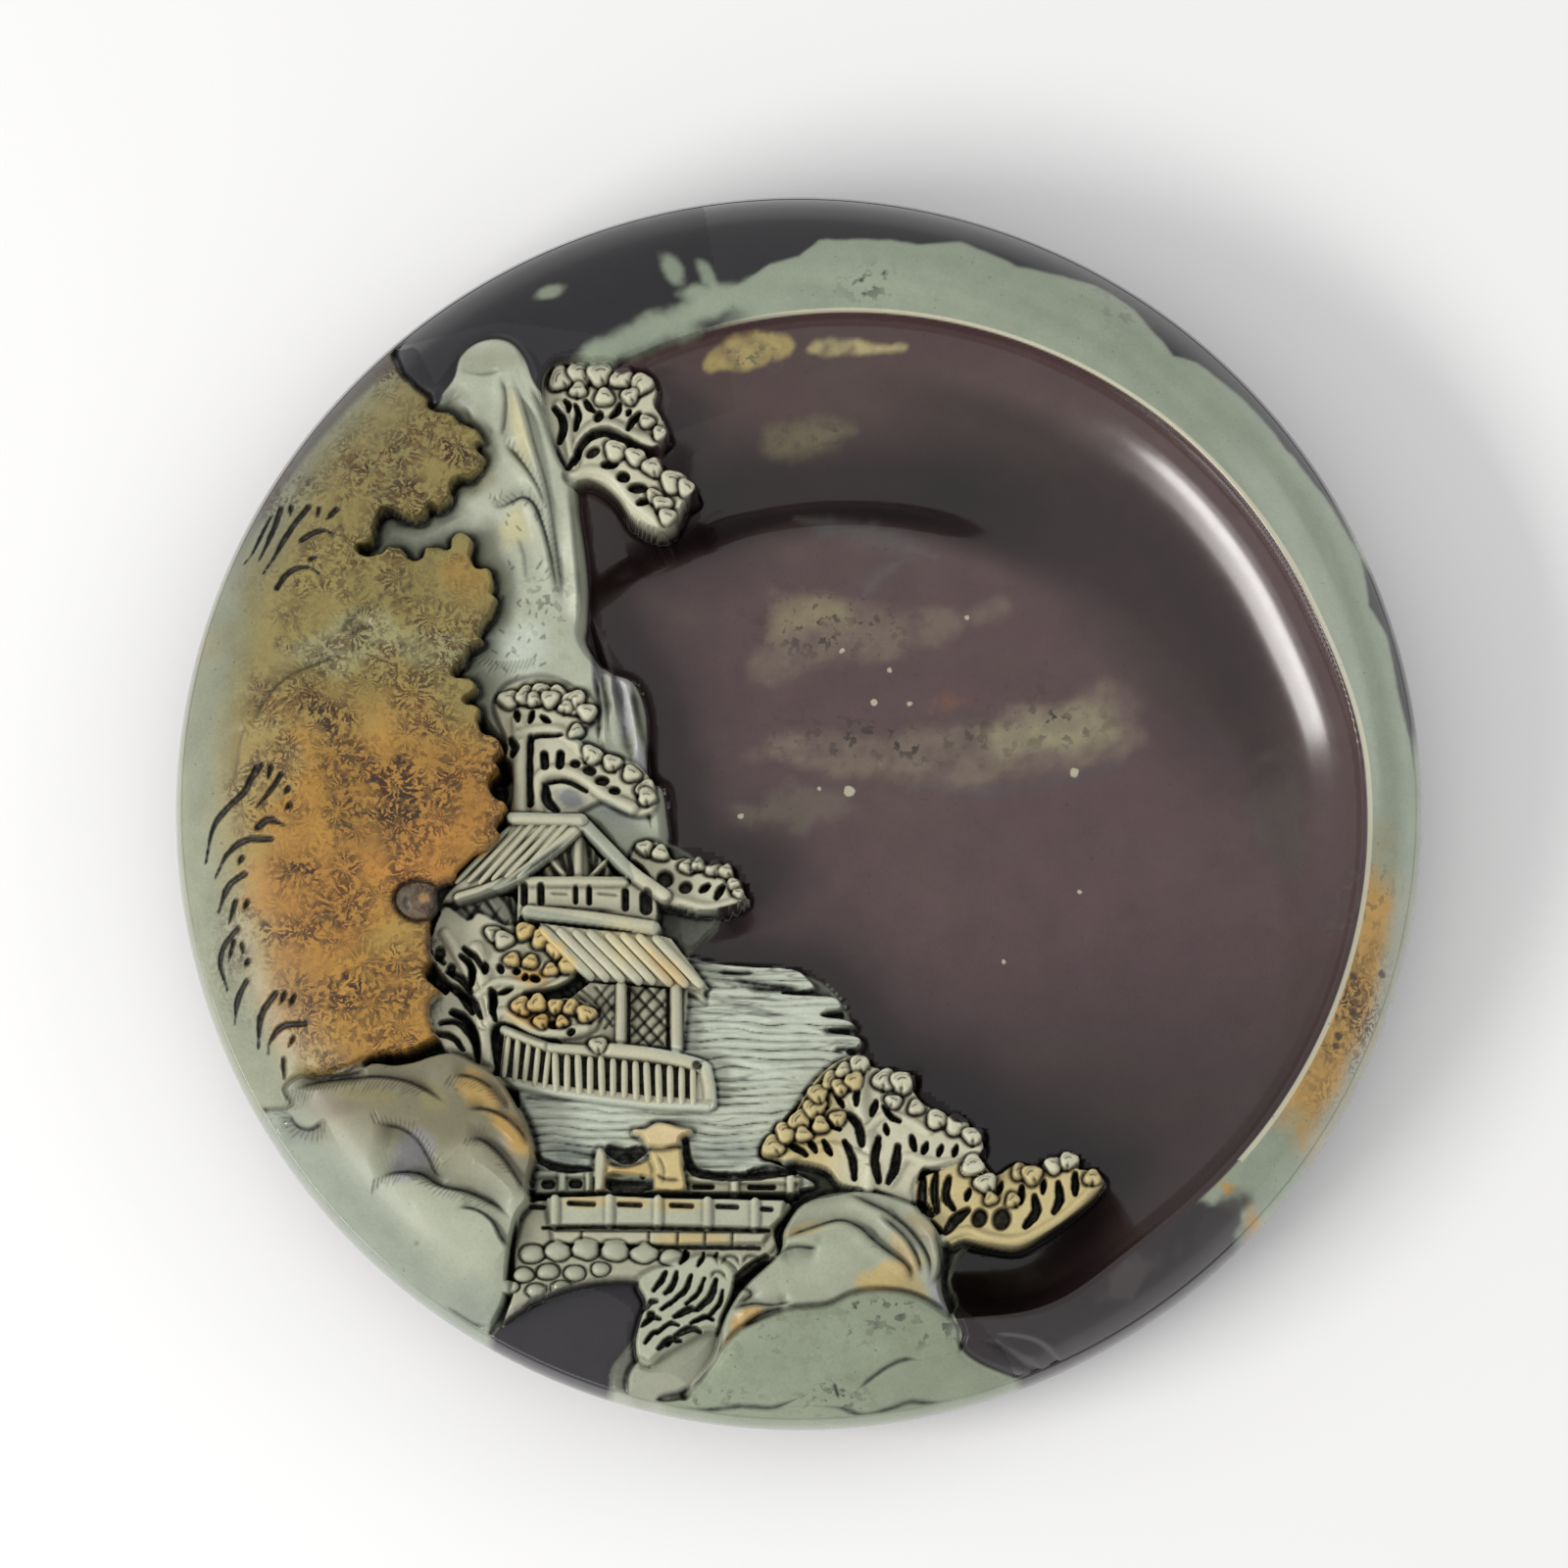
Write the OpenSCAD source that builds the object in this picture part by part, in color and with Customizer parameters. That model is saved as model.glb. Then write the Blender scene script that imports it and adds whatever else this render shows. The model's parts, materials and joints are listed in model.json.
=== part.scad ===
// A round ink stone of laminated purple and green stone, carved from one slab.
// The well takes the right of the stone and a landscape in relief the left.
// Origin: centre of the underside. +Z is up, and +Y is the top of the carved scene.

/* [Stone] */
// Diameter of the stone at its widest line
stone_d = 250; // [246:1:260]
// Height of the stone
stone_h = 36; // [33:1:42]
// Height of the widest line above the table
waist_z = 15; // [12:1:17]
// How far the upper edge rounds in from the widest line
shoulder_w = 30; // [24:1:34]
// How far the lower edge rounds in from the widest line
heel_w = 17; // [10:1:22]
// Width of the ring that the stone stands on
foot_w = 20; // [12:1:30]
// Depth of the hollow in the underside
recess_depth = 1.6; // [0.8:0.2:3]

/* [Well] */
// Depth of the carved ground and of the grinding floor below the top
relief_h = 14; // [12:0.5:15]
// Width of the rim at its narrowest, on the right
rim_w = 13; // [11:0.5:16]
// Centre of the well, to the right of the stone's centre
well_x = 10; // [8:1:12]
// Centre of the well, above the stone's centre
well_y = -4; // [-6:1:-3]
// Height of the lip above the grinding floor
lip_rise = 12; // [9:1:13]
// Width of the steep band just under the lip
lip_band = 2; // [1:0.5:3]
// Height of the steep band just under the lip
lip_drop = 4; // [2:0.5:5]
// Width of the sloping bank under the lip
bank_w = 38; // [34:1:42]
// Depth of the ink pool below the grinding floor
pool_depth = 9; // [6:1:10]
// How much smaller the grinding floor's circle is than the lip's
floor_step = 13; // [10:1:16]
// How far the grinding floor's circle sits below the lip's, which leaves the crescent pool
pool_shift = 25; // [20:1:28]
// Thickness of the grinding floor's own stone
floor_t = 7; // [5:1:9]

/* [Relief heights above the carved ground] */
// Rippled water
water_h = 4; // [3:0.5:4.5]
// Sunk ground behind the pine boughs
plate_h = 4.5; // [3:0.5:6]
// Pine boughs
bough_rise = 10; // [8:0.5:11]
// Needle pads
pad_rise = 11.5; // [9:0.5:12.5]
// Bevel round each needle pad
pad_bevel = 1.2; // [0.6:0.2:1.8]
// Ridge of the upper roof
roof_rise = 13; // [11:0.5:13.5]
// Fall of the upper roof from its ridge to its eaves
roof_fall = 4; // [2:0.5:6]
// Walls of the upper storey
wall_rise = 8; // [6:0.5:9]
// Top of the lower roof
lower_roof_rise = 10; // [8:0.5:11]
// Fall of the lower roof from its top to its eaves
lower_roof_fall = 3; // [1:0.5:4]
// Walls of the lower storey
hall_rise = 5; // [4.5:0.5:6.5]
// Rails and posts of the house and of the far side of the bridge
rail_rise = 8; // [6:0.5:9]
// Tallest traveller
figure_rise = 9.5; // [8:0.5:11]
// Roadway and face of the bridge
deck_rise = 5; // [4:0.5:6]
// Near parapet, above the roadway
parapet_h = 3.6; // [2:0.2:5]
// Lowest stone in the folds of the cliff
fold_rise = 6; // [5:0.5:8]
// Foot of the boulders and of the shore
foot_rise = 3; // [2:0.5:4]
// Boulders on the right
rock_rise = 12; // [10:0.5:13]
// Foreground slope
shore_rise = 11; // [9:0.5:12]
// Carved ribs and ripples, above their own ground
trim_h = 1; // [0.6:0.1:1.4]

/* [Patterns] */
// Number of balusters in the long rail
baluster_count = 15; // [10:1:18]
// Number of ribs on the lower roof
rib_count = 8; // [5:1:10]
// Spacing of the ripples on the water
ripple_step = 3.2; // [2.6:0.2:5]
// How far each scallop of the ochre bank stands out, as a share of its length
scallop_depth = 0.22; // [0.1:0.02:0.26]

/* [Hidden] */
$fn = 96;
stone_r = stone_d / 2;
ground_z = stone_h - relief_h;
well_r = stone_r - rim_w - well_x;
floor_r = well_r - floor_step;
floor_y = well_y - pool_shift;
pool_z = ground_z - pool_depth;
water_z = ground_z + water_h;
deck_z = ground_z + deck_rise;
rail_z = ground_z + rail_rise;
above = 5;
far = 2 * stone_r;
outline_steps = 3;
// The scene's outlines are drawn for a stone 250 across, and spread with the stone
spread = stone_d / 250;

purple = [0.33, 0.28, 0.29];
green = [0.60, 0.64, 0.57];
ochre = [0.68, 0.54, 0.30];
pale = [0.68, 0.69, 0.60];
dark = [0.24, 0.23, 0.25];

// Where each natural layer of the rim begins and ends, in degrees round the stone
shoulder_from = 99;
shoulder_to = 150;
green_from = -14;
ochre_from = -40;
lip_from = -72;

// Edge of the carved ground along the well, from the top down
relief_edge = [
    [-31, 89], [-26, 82], [-27, 74], [-26, 68], [-19, 64], [-20, 56], [-27, 53], [-37, 59],
    [-41, 50], [-40, 36], [-33, 26], [-29, 17], [-28, 4], [-24, -6], [-20, -11], [-12, -12],
    [-10, -19], [-16, -24], [-22, -26], [-22, -32], [-10, -33], [2, -34], [8, -40], [13, -48],
    [16, -53], [27, -59], [38, -67], [48, -73], [53, -70], [60, -76], [57, -82], [48, -90],
    [37, -91], [31, -95], [32, -102], [41, -111]
];
// Corners that take the carved ground out past the stone's edge
relief_corners = [[47, -124], [40, -140], [-140, -140], [-140, 92], [-76, 93], [-60, 96], [-42, 93]];

// Outlines of the large masses
bank_edge = [
    [-66, 75], [-62, 68], [-65, 61], [-72, 57], [-83, 53], [-83, 48.5], [-69, 48.5], [-62, 41], [-65, 28],
    [-61, 18], [-58, 6], [-60, -6], [-67, -16], [-73, -24], [-71, -36], [-71, -47], [-76, -53]
];
bank_corners = [[-88, -55], [-103, -63], [-140, -66], [-140, 92], [-77, 92], [-73, 83]];
cliff_outline = [
    [-72, 84], [-62, 94], [-53, 89], [-49, 79], [-45, 69], [-42, 60], [-41, 50], [-40, 36],
    [-34, 26], [-29, 17], [-28, 4], [-25, -5], [-24, -16], [-40, -14], [-60, -14], [-70, 10],
    [-72, 40], [-88, 50], [-80, 66]
];
water_outline = [
    [-72, -22], [-62, -12], [-57, -4], [-43, -3], [-33, -11], [-24, -20], [-22, -31], [-10, -33],
    [2, -34], [8, -40], [13, -48], [16, -56], [14, -68], [12, -79], [-30, -79.5], [-54, -79],
    [-55, -70], [-58, -61], [-64, -57], [-70, -53], [-71, -42], [-70, -32]
];
bridge_outline = [[-57, -79.5], [2, -79.5], [-1, -86], [-6, -92], [-10, -98], [-33, -101], [-60, -104]];
arch_x = -46;
arch_y = -117;
arch_r = 20;
right_rock_outline = [
    [-8, -88], [0, -80], [13, -78], [24, -81], [30, -87], [31, -95], [30, -102], [17, -101],
    [2, -102], [-12, -106], [-17, -100]
];
shore_outline = [
    [-34, -104], [-17, -101], [2, -98], [17, -97], [30, -99], [33, -103], [40, -110], [46, -121],
    [40, -139], [-40, -139], [-34, -120]
];
left_rock_outline = [
    [-103, -67], [-96, -57], [-82, -54], [-70, -54], [-60, -60], [-56, -69], [-55, -79], [-57, -88],
    [-59, -97], [-64, -106], [-72, -118], [-140, -118], [-140, -66]
];

// Sunk ground behind each tree
upper_pine_plate = [
    [-51, 87], [-42, 90], [-32, 88], [-27, 80], [-28, 73], [-20, 65], [-21, 57], [-28, 54],
    [-37, 60], [-44, 64], [-48, 75]
];
mid_pine_plate = [
    [-62, 18], [-54, 22], [-43, 19], [-36, 10], [-29, 4], [-28, -3], [-35, -5], [-42, 0],
    [-50, 3], [-52, -4], [-59, -4], [-59, 8]
];
side_pine_plate = [[-32, -10], [-22, -9], [-12, -13], [-11, -20], [-18, -23], [-25, -20], [-30, -16]];
right_pine_plate = [
    [-7, -69], [0, -58], [9, -52], [18, -54], [26, -59], [37, -67], [36, -73], [28, -74],
    [25, -79], [14, -77], [2, -78], [-2, -74]
];
low_pine_plate = [
    [30, -78], [37, -76], [46, -73], [53, -70], [60, -76], [57, -82], [48, -90], [37, -91],
    [32, -88], [29, -82]
];
tree_plate = [
    [-70, -24], [-62, -23], [-53, -27], [-44, -33], [-46, -39], [-42, -44], [-44, -50], [-54, -50],
    [-60, -48], [-62, -56], [-68, -55], [-70, -47], [-68, -38]
];
shrub_plate = [[-32, -96], [-22, -95], [-14, -97], [-15, -104], [-20, -111], [-30, -113], [-33, -104]];

function span(a, b, t) = a + (b - a) * t;
function spline_point(p0, p1, p2, p3, t) =
    0.5 * (2 * p1 + (p2 - p0) * t + (2 * p0 - 5 * p1 + 4 * p2 - p3) * t * t
        + (3 * p1 - p0 - 3 * p2 + p3) * t * t * t);
// A smooth closed outline through a few points
function smooth(p, steps = outline_steps) = let (n = len(p)) [
    for (i = [0:n - 1]) for (s = [0:steps - 1])
        spline_point(p[(i + n - 1) % n], p[i], p[(i + 1) % n], p[(i + 2) % n], s / steps)
];
// Points spaced evenly along an arc from a to b that bulges to the left of its way
function row(a, b, bulge, count) = let (way = (b - a) / norm(b - a), side = [-way[1], way[0]]) [
    for (i = [0:count - 1]) let (t = count == 1 ? 0.5 : i / (count - 1))
        span(a, b, t) + side * bulge * 4 * t * (1 - t)
];
// The four corners of a tapered limb
function taper(a, b, wa, wb) = let (way = (b - a) / norm(b - a), side = [-way[1], way[0]])
    [a + side * wa / 2, b + side * wb / 2, b - side * wb / 2, a - side * wa / 2];
// The bank's inner edge is a row of leaf-like scallops, two to each stretch
function scallops(p, depth) = [
    for (i = [0:len(p) - 2]) for (s = [0, 1])
        let (a = span(p[i], p[i + 1], s / 2), way = (p[i + 1] - p[i]) / 2)
            for (k = [0:3]) a + way * k / 4 + [-way[1], way[0]] * depth * k * (4 - k) / 4
];

// Outlines in the scene's own units, spread to the stone's size
module shape(points) polygon(spread * points);

module round_shape(points) shape(smooth(points));

// Shape of the uncut stone, a low drum with a rounded edge
module blank() {
    heel = [for (t = [-90:6:0]) [stone_r - heel_w + heel_w * cos(t), waist_z + waist_z * sin(t)]];
    shoulder = [for (t = [6:6:90])
        [stone_r - shoulder_w + shoulder_w * cos(t), waist_z + (stone_h - waist_z) * sin(t)]];
    rotate_extrude() polygon(concat([[0, 0]], heel, shoulder, [[0, stone_h]]));
}

// A flat outline raised from one height to another
module standing(from = ground_z, to = stone_h + above) {
    translate([0, 0, from]) linear_extrude(to - from) children();
}

// The hollow of the well down to the bottom of the ink pool
module dish() {
    foot_r = well_r - lip_band - bank_w;
    bank = [for (s = [0:0.1:1])
        [foot_r + bank_w * s, span(pool_z, ground_z + lip_rise - lip_drop, pow(s, 1.5))]];
    translate([well_x, well_y, 0]) rotate_extrude()
        polygon(concat([[0, pool_z]], bank,
            [[well_r, ground_z + lip_rise], [well_r, stone_h + above], [0, stone_h + above]]));
}

module floor_disc(from, to) translate([well_x, floor_y, from]) cylinder(r = floor_r, h = to - from);

module sector(from, to) {
    polygon(concat([[0, 0]], [for (i = [0:8]) far * [cos(span(from, to, i / 8)), sin(span(from, to, i / 8))]]));
}

// One stretch of the raised rim round the well
module rim(from, to) {
    difference() {
        intersection() {
            blank();
            standing() sector(from, to);
        }
        dish();
        standing(ground_z - 1) relief_ground();
    }
}

// A ball whose cap rises to a height over a disc on the carved ground
module cap(x, y, r, rise) {
    reach = r * spread;
    ball = (reach * reach + rise * rise) / (2 * rise);
    translate([x * spread, y * spread, ground_z + rise - ball]) sphere(ball);
}

// A limb is a tapered bar with round ends
module limb(a, b, wa, wb) {
    foot = ground_z + plate_h;
    top = ground_z + bough_rise;
    standing(foot, top) shape(taper(a, b, wa, wb));
    for (end = [[a, wa], [b, wb]])
        translate([end[0][0] * spread, end[0][1] * spread, foot])
            cylinder(d = end[1] * spread, h = top - foot, $fn = 24);
}

// A needle pad is a round button with a bevelled top
module pad(p, r) {
    reach = r * spread;
    side_h = pad_rise - plate_h - pad_bevel;
    translate([p[0] * spread, p[1] * spread, ground_z + plate_h]) {
        cylinder(r = reach, h = side_h, $fn = 24);
        translate([0, 0, side_h]) cylinder(r1 = reach, r2 = reach * 0.55, h = pad_bevel, $fn = 24);
    }
}

// A tree in relief: its sunk ground, limbs [a, b, width, width] and rows of pads [a, b, bulge, count, radius]
module tree(plate, limbs, rows) {
    standing(ground_z, ground_z + plate_h) round_shape(plate);
    intersection() {
        standing() round_shape(plate);
        union() {
            for (l = limbs) limb(l[0], l[1], l[2], l[3]);
            for (r = rows) for (p = row(r[0], r[1], r[2], r[3])) pad(p, r[4]);
        }
    }
}

// A solid whose top passes through the given corners
module slab(corners, from) {
    n = len(corners);
    tops = [for (c = corners) [c[0] * spread, c[1] * spread, c[2]]];
    lows = [for (c = tops) [c[0], c[1], from]];
    middle = [for (k = [0:2]) [for (c = tops) c[k]] * [for (c = tops) 1 / n]];
    polyhedron(
        points = concat(tops, lows, [middle, [middle[0], middle[1], from]]),
        faces = concat(
            [for (i = [0:n - 1]) [(i + 1) % n, i, 2 * n]],
            [for (i = [0:n - 1]) [n + i, n + (i + 1) % n, 2 * n + 1]],
            [for (i = [0:n - 1]) [i, n + (i + 1) % n, n + i]],
            [for (i = [0:n - 1]) [i, (i + 1) % n, n + (i + 1) % n]]));
}

// A straight carved strip between two points
module strip(a, b, width, from, to) standing(from, to) shape(taper(a, b, width, width));

module plates() {
    round_shape(upper_pine_plate);
    round_shape(mid_pine_plate);
    round_shape(side_pine_plate);
    round_shape(right_pine_plate);
    round_shape(low_pine_plate);
    round_shape(shrub_plate);
}

module relief_ground() {
    shape(concat(relief_edge, relief_corners));
    plates();
}

module water_area() difference() {
    round_shape(water_outline);
    plates();
    shape(bridge_outline);
    shape(right_rock_outline);
}

module bank_area() difference() {
    shape(concat(scallops(bank_edge, scallop_depth), [bank_edge[len(bank_edge) - 1]], bank_corners));
    round_shape(water_outline);
    shape(left_rock_outline);
    plates();
}

module arch_hole() translate([arch_x, arch_y] * spread) circle(arch_r * spread);

module bridge_area() difference() {
    shape(bridge_outline);
    arch_hole();
    plates();
    shape(left_rock_outline);
    shape(right_rock_outline);
}

module tree_area() round_shape(tree_plate);

// The water that shows between what stands on it
module water_open() difference() {
    water_area();
    tree_area();
    shape(house_outline);
    shape(parapet_walk);
    shape(traveller_patch);
}
house_outline = [
    [-74, -20], [-58, -2], [-42, -2], [-21, -20], [-16, -39], [-18, -62], [-62, -62], [-64, -40]
];
parapet_walk = [[-56, -74], [-41, -74], [-41, -64], [-20, -64], [-20, -74], [16, -74], [16, -82], [-56, -82]];
traveller_patch = [[-42, -64], [-20, -64], [-20, -80], [-42, -80]];

module purple_body() color(purple) difference() {
    intersection() {
        blank();
        standing(0, ground_z) circle(far);
    }
    difference() {
        dish();
        floor_disc(0, stone_h);
        standing(0) relief_ground();
    }
    floor_seat();
    translate([0, 0, -above]) cylinder(r = stone_r - heel_w - foot_w, h = recess_depth + above);
}

// Space of the grinding floor: the part of its disc inside the well and clear of the relief
module floor_seat() difference() {
    intersection() {
        floor_disc(ground_z - floor_t, ground_z);
        translate([well_x, well_y, 0]) cylinder(r = well_r - lip_band - 14, h = stone_h);
    }
    standing(0) relief_ground();
}

module grinding_floor() color(purple) floor_seat();

module purple_shoulder() color(purple) rim(shoulder_from, shoulder_to);

module green_rim() color(green) rim(green_from, shoulder_from);

module ochre_rim() color(ochre) rim(ochre_from, green_from);

module lower_lip() color(purple) rim(lip_from, ochre_from);

module ochre_bank() color(ochre) intersection() {
    blank();
    standing() bank_area();
}

// Rolled ridges along the cliff, each a round bar [from, to, radius, depth of its back below the top]
cliff_ridges = [
    [[-66, 92], [-52, 30], 15, 0],
    [[-54, 84], [-40, 30], 9, 2],
    [[-56, 40], [-48, -16], 13, 1],
    [[-42, 40], [-30, -16], 8, 4]
];
module cliff() color(pale) intersection() {
    blank();
    standing() difference() {
        round_shape(cliff_outline);
        bank_area();
        round_shape(water_outline);
        plates();
    }
    union() {
        for (r = cliff_ridges) {
            way = (r[1] - r[0]) * spread;
            bar = r[2] * spread;
            translate([r[0][0] * spread, r[0][1] * spread, stone_h - r[3] - bar])
                rotate([90, 0, atan2(way[1], way[0]) + 90])
                    translate([0, 0, -norm(way)]) cylinder(r = bar, h = norm(way));
        }
        standing(0, ground_z + fold_rise) circle(far);
    }
}

module upper_pine() color(pale) tree(upper_pine_plate,
    [[[-45, 66], [-46, 78], 3, 2], [[-46, 74], [-31, 76], 2.4, 1.6], [[-45, 65], [-25, 57], 4, 2]],
    [[[-48, 83], [-32, 84], 1.5, 5, 2.5], [[-41, 79], [-31, 76], 1, 3, 2.4], [[-36, 70], [-23, 62], 1, 4, 2.5]]);

module middle_pine() color(pale) tree(mid_pine_plate,
    [[[-57, -2], [-58, 15], 3, 2], [[-54, 2], [-46, 8], 2.4, 2], [[-46, 8], [-33, 0], 2.4, 1.6]],
    [[[-60, 17], [-44, 16], 2, 5, 2.3], [[-43, 12], [-31, 1], 2, 4, 2.3]]);

module side_pine() color(pale) tree(side_pine_plate,
    [[[-29, -15], [-14, -19], 2.4, 1.6]],
    [[[-29, -12], [-14, -15], 1, 5, 1.9]]);

module right_pine() color(pale) tree(right_pine_plate,
    [[[11, -76], [10, -62], 3, 2], [[16, -76], [19, -62], 3, 2], [[11, -70], [-3, -69], 2.4, 1.8],
        [[17, -70], [33, -70], 2.4, 1.8]],
    [[[-4, -67], [9, -55], 2, 6, 2.3], [[14, -56], [34, -69], 2, 6, 2.3], [[1, -66], [8, -63], 1, 2, 2.2]]);

module low_pine() color(ochre) tree(low_pine_plate,
    [[[31, -84], [57, -77], 4, 2], [[33, -88], [50, -86], 3, 3]],
    [[[35, -78], [57, -75], 1, 6, 2.2]]);

// This tree stands on the water
module blossom_tree() color(ochre) intersection() {
    tree(tree_plate,
        [[[-64, -54], [-66, -28], 3.6, 2.4], [[-64, -44], [-49, -47], 2.2, 1.8],
            [[-65, -36], [-48, -37], 2.2, 1.8], [[-66, -30], [-57, -27], 2, 1.6]],
        [[[-58, -32], [-46, -35], 1, 4, 2.3], [[-54, -43], [-44, -46], 1, 3, 2.2],
            [[-62, -26], [-56, -29], 0.5, 2, 2]]);
    standing(water_z) tree_area();
}

module water() color(green) {
    standing(ground_z, water_z) water_area();
    intersection() {
        standing(water_z, water_z + trim_h) water_open();
        union() for (i = [0:floor(46 / ripple_step)])
            let (y = -35 - i * ripple_step)
                strip([-60, y + 0.6], [20, y - 0.6], ripple_step * 0.45, water_z, water_z + trim_h);
    }
}

// Plan corners of the upper roof
ridge_left = [-57, -5];
ridge_right = [-44, -5];
gable_foot = [-57, -18];
eave_left = [-70, -21];
function at(p, z) = [p[0], p[1], z];

module upper_roof() color(pale) intersection() {
    ridge_z = ground_z + roof_rise;
    eave_z = ridge_z - roof_fall;
    rib_w = 0.5;
    standing(water_z) difference() {
        round_shape(water_outline);
        tree_area();
        plates();
    }
    union() {
        slab([at(ridge_left, ridge_z), at(eave_left, eave_z), at(gable_foot, eave_z), at(ridge_right, ridge_z)],
            water_z);
        for (i = [0:5]) {
            a = span(ridge_left, ridge_right, i / 5);
            b = span(eave_left, gable_foot, i / 5);
            slab([at(a - [rib_w, 0], ridge_z + trim_h), at(b - [rib_w, 0], eave_z + trim_h),
                at(b + [rib_w, 0], eave_z + trim_h), at(a + [rib_w, 0], ridge_z + trim_h)], water_z);
        }
        strip([-44.6, -5.4], [-25.5, -20.5], 2.2, water_z, ridge_z - trim_h);
    }
}

module upper_storey() color(pale) {
    wall_z = ground_z + wall_rise;
    standing(water_z, wall_z) shape([[-56.4, -18.6], [-45, -7.6], [-29, -20.6], [-29, -26.6], [-53, -23.8]]);
    for (x = [-53, -47, -41, -35, -30.5])
        strip([x, -18.5], [x, -23.2 - (x + 53) * 0.13], 1.4, water_z, wall_z + trim_h);
    for (x = [-50, -44.5, -39])
        strip([x, -17], [-44.5, -10], 1, water_z, wall_z + trim_h);
    strip([-54, -18], [-30, -19.6], 1.4, water_z, wall_z + trim_h);
}

module lower_roof() color(pale) difference() {
    ridge_z = ground_z + lower_roof_rise;
    eave_z = ridge_z - lower_roof_fall;
    union() {
        slab([[-53.5, -26, ridge_z], [-47, -37, eave_z], [-18, -39, eave_z], [-27, -29, ridge_z]], water_z);
        for (i = [0:rib_count])
            strip(span([-53, -26], [-28, -29], i / rib_count), span([-46, -37.4], [-19, -39.4], i / rib_count),
                1.1, water_z, ridge_z);
        strip([-54, -25.4], [-27, -28.4], 1.6, water_z, ridge_z + trim_h);
    }
    standing(0) tree_area();
}

module lower_storey() color(pale) difference() {
    wall_z = ground_z + hall_rise;
    union() {
        standing(water_z, wall_z) shape([[-46, -38], [-24, -40], [-24, -51], [-46, -50]]);
        for (x = [-43, -36, -25]) strip([x, -40.2], [x, -50], 1.6, water_z, wall_z + 2 * trim_h);
        for (x = [-35:2.4:-27]) {
            strip([x, -40.2], [x + 2, -50], 0.7, water_z, wall_z + trim_h);
            strip([x + 2, -40.2], [x, -50], 0.7, water_z, wall_z + trim_h);
        }
    }
    standing(0) tree_area();
}

module balustrade() color(pale) {
    rail_left = [-58, -52];
    rail_right = [-20, -54];
    foot_drop = [0.6, -6.5];
    difference() {
        union() {
            strip(rail_left, rail_right, 1.6, water_z, rail_z);
            strip(rail_left + foot_drop, rail_right + foot_drop, 1.2, water_z, rail_z - trim_h);
            strip(rail_right, rail_right + foot_drop, 1.6, water_z, rail_z);
            for (p = row(rail_left, rail_right, 0, baluster_count))
                strip(p, p + foot_drop, 1, water_z, rail_z - trim_h);
        }
        standing(0) tree_area();
    }
}

module travellers() color(ochre) {
    top = ground_z + figure_rise;
    // Beast of burden
    standing(water_z, top - 2 * trim_h)
        round_shape([[-38, -72], [-30, -71.5], [-29, -74.5], [-31, -78.5], [-33, -76], [-37, -76], [-38, -78.5],
            [-40, -74]]);
    // Rider in a cloak and a broad hat
    standing(water_z, top - trim_h) round_shape([[-28, -70.5], [-23, -70.5], [-22.4, -78.5], [-28.4, -78.5]]);
    translate([-25.5 * spread, -68.8 * spread, water_z]) cylinder(r = 1.8 * spread, h = top - water_z, $fn = 24);
    standing(water_z, top) shape([[-29, -68.6], [-25.5, -65.4], [-22, -68.6]]);
}

module bridge() color(pale) {
    standing(ground_z, deck_z) bridge_area();
    // Facing stones in two courses over the arch
    intersection() {
        standing(ground_z, deck_z + trim_h) bridge_area();
        union() for (course = [0, 1]) for (i = [0:10])
            translate([(-56 + i * 5 + course * 2.5) * spread, (-91.2 - course * 4.2) * spread, ground_z])
                cylinder(r = 2 * spread, h = deck_rise + trim_h, $fn = 24);
    }
}

// The near parapet, in panels between posts, and the far rail behind it
module bridge_parapet() color(ochre) {
    top = deck_z + parapet_h;
    intersection() {
        standing(deck_z, top) bridge_area();
        union() {
            strip([-56, -80.6], [4, -80.6], 1.4, deck_z, top - trim_h / 2);
            strip([-56, -86], [4, -86], 1, deck_z, top - trim_h / 2);
            strip([-56, -88.2], [4, -88.2], 1.8, deck_z, top - trim_h);
            for (x = [-54:9.2:-8]) {
                strip([x, -80], [x, -86], 1.2, deck_z, top);
                strip([x + 2.4, -83.2], [x + 7, -83.2], 2, deck_z, top - trim_h);
            }
        }
    }
    for (ends = [[-54, -43], [-18, -3]]) {
        strip([ends[0], -74.8], [ends[1], -74.8], 0.9, water_z, rail_z - trim_h);
        strip([ends[0], -78.4], [ends[1], -78.4], 0.9, water_z, rail_z - trim_h);
        for (p = row([ends[0], -76.6], [ends[1], -76.6], 0, 4))
            strip(p + [0, 1.8], p - [0, 1.8], 1.2, water_z, rail_z);
    }
}

module bridge_shrub() color(green) intersection() {
    tree(shrub_plate,
        [[[-28, -110], [-24, -98], 1.6, 1], [[-26, -108], [-18, -100], 1.6, 1]],
        [[[-30, -98], [-18, -99], 0, 4, 1.9], [[-30, -103], [-18, -104], 0, 4, 1.9],
            [[-29, -108], [-21, -109], 0, 3, 1.9]]);
    blank();
}

module left_rock() color(green) intersection() {
    blank();
    standing() difference() {
        shape(left_rock_outline);
        round_shape(water_outline);
        arch_hole();
    }
    union() {
        cap(-78, -72, 34, relief_h - 1);
        cap(-66, -74, 18, relief_h - 1.5);
        cap(-88, -90, 40, relief_h - 4);
        standing(0, ground_z + foot_rise) circle(far);
    }
}

module right_rock() color(pale) intersection() {
    blank();
    standing() difference() {
        shape(right_rock_outline);
        round_shape(water_outline);
        plates();
    }
    union() {
        cap(10, -90, 26, rock_rise);
        cap(22, -92, 14, rock_rise - 1);
        standing(0, ground_z + foot_rise) circle(far);
    }
}

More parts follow.
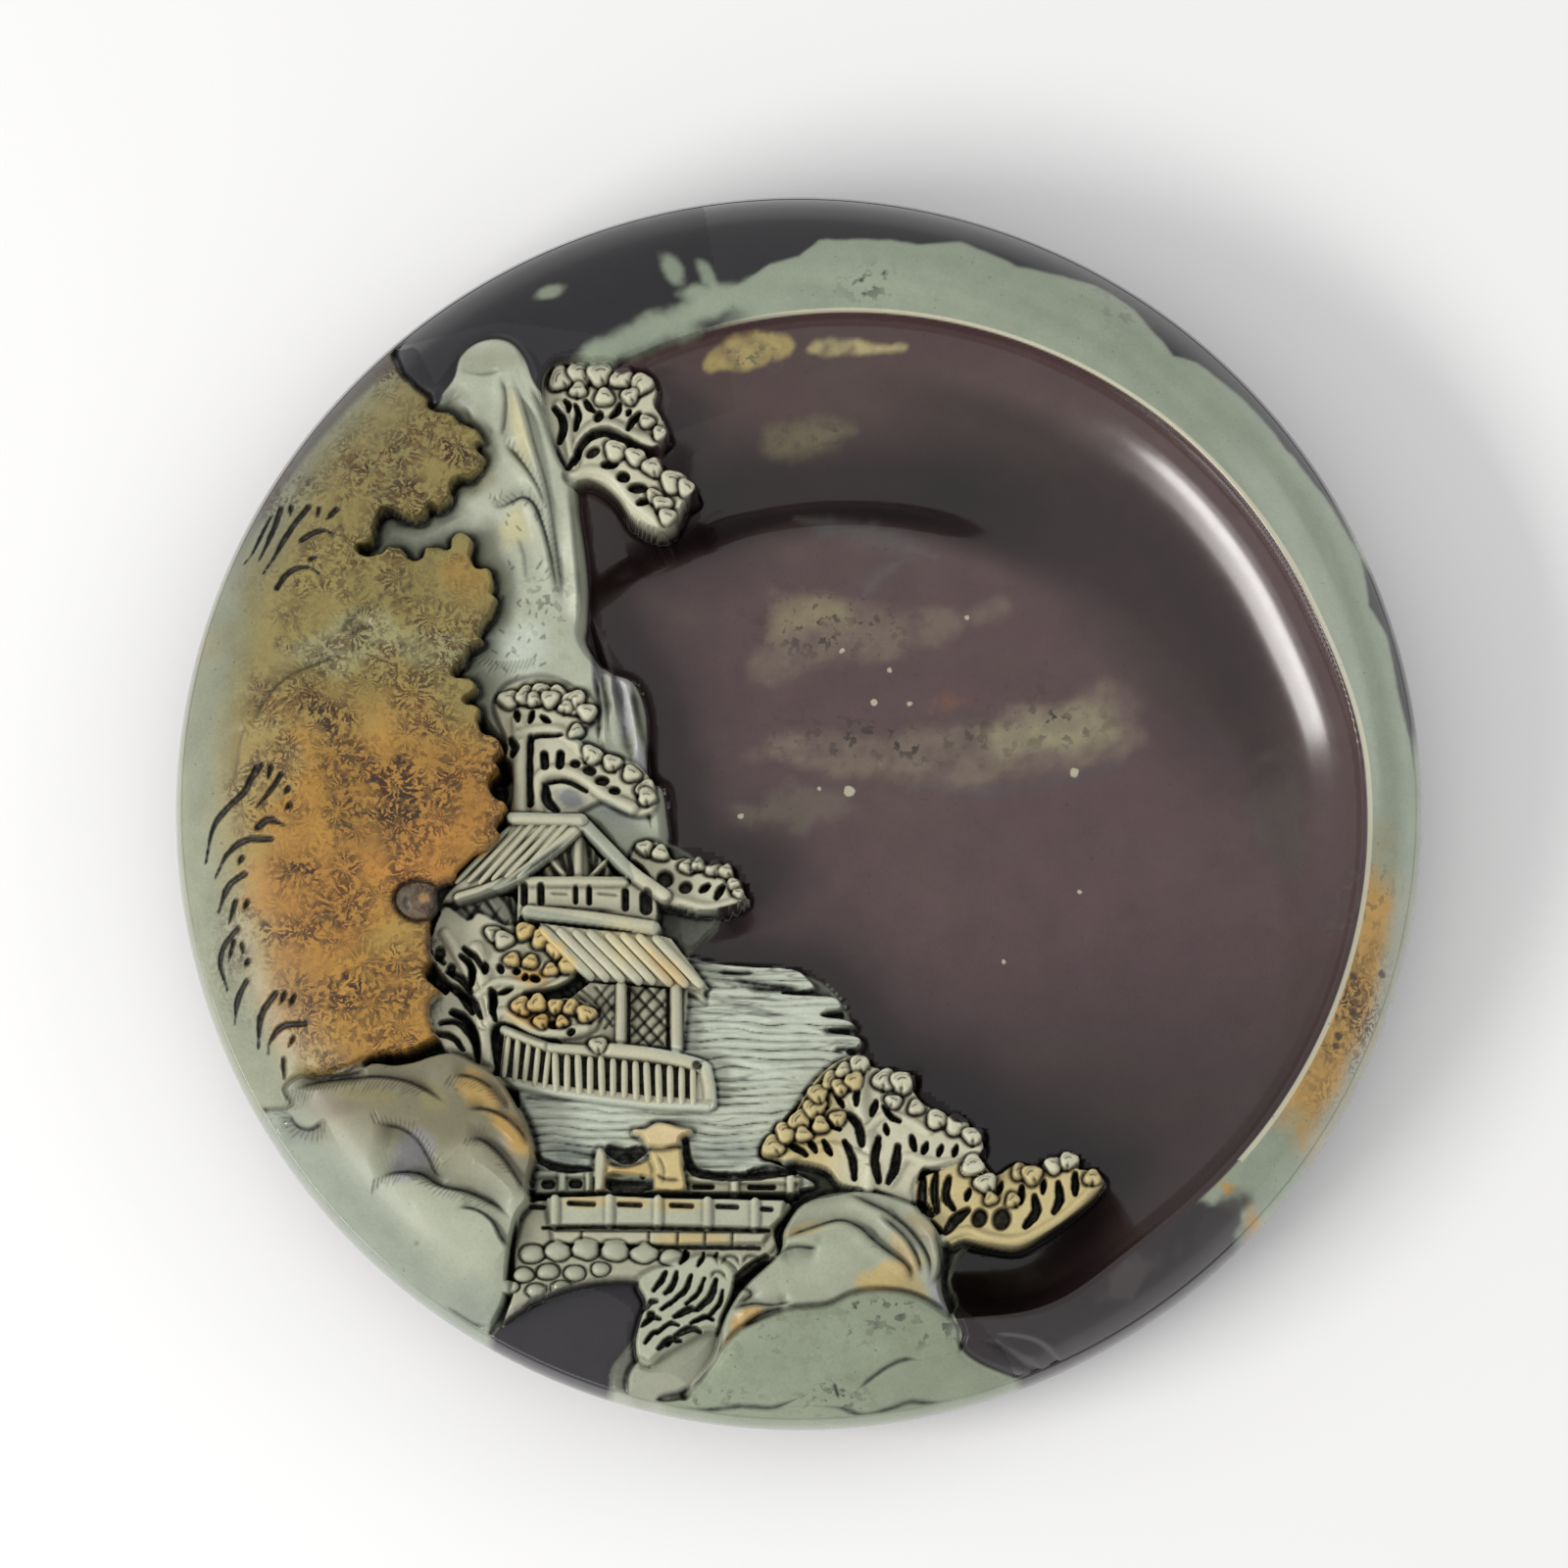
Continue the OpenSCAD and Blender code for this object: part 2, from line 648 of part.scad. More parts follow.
module near_shore() color(green) intersection() {
    blank();
    standing() difference() {
        shape(shore_outline);
        shape(right_rock_outline);
        plates();
    }
    union() {
        cap(2, -112, 40, shore_rise);
        cap(22, -108, 22, shore_rise - 0.5);
        standing(0, ground_z + foot_rise) circle(far);
    }
}

purple_body();
grinding_floor();
purple_shoulder();
green_rim();
ochre_rim();
lower_lip();
ochre_bank();
cliff();
upper_pine();
middle_pine();
side_pine();
water();
upper_roof();
upper_storey();
lower_roof();
lower_storey();
balustrade();
blossom_tree();
travellers();
bridge();
bridge_parapet();
bridge_shrub();
left_rock();
right_rock();
near_shore();
right_pine();
low_pine();
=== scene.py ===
"""Looks of the round carved ink stone.

The stone's whole upper surface is one fine height field, carved here in millimetres over the CAD's places.
It is then split into one closed piece for each CAD node, and the pieces meet without a seam.
"""

import json
import math

import bpy
import numpy as np
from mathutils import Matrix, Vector
from mathutils.bvhtree import BVHTree
from mathutils.geometry import delaunay_2d_cdt


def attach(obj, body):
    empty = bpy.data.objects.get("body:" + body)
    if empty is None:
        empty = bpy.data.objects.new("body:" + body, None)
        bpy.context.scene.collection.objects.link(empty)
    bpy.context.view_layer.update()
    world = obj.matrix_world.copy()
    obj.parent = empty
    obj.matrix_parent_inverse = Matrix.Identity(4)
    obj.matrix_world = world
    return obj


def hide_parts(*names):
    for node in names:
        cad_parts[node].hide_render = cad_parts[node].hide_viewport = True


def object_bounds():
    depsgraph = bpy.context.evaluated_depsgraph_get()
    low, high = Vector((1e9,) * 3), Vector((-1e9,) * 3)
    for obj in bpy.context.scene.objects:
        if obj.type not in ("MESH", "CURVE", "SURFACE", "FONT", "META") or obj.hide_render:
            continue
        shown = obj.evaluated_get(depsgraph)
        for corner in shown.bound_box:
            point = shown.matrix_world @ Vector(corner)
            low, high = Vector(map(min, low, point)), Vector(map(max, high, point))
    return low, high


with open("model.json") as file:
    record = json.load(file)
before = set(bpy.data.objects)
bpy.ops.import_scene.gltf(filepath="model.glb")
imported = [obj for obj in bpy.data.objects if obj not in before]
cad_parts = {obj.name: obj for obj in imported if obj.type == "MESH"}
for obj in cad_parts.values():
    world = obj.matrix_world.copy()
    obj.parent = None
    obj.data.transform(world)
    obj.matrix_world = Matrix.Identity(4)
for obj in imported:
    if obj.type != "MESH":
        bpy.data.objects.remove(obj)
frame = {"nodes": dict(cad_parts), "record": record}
cad_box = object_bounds()

# Sizes of the stone, in millimetres; the first two come from the frame
MM = 0.001
STONE_R = round(float(cad_box[1][0]) / MM, 3)
TOP = round(float(cad_box[1][2]) / MM, 3)
WAIST = 15.0  # where the side is widest
SHOULDER = 30.0  # how far in the rounding above the waist reaches
HEEL = 17.0  # how far in the rounding below the waist reaches
FLAT_R = STONE_R - SHOULDER
GROUND = 22.0  # the level that the carved pieces reach down to
WATER = 26.0  # the same for the pavilion, the travellers and the tree beside them
POOL = 13.0
WELL = (10.0, -4.0)  # the middle of the well
LIP_R = 101.4
LINE_R = 101.8  # the radius of the bright line along the lip
FLOOR = (10.0, -29.0)  # the middle of the grinding floor
FLOOR_R = 89.0
HOLLOW = 1.6  # the height of the hollow underneath
BED = 12.9  # the top of the slate body, just under the pool
LOOK_R = 122.4  # no place farther out is asked which CAD node lies there
ABOVE = 90.0  # where the rays down to the CAD start
FINE = 0.22  # the spacing of the net


def smoothstep(low, high, value):
    """From 0 at the low value to 1 at the high one, easing at both ends."""
    t = np.clip((value - low) / (high - low), 0.0, 1.0)
    return t * t * (3.0 - 2.0 * t)


def smooth_min(a, b, k):
    """The lower of two heights, rounded where they cross."""
    h = np.clip(0.5 + 0.5 * (b - a) / k, 0.0, 1.0)
    return b + (a - b) * h - k * h * (1.0 - h)


def smooth_max(a, b, k):
    """The higher of two heights, rounded where they cross."""
    return -smooth_min(-a, -b, k)


def bell(value, width):
    """One where the value is nought, falling away on both sides of it."""
    return np.exp(-((value / width) ** 2))


def bell_at(x, y, rx, ry, w=(slice(None), slice(None))):
    """A soft round spot on the net."""
    return np.exp(-(((X[w] - x) / rx) ** 2 + ((Y[w] - y) / ry) ** 2))


def noise(x, y, size, seed, octaves=1):
    """Smooth noise from -1 to 1, made of random heights on a square net."""
    table = np.random.default_rng(seed).random((256, 256))
    total = np.zeros(np.shape(x))
    gain, weight = 1.0, 0.0
    for k in range(octaves):
        gx, gy = x / size + 37.7 * k, y / size + 91.3 * k
        i, j = np.floor(gx).astype(int), np.floor(gy).astype(int)
        fx, fy = gx - i, gy - j
        fx, fy = fx * fx * (3 - 2 * fx), fy * fy * (3 - 2 * fy)
        i0, j0, i1, j1 = i & 255, j & 255, (i + 1) & 255, (j + 1) & 255
        low = table[j0, i0] * (1 - fx) + table[j0, i1] * fx
        high = table[j1, i0] * (1 - fx) + table[j1, i1] * fx
        total += gain * (low * (1 - fy) + high * fy)
        weight += gain
        gain *= 0.5
        size *= 0.5
    return total / weight * 2.0 - 1.0


# The net: distances from its middle run along the stone's surface, over the shoulder and down its side
over = np.radians(np.linspace(90.0, 5.0, 400))
prof_r = FLAT_R + SHOULDER * np.cos(over)
prof_z = WAIST + (TOP - WAIST) * np.sin(over)
prof_p = FLAT_R + np.concatenate([[0.0], np.cumsum(np.hypot(np.diff(prof_r), np.diff(prof_z)))])
EDGE_P = float(np.interp(-GROUND, -prof_z, prof_p))
EDGE_R = float(np.interp(EDGE_P, prof_p, prof_r))
HALF = 8 * math.ceil((EDGE_P + 1.5) / (8 * FINE))
axis = np.arange(-HALF, HALF + 1) * FINE
U, V = np.meshgrid(axis, axis)
P = np.hypot(U, V)
R = np.where(P < FLAT_R, P, np.interp(P, prof_p, prof_r))
BLANK = np.interp(P, prof_p, prof_z)
BLANK[P < FLAT_R] = TOP
stretch = R / np.maximum(P, 1e-6)
X, Y = U * stretch, V * stretch
N = 2 * HALF

Z = BLANK.copy()
# Ink and wax settled in the carving, together with painted shade in its hollows and beside its edges
INK_AND_SHADE = np.zeros_like(Z)
TINT = np.zeros(Z.shape + (3,))
FLECK = np.zeros_like(Z)
COVER = np.zeros_like(Z)


def rgb(r, g, b):
    """A colour named in 8-bit screen values, in linear light."""
    c = np.array([r, g, b]) / 255.0
    return np.where(c <= 0.04045, c / 12.92, ((c + 0.055) / 1.055) ** 2.4)


def window(points, pad):
    """The part of the net that holds some points, with a margin."""
    pts = np.asarray(points, float).reshape(-1, 2)
    ends = np.array([pts.min(0) - pad, pts.max(0) + pad])
    corners = np.array([(x, y) for x in ends[:, 0] for y in ends[:, 1]])
    r = np.maximum(np.hypot(corners[:, 0], corners[:, 1]), 1e-6)
    p = np.where(r < FLAT_R, r, np.interp(r, prof_r, prof_p) + np.maximum(r - prof_r[-1], 0.0))
    uv = corners * (p / r)[:, None]
    extra = 6.0 if r.max() > FLAT_R else 0.0
    c0, r0 = np.floor((uv.min(0) - extra) / FINE).astype(int) + HALF
    c1, r1 = np.ceil((uv.max(0) + extra) / FINE).astype(int) + HALF + 1
    return slice(max(r0, 0), min(r1, N + 1)), slice(max(c0, 0), min(c1, N + 1))


def spline(fours, parts):
    """Places on a smooth line, for each four points in a row from its second point up to its third."""
    out = []
    for a, b, c, d in fours:
        square, cube = 2 * a - 5 * b + 4 * c - d, 3 * b - a - 3 * c + d
        out += [
            0.5 * (2 * b + (c - a) * s + square * s * s + cube * s ** 3) for s in np.arange(parts) / parts
        ]
    return out


def curve(points, parts=6):
    """A smooth open curve through some points."""
    pts = np.asarray(points, float)
    if len(pts) < 3:
        t = np.linspace(0, 1, parts + 1)[:, None]
        return pts[0] * (1 - t) + pts[-1] * t
    ends = np.vstack([2 * pts[0] - pts[1], pts, 2 * pts[-1] - pts[-2]])
    return np.array(spline(zip(ends, ends[1:], ends[2:], ends[3:]), parts) + [pts[-1]])


def loop(points, parts=4):
    """A smooth closed curve through some points."""
    pts = np.asarray(points, float)
    return np.array(spline(zip(*(np.roll(pts, k, 0) for k in (1, 0, -1, -2))), parts))


def nearest(w, pts, sides=False):
    """Distance to a line of points, how far along it the nearest place is, from 0 to 1, and on which side."""
    x, y = X[w], Y[w]
    side = np.ones(x.shape)
    lengths = np.hypot(*np.diff(pts, axis=0).T)
    total = max(lengths.sum(), 1e-9)
    best = np.full(x.shape, 1e9)
    along = np.zeros(x.shape)
    start = 0.0
    for (ax, ay), (bx, by), length in zip(pts, pts[1:], lengths):
        if length < 1e-9:
            continue
        t = np.clip(((x - ax) * (bx - ax) + (y - ay) * (by - ay)) / length ** 2, 0.0, 1.0)
        d = (x - ax - t * (bx - ax)) ** 2 + (y - ay - t * (by - ay)) ** 2
        closer = d < best
        best = np.where(closer, d, best)
        along = np.where(closer, (start + t * length) / total, along)
        if sides:
            side = np.where(closer, np.sign((bx - ax) * (y - ay) - (by - ay) * (x - ax)), side)
        start += length
    return (np.sqrt(best), along, side) if sides else (np.sqrt(best), along)


def inside(w, pts):
    """Signed distance to a closed outline, positive inside."""
    x, y = X[w], Y[w]
    ring = np.vstack([pts, pts[:1]])
    dist, _ = nearest(w, ring)
    odd = np.zeros(x.shape, bool)
    for (ax, ay), (bx, by) in zip(ring, ring[1:]):
        if ay == by:
            continue
        crosses = (ay > y) != (by > y)
        odd ^= crosses & (x < (bx - ax) * (y - ay) / (by - ay) + ax)
    return np.where(odd, dist, -dist)


def turned(w, x, y, angle):
    """Places in a window as seen from a point, along axes turned by an angle in degrees."""
    a = math.radians(angle)
    dx, dy = X[w] - x, Y[w] - y
    return dx * math.cos(a) + dy * math.sin(a), -dx * math.sin(a) + dy * math.cos(a)


def darken(w, amount):
    """Darkens the carving with settled wax and ink and with painted shade; the darker mark wins."""
    INK_AND_SHADE[w] = np.maximum(INK_AND_SHADE[w], amount)


def paint(w, mask, colour, amount=1.0):
    """Colours the stone where a mask says so."""
    m = (np.clip(mask, 0, 1) * amount)[..., None]
    TINT[w] = TINT[w] * (1 - m) + np.asarray(colour) * m


def taper(t, ends):
    """How wide a stroke is along its way, by which of its ends run out thin."""
    if ends == "both":
        return np.clip(np.sin(np.pi * np.clip(t, 0.02, 0.98)) * 1.6, 0.25, 1.0)
    if ends == "last":
        return np.clip((1.0 - t) * 2.2, 0.3, 1.0)
    if ends == "first":
        return np.clip(t * 2.2, 0.3, 1.0)
    return np.ones_like(t)


def cut(points, width=1.0, depth=0.8, ink=0.8, ends="both", parts=6):
    """A groove cut with a V tool, dark with settled wax and ink and with painted shade."""
    pts = curve(points, parts)
    w = window(pts, width * 2.5)
    d, t = nearest(w, pts)
    k = taper(t, ends)
    shape = bell(d, 0.55 * width * k) * k
    Z[w] -= depth * shape
    darken(w, ink * shape)


def fold(points, width=3.0, depth=1.4, side=1.0, ink=0.7):
    """A crease in rock: steep on one side and easing out on the other, as one fold overlaps the next."""
    pts = curve(points, 6)
    w = window(pts, width * 2.4)
    d, t, left = nearest(w, pts, True)
    signed = d * left * side
    k = smoothstep(0.0, 0.22, t) * smoothstep(1.0, 0.78, t)
    low = np.where(signed > 0, bell(signed, width), bell(signed, 0.5))
    swell = np.where(signed < 0, bell(signed + 0.55 * width, 0.6 * width) - 0.43 * bell(signed, 0.8), 0.0)
    Z[w] += (-depth * low + 0.45 * depth * swell) * k
    darken(w, ink * bell(d, 0.42) * k)
    shade = 0.34 * ink * np.where(signed > 0, bell(signed, 0.75 * width), 0.0) * k
    darken(w, shade)


def rib(points, width, height, ends="none", top=None, ink=0.0):
    """A rounded ridge. With a top it stands at that height, otherwise it swells what is there."""
    pts = curve(points, 4)
    w = window(pts, width + 1.0)
    d, t = nearest(w, pts)
    k = taper(t, ends)
    half = 0.5 * width * k
    if top is None:
        Z[w] += height * bell(d, half) * k
    else:
        crown = top - height * np.clip(d / half, 0, 1) ** 2
        m = smoothstep(half + 0.3, half - 0.15, d)
        Z[w] = Z[w] * (1 - m) + crown * m
        INK_AND_SHADE[w] *= 1 - m
    if ink:
        side = bell(d - half - 0.35, 0.35) * k
        darken(w, ink * side)


def mass(points, height, edge=0.6, moat=0.0, parts=4, colour=None, ink=0.5):
    """Raises what is inside an outline to a height, with a worn edge and a dark undercut round it."""
    pts = loop(points, parts) if parts else np.asarray(points, float)
    w = window(pts, 3.0)
    d = inside(w, pts)
    m = smoothstep(-0.15, edge, d)
    target = height(w, d) if callable(height) else height
    Z[w] = Z[w] * (1 - m) + target * m
    INK_AND_SHADE[w] *= 1 - smoothstep(0.0, 0.5, d)
    COVER[w] = np.maximum(COVER[w], smoothstep(-0.1, 0.3, d))
    if moat:
        trench = bell(d + 0.3, 0.5)
        Z[w] -= moat * trench
        darken(w, ink * trench)
    if colour is not None:
        paint(w, smoothstep(-0.05, 0.35, d), colour)
    return w, d


def pit(x, y, rx, ry, angle=0.0, depth=3.5, ink=1.0):
    """A drilled dark hollow."""
    reach = max(rx, ry)
    w = window([(x, y)], reach + 1.0)
    px, py = turned(w, x, y, angle)
    q = np.sqrt((px / rx) ** 2 + (py / ry) ** 2)
    m = smoothstep(1.25, 0.7, q)
    Z[w] -= depth * m
    darken(w, ink * smoothstep(1.3, 0.8, q))


def slot(x, y, wide, tall, angle=0.0, depth=4.0, ink=1.0):
    """A narrow straight-sided hole with rounded ends."""
    reach = max(wide, tall)
    w = window([(x, y)], reach)
    px, py = turned(w, x, y, angle)
    d = np.hypot(px, np.maximum(np.abs(py) - (tall - wide) / 2, 0)) - wide / 2
    m = smoothstep(0.18, -0.22, d)
    Z[w] -= depth * m
    darken(w, ink * smoothstep(0.35, -0.05, d))


def gash(points, width, depth=4.5, ink=1.0, ends="both"):
    """A long dark opening between two limbs."""
    pts = curve(points, 5)
    w = window(pts, width + 1.0)
    d, t = nearest(w, pts)
    k = 1.0 - 0.4 * (2 * t - 1) ** 2 if ends == "both" else taper(t, ends)
    d = d - 0.5 * width * k + 0.1 * noise(X[w], Y[w], 0.9, 89)
    Z[w] -= depth * smoothstep(0.2, -0.35, d)
    darken(w, ink * smoothstep(0.35, -0.15, d))


def hatch(points, side, reach, gap, ink=0.4, seed=1):
    """Short tool strokes set close together along the shaded side of a crease."""
    luck = np.random.default_rng(seed)
    pts = curve(points, 12)
    way = np.gradient(pts, axis=0)
    far = np.concatenate([[0], np.cumsum(np.hypot(*np.diff(pts, axis=0).T))])
    for s in np.arange(0.6, far[-1], gap):
        x, y = np.interp(s, far, pts[:, 0]), np.interp(s, far, pts[:, 1])
        ax, ay = np.interp(s, far, way[:, 0]), np.interp(s, far, way[:, 1])
        nx, ny = -ay * side - 0.6 * ax, ax * side - 0.6 * ay
        length = reach * (0.6 + 0.7 * luck.random()) / max(math.hypot(nx, ny), 1e-6)
        x, y = x + 0.3 * nx / max(math.hypot(nx, ny), 1e-6), y + 0.3 * ny / max(math.hypot(nx, ny), 1e-6)
        cut([(x, y), (x + nx * length, y + ny * length)], 0.42, 0.22, ink, "last", 2)


def arc(a, b, bulge, count):
    """Points along an arc from a to b that bulges to the left of its way."""
    a, b = np.array(a, float), np.array(b, float)
    way = b - a
    side = np.array([-way[1], way[0]]) / max(np.hypot(*way), 1e-6)
    t = (np.arange(count) / (count - 1))[:, None] if count > 1 else np.array([[0.5]])
    return a + way * t + side * bulge * 4 * t * (1 - t)


def blur(a, size):
    """A softened copy of an array over the net, by a size in millimetres."""
    fy = np.fft.fftfreq(a.shape[0])[:, None]
    fx = np.fft.rfftfreq(a.shape[1])[None, :]
    fade = np.exp(-2 * (np.pi * size / FINE) ** 2 * (fx ** 2 + fy ** 2))
    return np.fft.irfft2(np.fft.rfft2(a) * fade, a.shape)


# Colours of the layered stone
PURPLE = rgb(66, 55, 59)
PURPLE_TOP = rgb(31, 29, 33)
PURPLE_EDGE = rgb(40, 38, 43)
FLOOR_TONE = rgb(85, 64, 67)
WALL_TONE = rgb(77, 57, 58)
GREEN = rgb(152, 163, 142)
OCHRE = rgb(192, 152, 82)
OLIVE = rgb(130, 120, 94)
ORANGE = rgb(194, 140, 76)
PALE = rgb(166, 168, 148)
CLIFF = rgb(176, 181, 161)
WATER_TONE = rgb(196, 202, 186)
ROCK = rgb(160, 165, 144)
BONE = rgb(200, 198, 172)


def smudge(x, y, rx, ry, angle, colour, amount=0.8, rough=0.5, seed=1, size=6.0, soft=0.6):
    """A cloudy patch of another colour in the stone."""
    w = window([(x, y)], 1.9 * max(rx, ry))
    px, py = turned(w, x, y, angle)
    q = 1.0 - np.hypot(px / rx, py / ry) + rough * noise(X[w], Y[w], size, seed, 4)
    paint(w, smoothstep(-0.1, soft, q), colour, amount)


def wisp(points, width, colour, amount=0.5, seed=1):
    """A thin cloudy streak in the stone."""
    pts = curve(points, 6)
    w = window(pts, 3.0 * width)
    d, t = nearest(w, pts)
    k = taper(t, "both")
    q = 1.0 - d / (width * k) + 0.5 * noise(X[w], Y[w], 3.0, seed, 4)
    paint(w, smoothstep(0.0, 1.0, q), colour, amount)


def speck(x, y, r, colour, amount=1.0):
    """A small round grain in the stone."""
    w = window([(x, y)], 3 * r)
    d = np.hypot(X[w] - x, Y[w] - y) + 0.3 * r * noise(X[w], Y[w], r, 5)
    paint(w, smoothstep(r * 1.15, r * 0.75, d), colour, amount)


# The well: the pool in a crescent at the top, the sloping bank round it and the floor standing out of it
ALL = (slice(None), slice(None))
rho = np.hypot(X - WELL[0], Y - WELL[1])
bearing = np.degrees(np.arctan2(Y - WELL[1], X - WELL[0]))
rho -= 1.8 * smoothstep(-75, -55, bearing) * smoothstep(25, 5, bearing)
rho -= 4.6 * bell(bearing + 69, 9.0) * smoothstep(60, 90, rho)
angle = np.degrees(np.arctan2(Y, X))
wall_r = [0, 58, 68, 76, 84, 88, 90, 95, 97, 99.4, 100.6, 101.5, 102.2, 104]
wall_z = [POOL, POOL, 15.0, 17.8, 21.2, 22.8, 23.8, 26.8, 28.4, 30.7, 32.4, 34.6, 37.0, 46]
fine_r = np.arange(0, 104.01, 0.1)
fine_z = np.interp(fine_r, wall_r, wall_z)
blend = bell(np.arange(-80, 81), 16.0)
even_z = np.convolve(np.pad(fine_z, 80, "edge"), blend / blend.sum(), "valid")
fine_z = even_z + (fine_z - even_z) * smoothstep(94.5, 99.0, fine_r)
well = np.interp(rho, fine_r, fine_z)
past = np.hypot(X - FLOOR[0], Y - FLOOR[1]) - FLOOR_R
slack = smoothstep(15, 70, X + 0.35 * np.maximum(-Y, 0))
raised = GROUND - (9.6 - 7.6 * slack) * smoothstep(-5.0 - 9.0 * slack, 6.5 + 10.0 * slack, past)
raised -= 0.5 * np.clip(1.0 - (past + FLOOR_R) ** 2 / 5200.0, 0, 1)
hollow = smooth_max(well, raised, 4.5)

RELIEF_EDGE = [
    (-31, 89), (-26, 82), (-27, 74), (-26, 68), (-19, 64), (-20, 56), (-27, 53), (-37, 59), (-41, 50),
    (-40, 36), (-33, 26), (-29, 17), (-28, 4), (-24, -6), (-20, -11), (-12, -12), (-10, -19), (-16, -24),
    (-22, -26), (-22, -32), (-10, -33), (2, -34), (8, -40), (13, -48), (16, -53), (27, -59), (38, -67),
    (48, -73), (53, -70), (60, -76), (57, -82), (48, -90), (37, -91), (31, -95), (32, -102), (41, -111),
]
RELIEF_REST = [(47, -124), (40, -140), (-140, -140), (-140, 92), (-76, 93), (-60, 96), (-42, 93)]
carved = inside(ALL, np.array(RELIEF_EDGE + RELIEF_REST, float))
hollow -= 1.3 * bell(np.minimum(carved, 0), 6.0) * smoothstep(98, 90, rho) * smoothstep(88, 70, Y)
hollow -= 4.5 * bell_at(42, -98, 14, 8) * smoothstep(101, 96, rho)
Z = smooth_min(BLANK, hollow, 0.9)

# Colour of the well, with painted shade in the pool's crescent under the floor's edge, on the wall's lower
# slope, beside the carved scene, towards the bottom and in the pocket
TINT[:] = PURPLE_TOP
inner = smoothstep(LIP_R + 0.5, LIP_R, rho)
outside = smoothstep(LIP_R, LIP_R + 0.5, rho)
on_floor = smoothstep(1.0, -4.0, past)[..., None]
tone = FLOOR_TONE * on_floor + WALL_TONE * smoothstep(-4.0, 1.0, past)[..., None]
cloud = noise(X, Y, 34.0, 11, 4)[..., None]
tone = tone * (1.0 + 0.10 * cloud)
drift = smoothstep(-0.2, 0.7, noise(X + 0.6 * Y, Y * 1.8, 22.0, 12, 4))[..., None]
tone = tone * (1 - 0.20 * drift) + OLIVE * 0.45 * 0.20 * drift
# Painted shade in the pool round the floor's upper edge
pool_shade = smoothstep(-8.0, -1.5, past) * smoothstep(21.0, 7.0, past)
pool_shade = pool_shade * smoothstep(72, 30, X) * smoothstep(-60, -20, X)
tone = tone * (1 - 0.74 * pool_shade[..., None])
# Painted shade on the right wall's lower slope, darkest along its foot
wall_shade = smoothstep(56, 74, rho) * smoothstep(94, 88, rho)
wall_shade = wall_shade * smoothstep(-5, 22, bearing) * smoothstep(95, 70, bearing)
tone = tone * (1 - 0.50 * wall_shade[..., None])
wall_darkest_shade = bell(rho - 82, 6.0) * smoothstep(-15, 15, bearing) * smoothstep(80, 55, bearing)
tone = tone * (1 - 0.30 * wall_darkest_shade[..., None])
# Painted shade cast by the carved scene onto the floor beside it
shaded = bell(np.minimum(carved, 0), 13.0) * smoothstep(95, 70, rho + 0.3 * Y)
tone = tone * (1 - 0.68 * shaded[..., None])
# Painted shade, darker towards the bottom of the well and darkest in the pocket
low_shade = smoothstep(-8, -68, Y) * (0.35 + 0.65 * smoothstep(20, 70, np.hypot(X - 10, Y)))
tone = tone * (1 - 0.58 * low_shade[..., None])
pocket_shade = bell_at(40, -96, 20, 12)[..., None]
tone = tone * (1 - 0.7 * pocket_shade)
TINT[:] = TINT * (1 - inner[..., None]) + tone * inner[..., None]

# The green layer round the rim, with the purple slate coming back at its outer edge
turns = [
    -180, -4, 4, 11, 16, 19, 24, 28, 36, 41, 48, 50, 56, 60, 62, 68, 74, 78, 84, 88, 90, 93, 96, 100, 112,
    180,
]
border_r = [
    126, 126, 123.2, 122, 122.3, 120.3, 123.6, 122.6, 121, 121, 119.6, 116.8, 120.4, 120.7, 119.4, 116.3,
    117.6, 114.5, 113.8, 112.6, 109, 107.8, 104.3, 101, 90, 90,
]
rad = np.hypot(X, Y)
border = np.interp(angle, turns, border_r) + 0.5 * noise(X, Y, 5.0, 13, 3)
green = smoothstep(0.5, -0.5, rad - border) * outside * smoothstep(-36, -34, angle)
drawn = rad + 2.5 * noise(X, Y, 30.0, 28, 2)
bands = noise(drawn, 0.12 * angle, 3.2, 14, 3)[..., None]
green_tone = GREEN * (1 + 0.11 * bands + 0.05 * noise(X, Y, 18.0, 29, 3)[..., None])
paint(ALL, green, green_tone)
paint(ALL, green * smoothstep(3.5, 0.0, np.abs(rad - border - 1.5)), GREEN * 0.78, 0.35)

# The ochre layer on the right, paler outside, and the green coming back below it
ochre = smoothstep(-3, -10, angle + 3.5 * noise(X, Y, 7.0, 15, 4)) * outside
pale_out = smoothstep(119.0, 123.0, rad + 1.2 * noise(X, Y, 8.0, 16, 3) + 0.10 * (angle + 20))
ochre_tone = OCHRE * (1 + 0.14 * noise(X, Y, 4.0, 17, 4)[..., None])
paint(ALL, ochre, ochre_tone * (1 - pale_out[..., None]) + PALE * 0.98 * pale_out[..., None])
low_green = smoothstep(-32, -37, angle + 2.5 * noise(X, Y, 5.0, 18, 4)) * outside
spots = smoothstep(0.25, 0.6, noise(X, Y, 6.0, 19, 4))[..., None]
paint(ALL, low_green, GREEN * 0.98 * (1 - spots) + OCHRE * 0.92 * spots)
low_purple = smoothstep(-43.5, -45.5, angle + 2.5 * noise(X, Y, 4.0, 20, 4)) * smoothstep(101.0, 101.6, rho)
paint(ALL, low_purple, rgb(48, 42, 45) * (1 + 0.10 * noise(X, Y, 9.0, 21, 4)[..., None]))
smudge(84, -84, 8, 3.5, 45, rgb(56, 50, 52), 0.9, 0.7, 22, 5.0)
smudge(66, -96, 9, 3.0, 35, rgb(84, 78, 76), 0.5, 0.7, 23, 5.0)

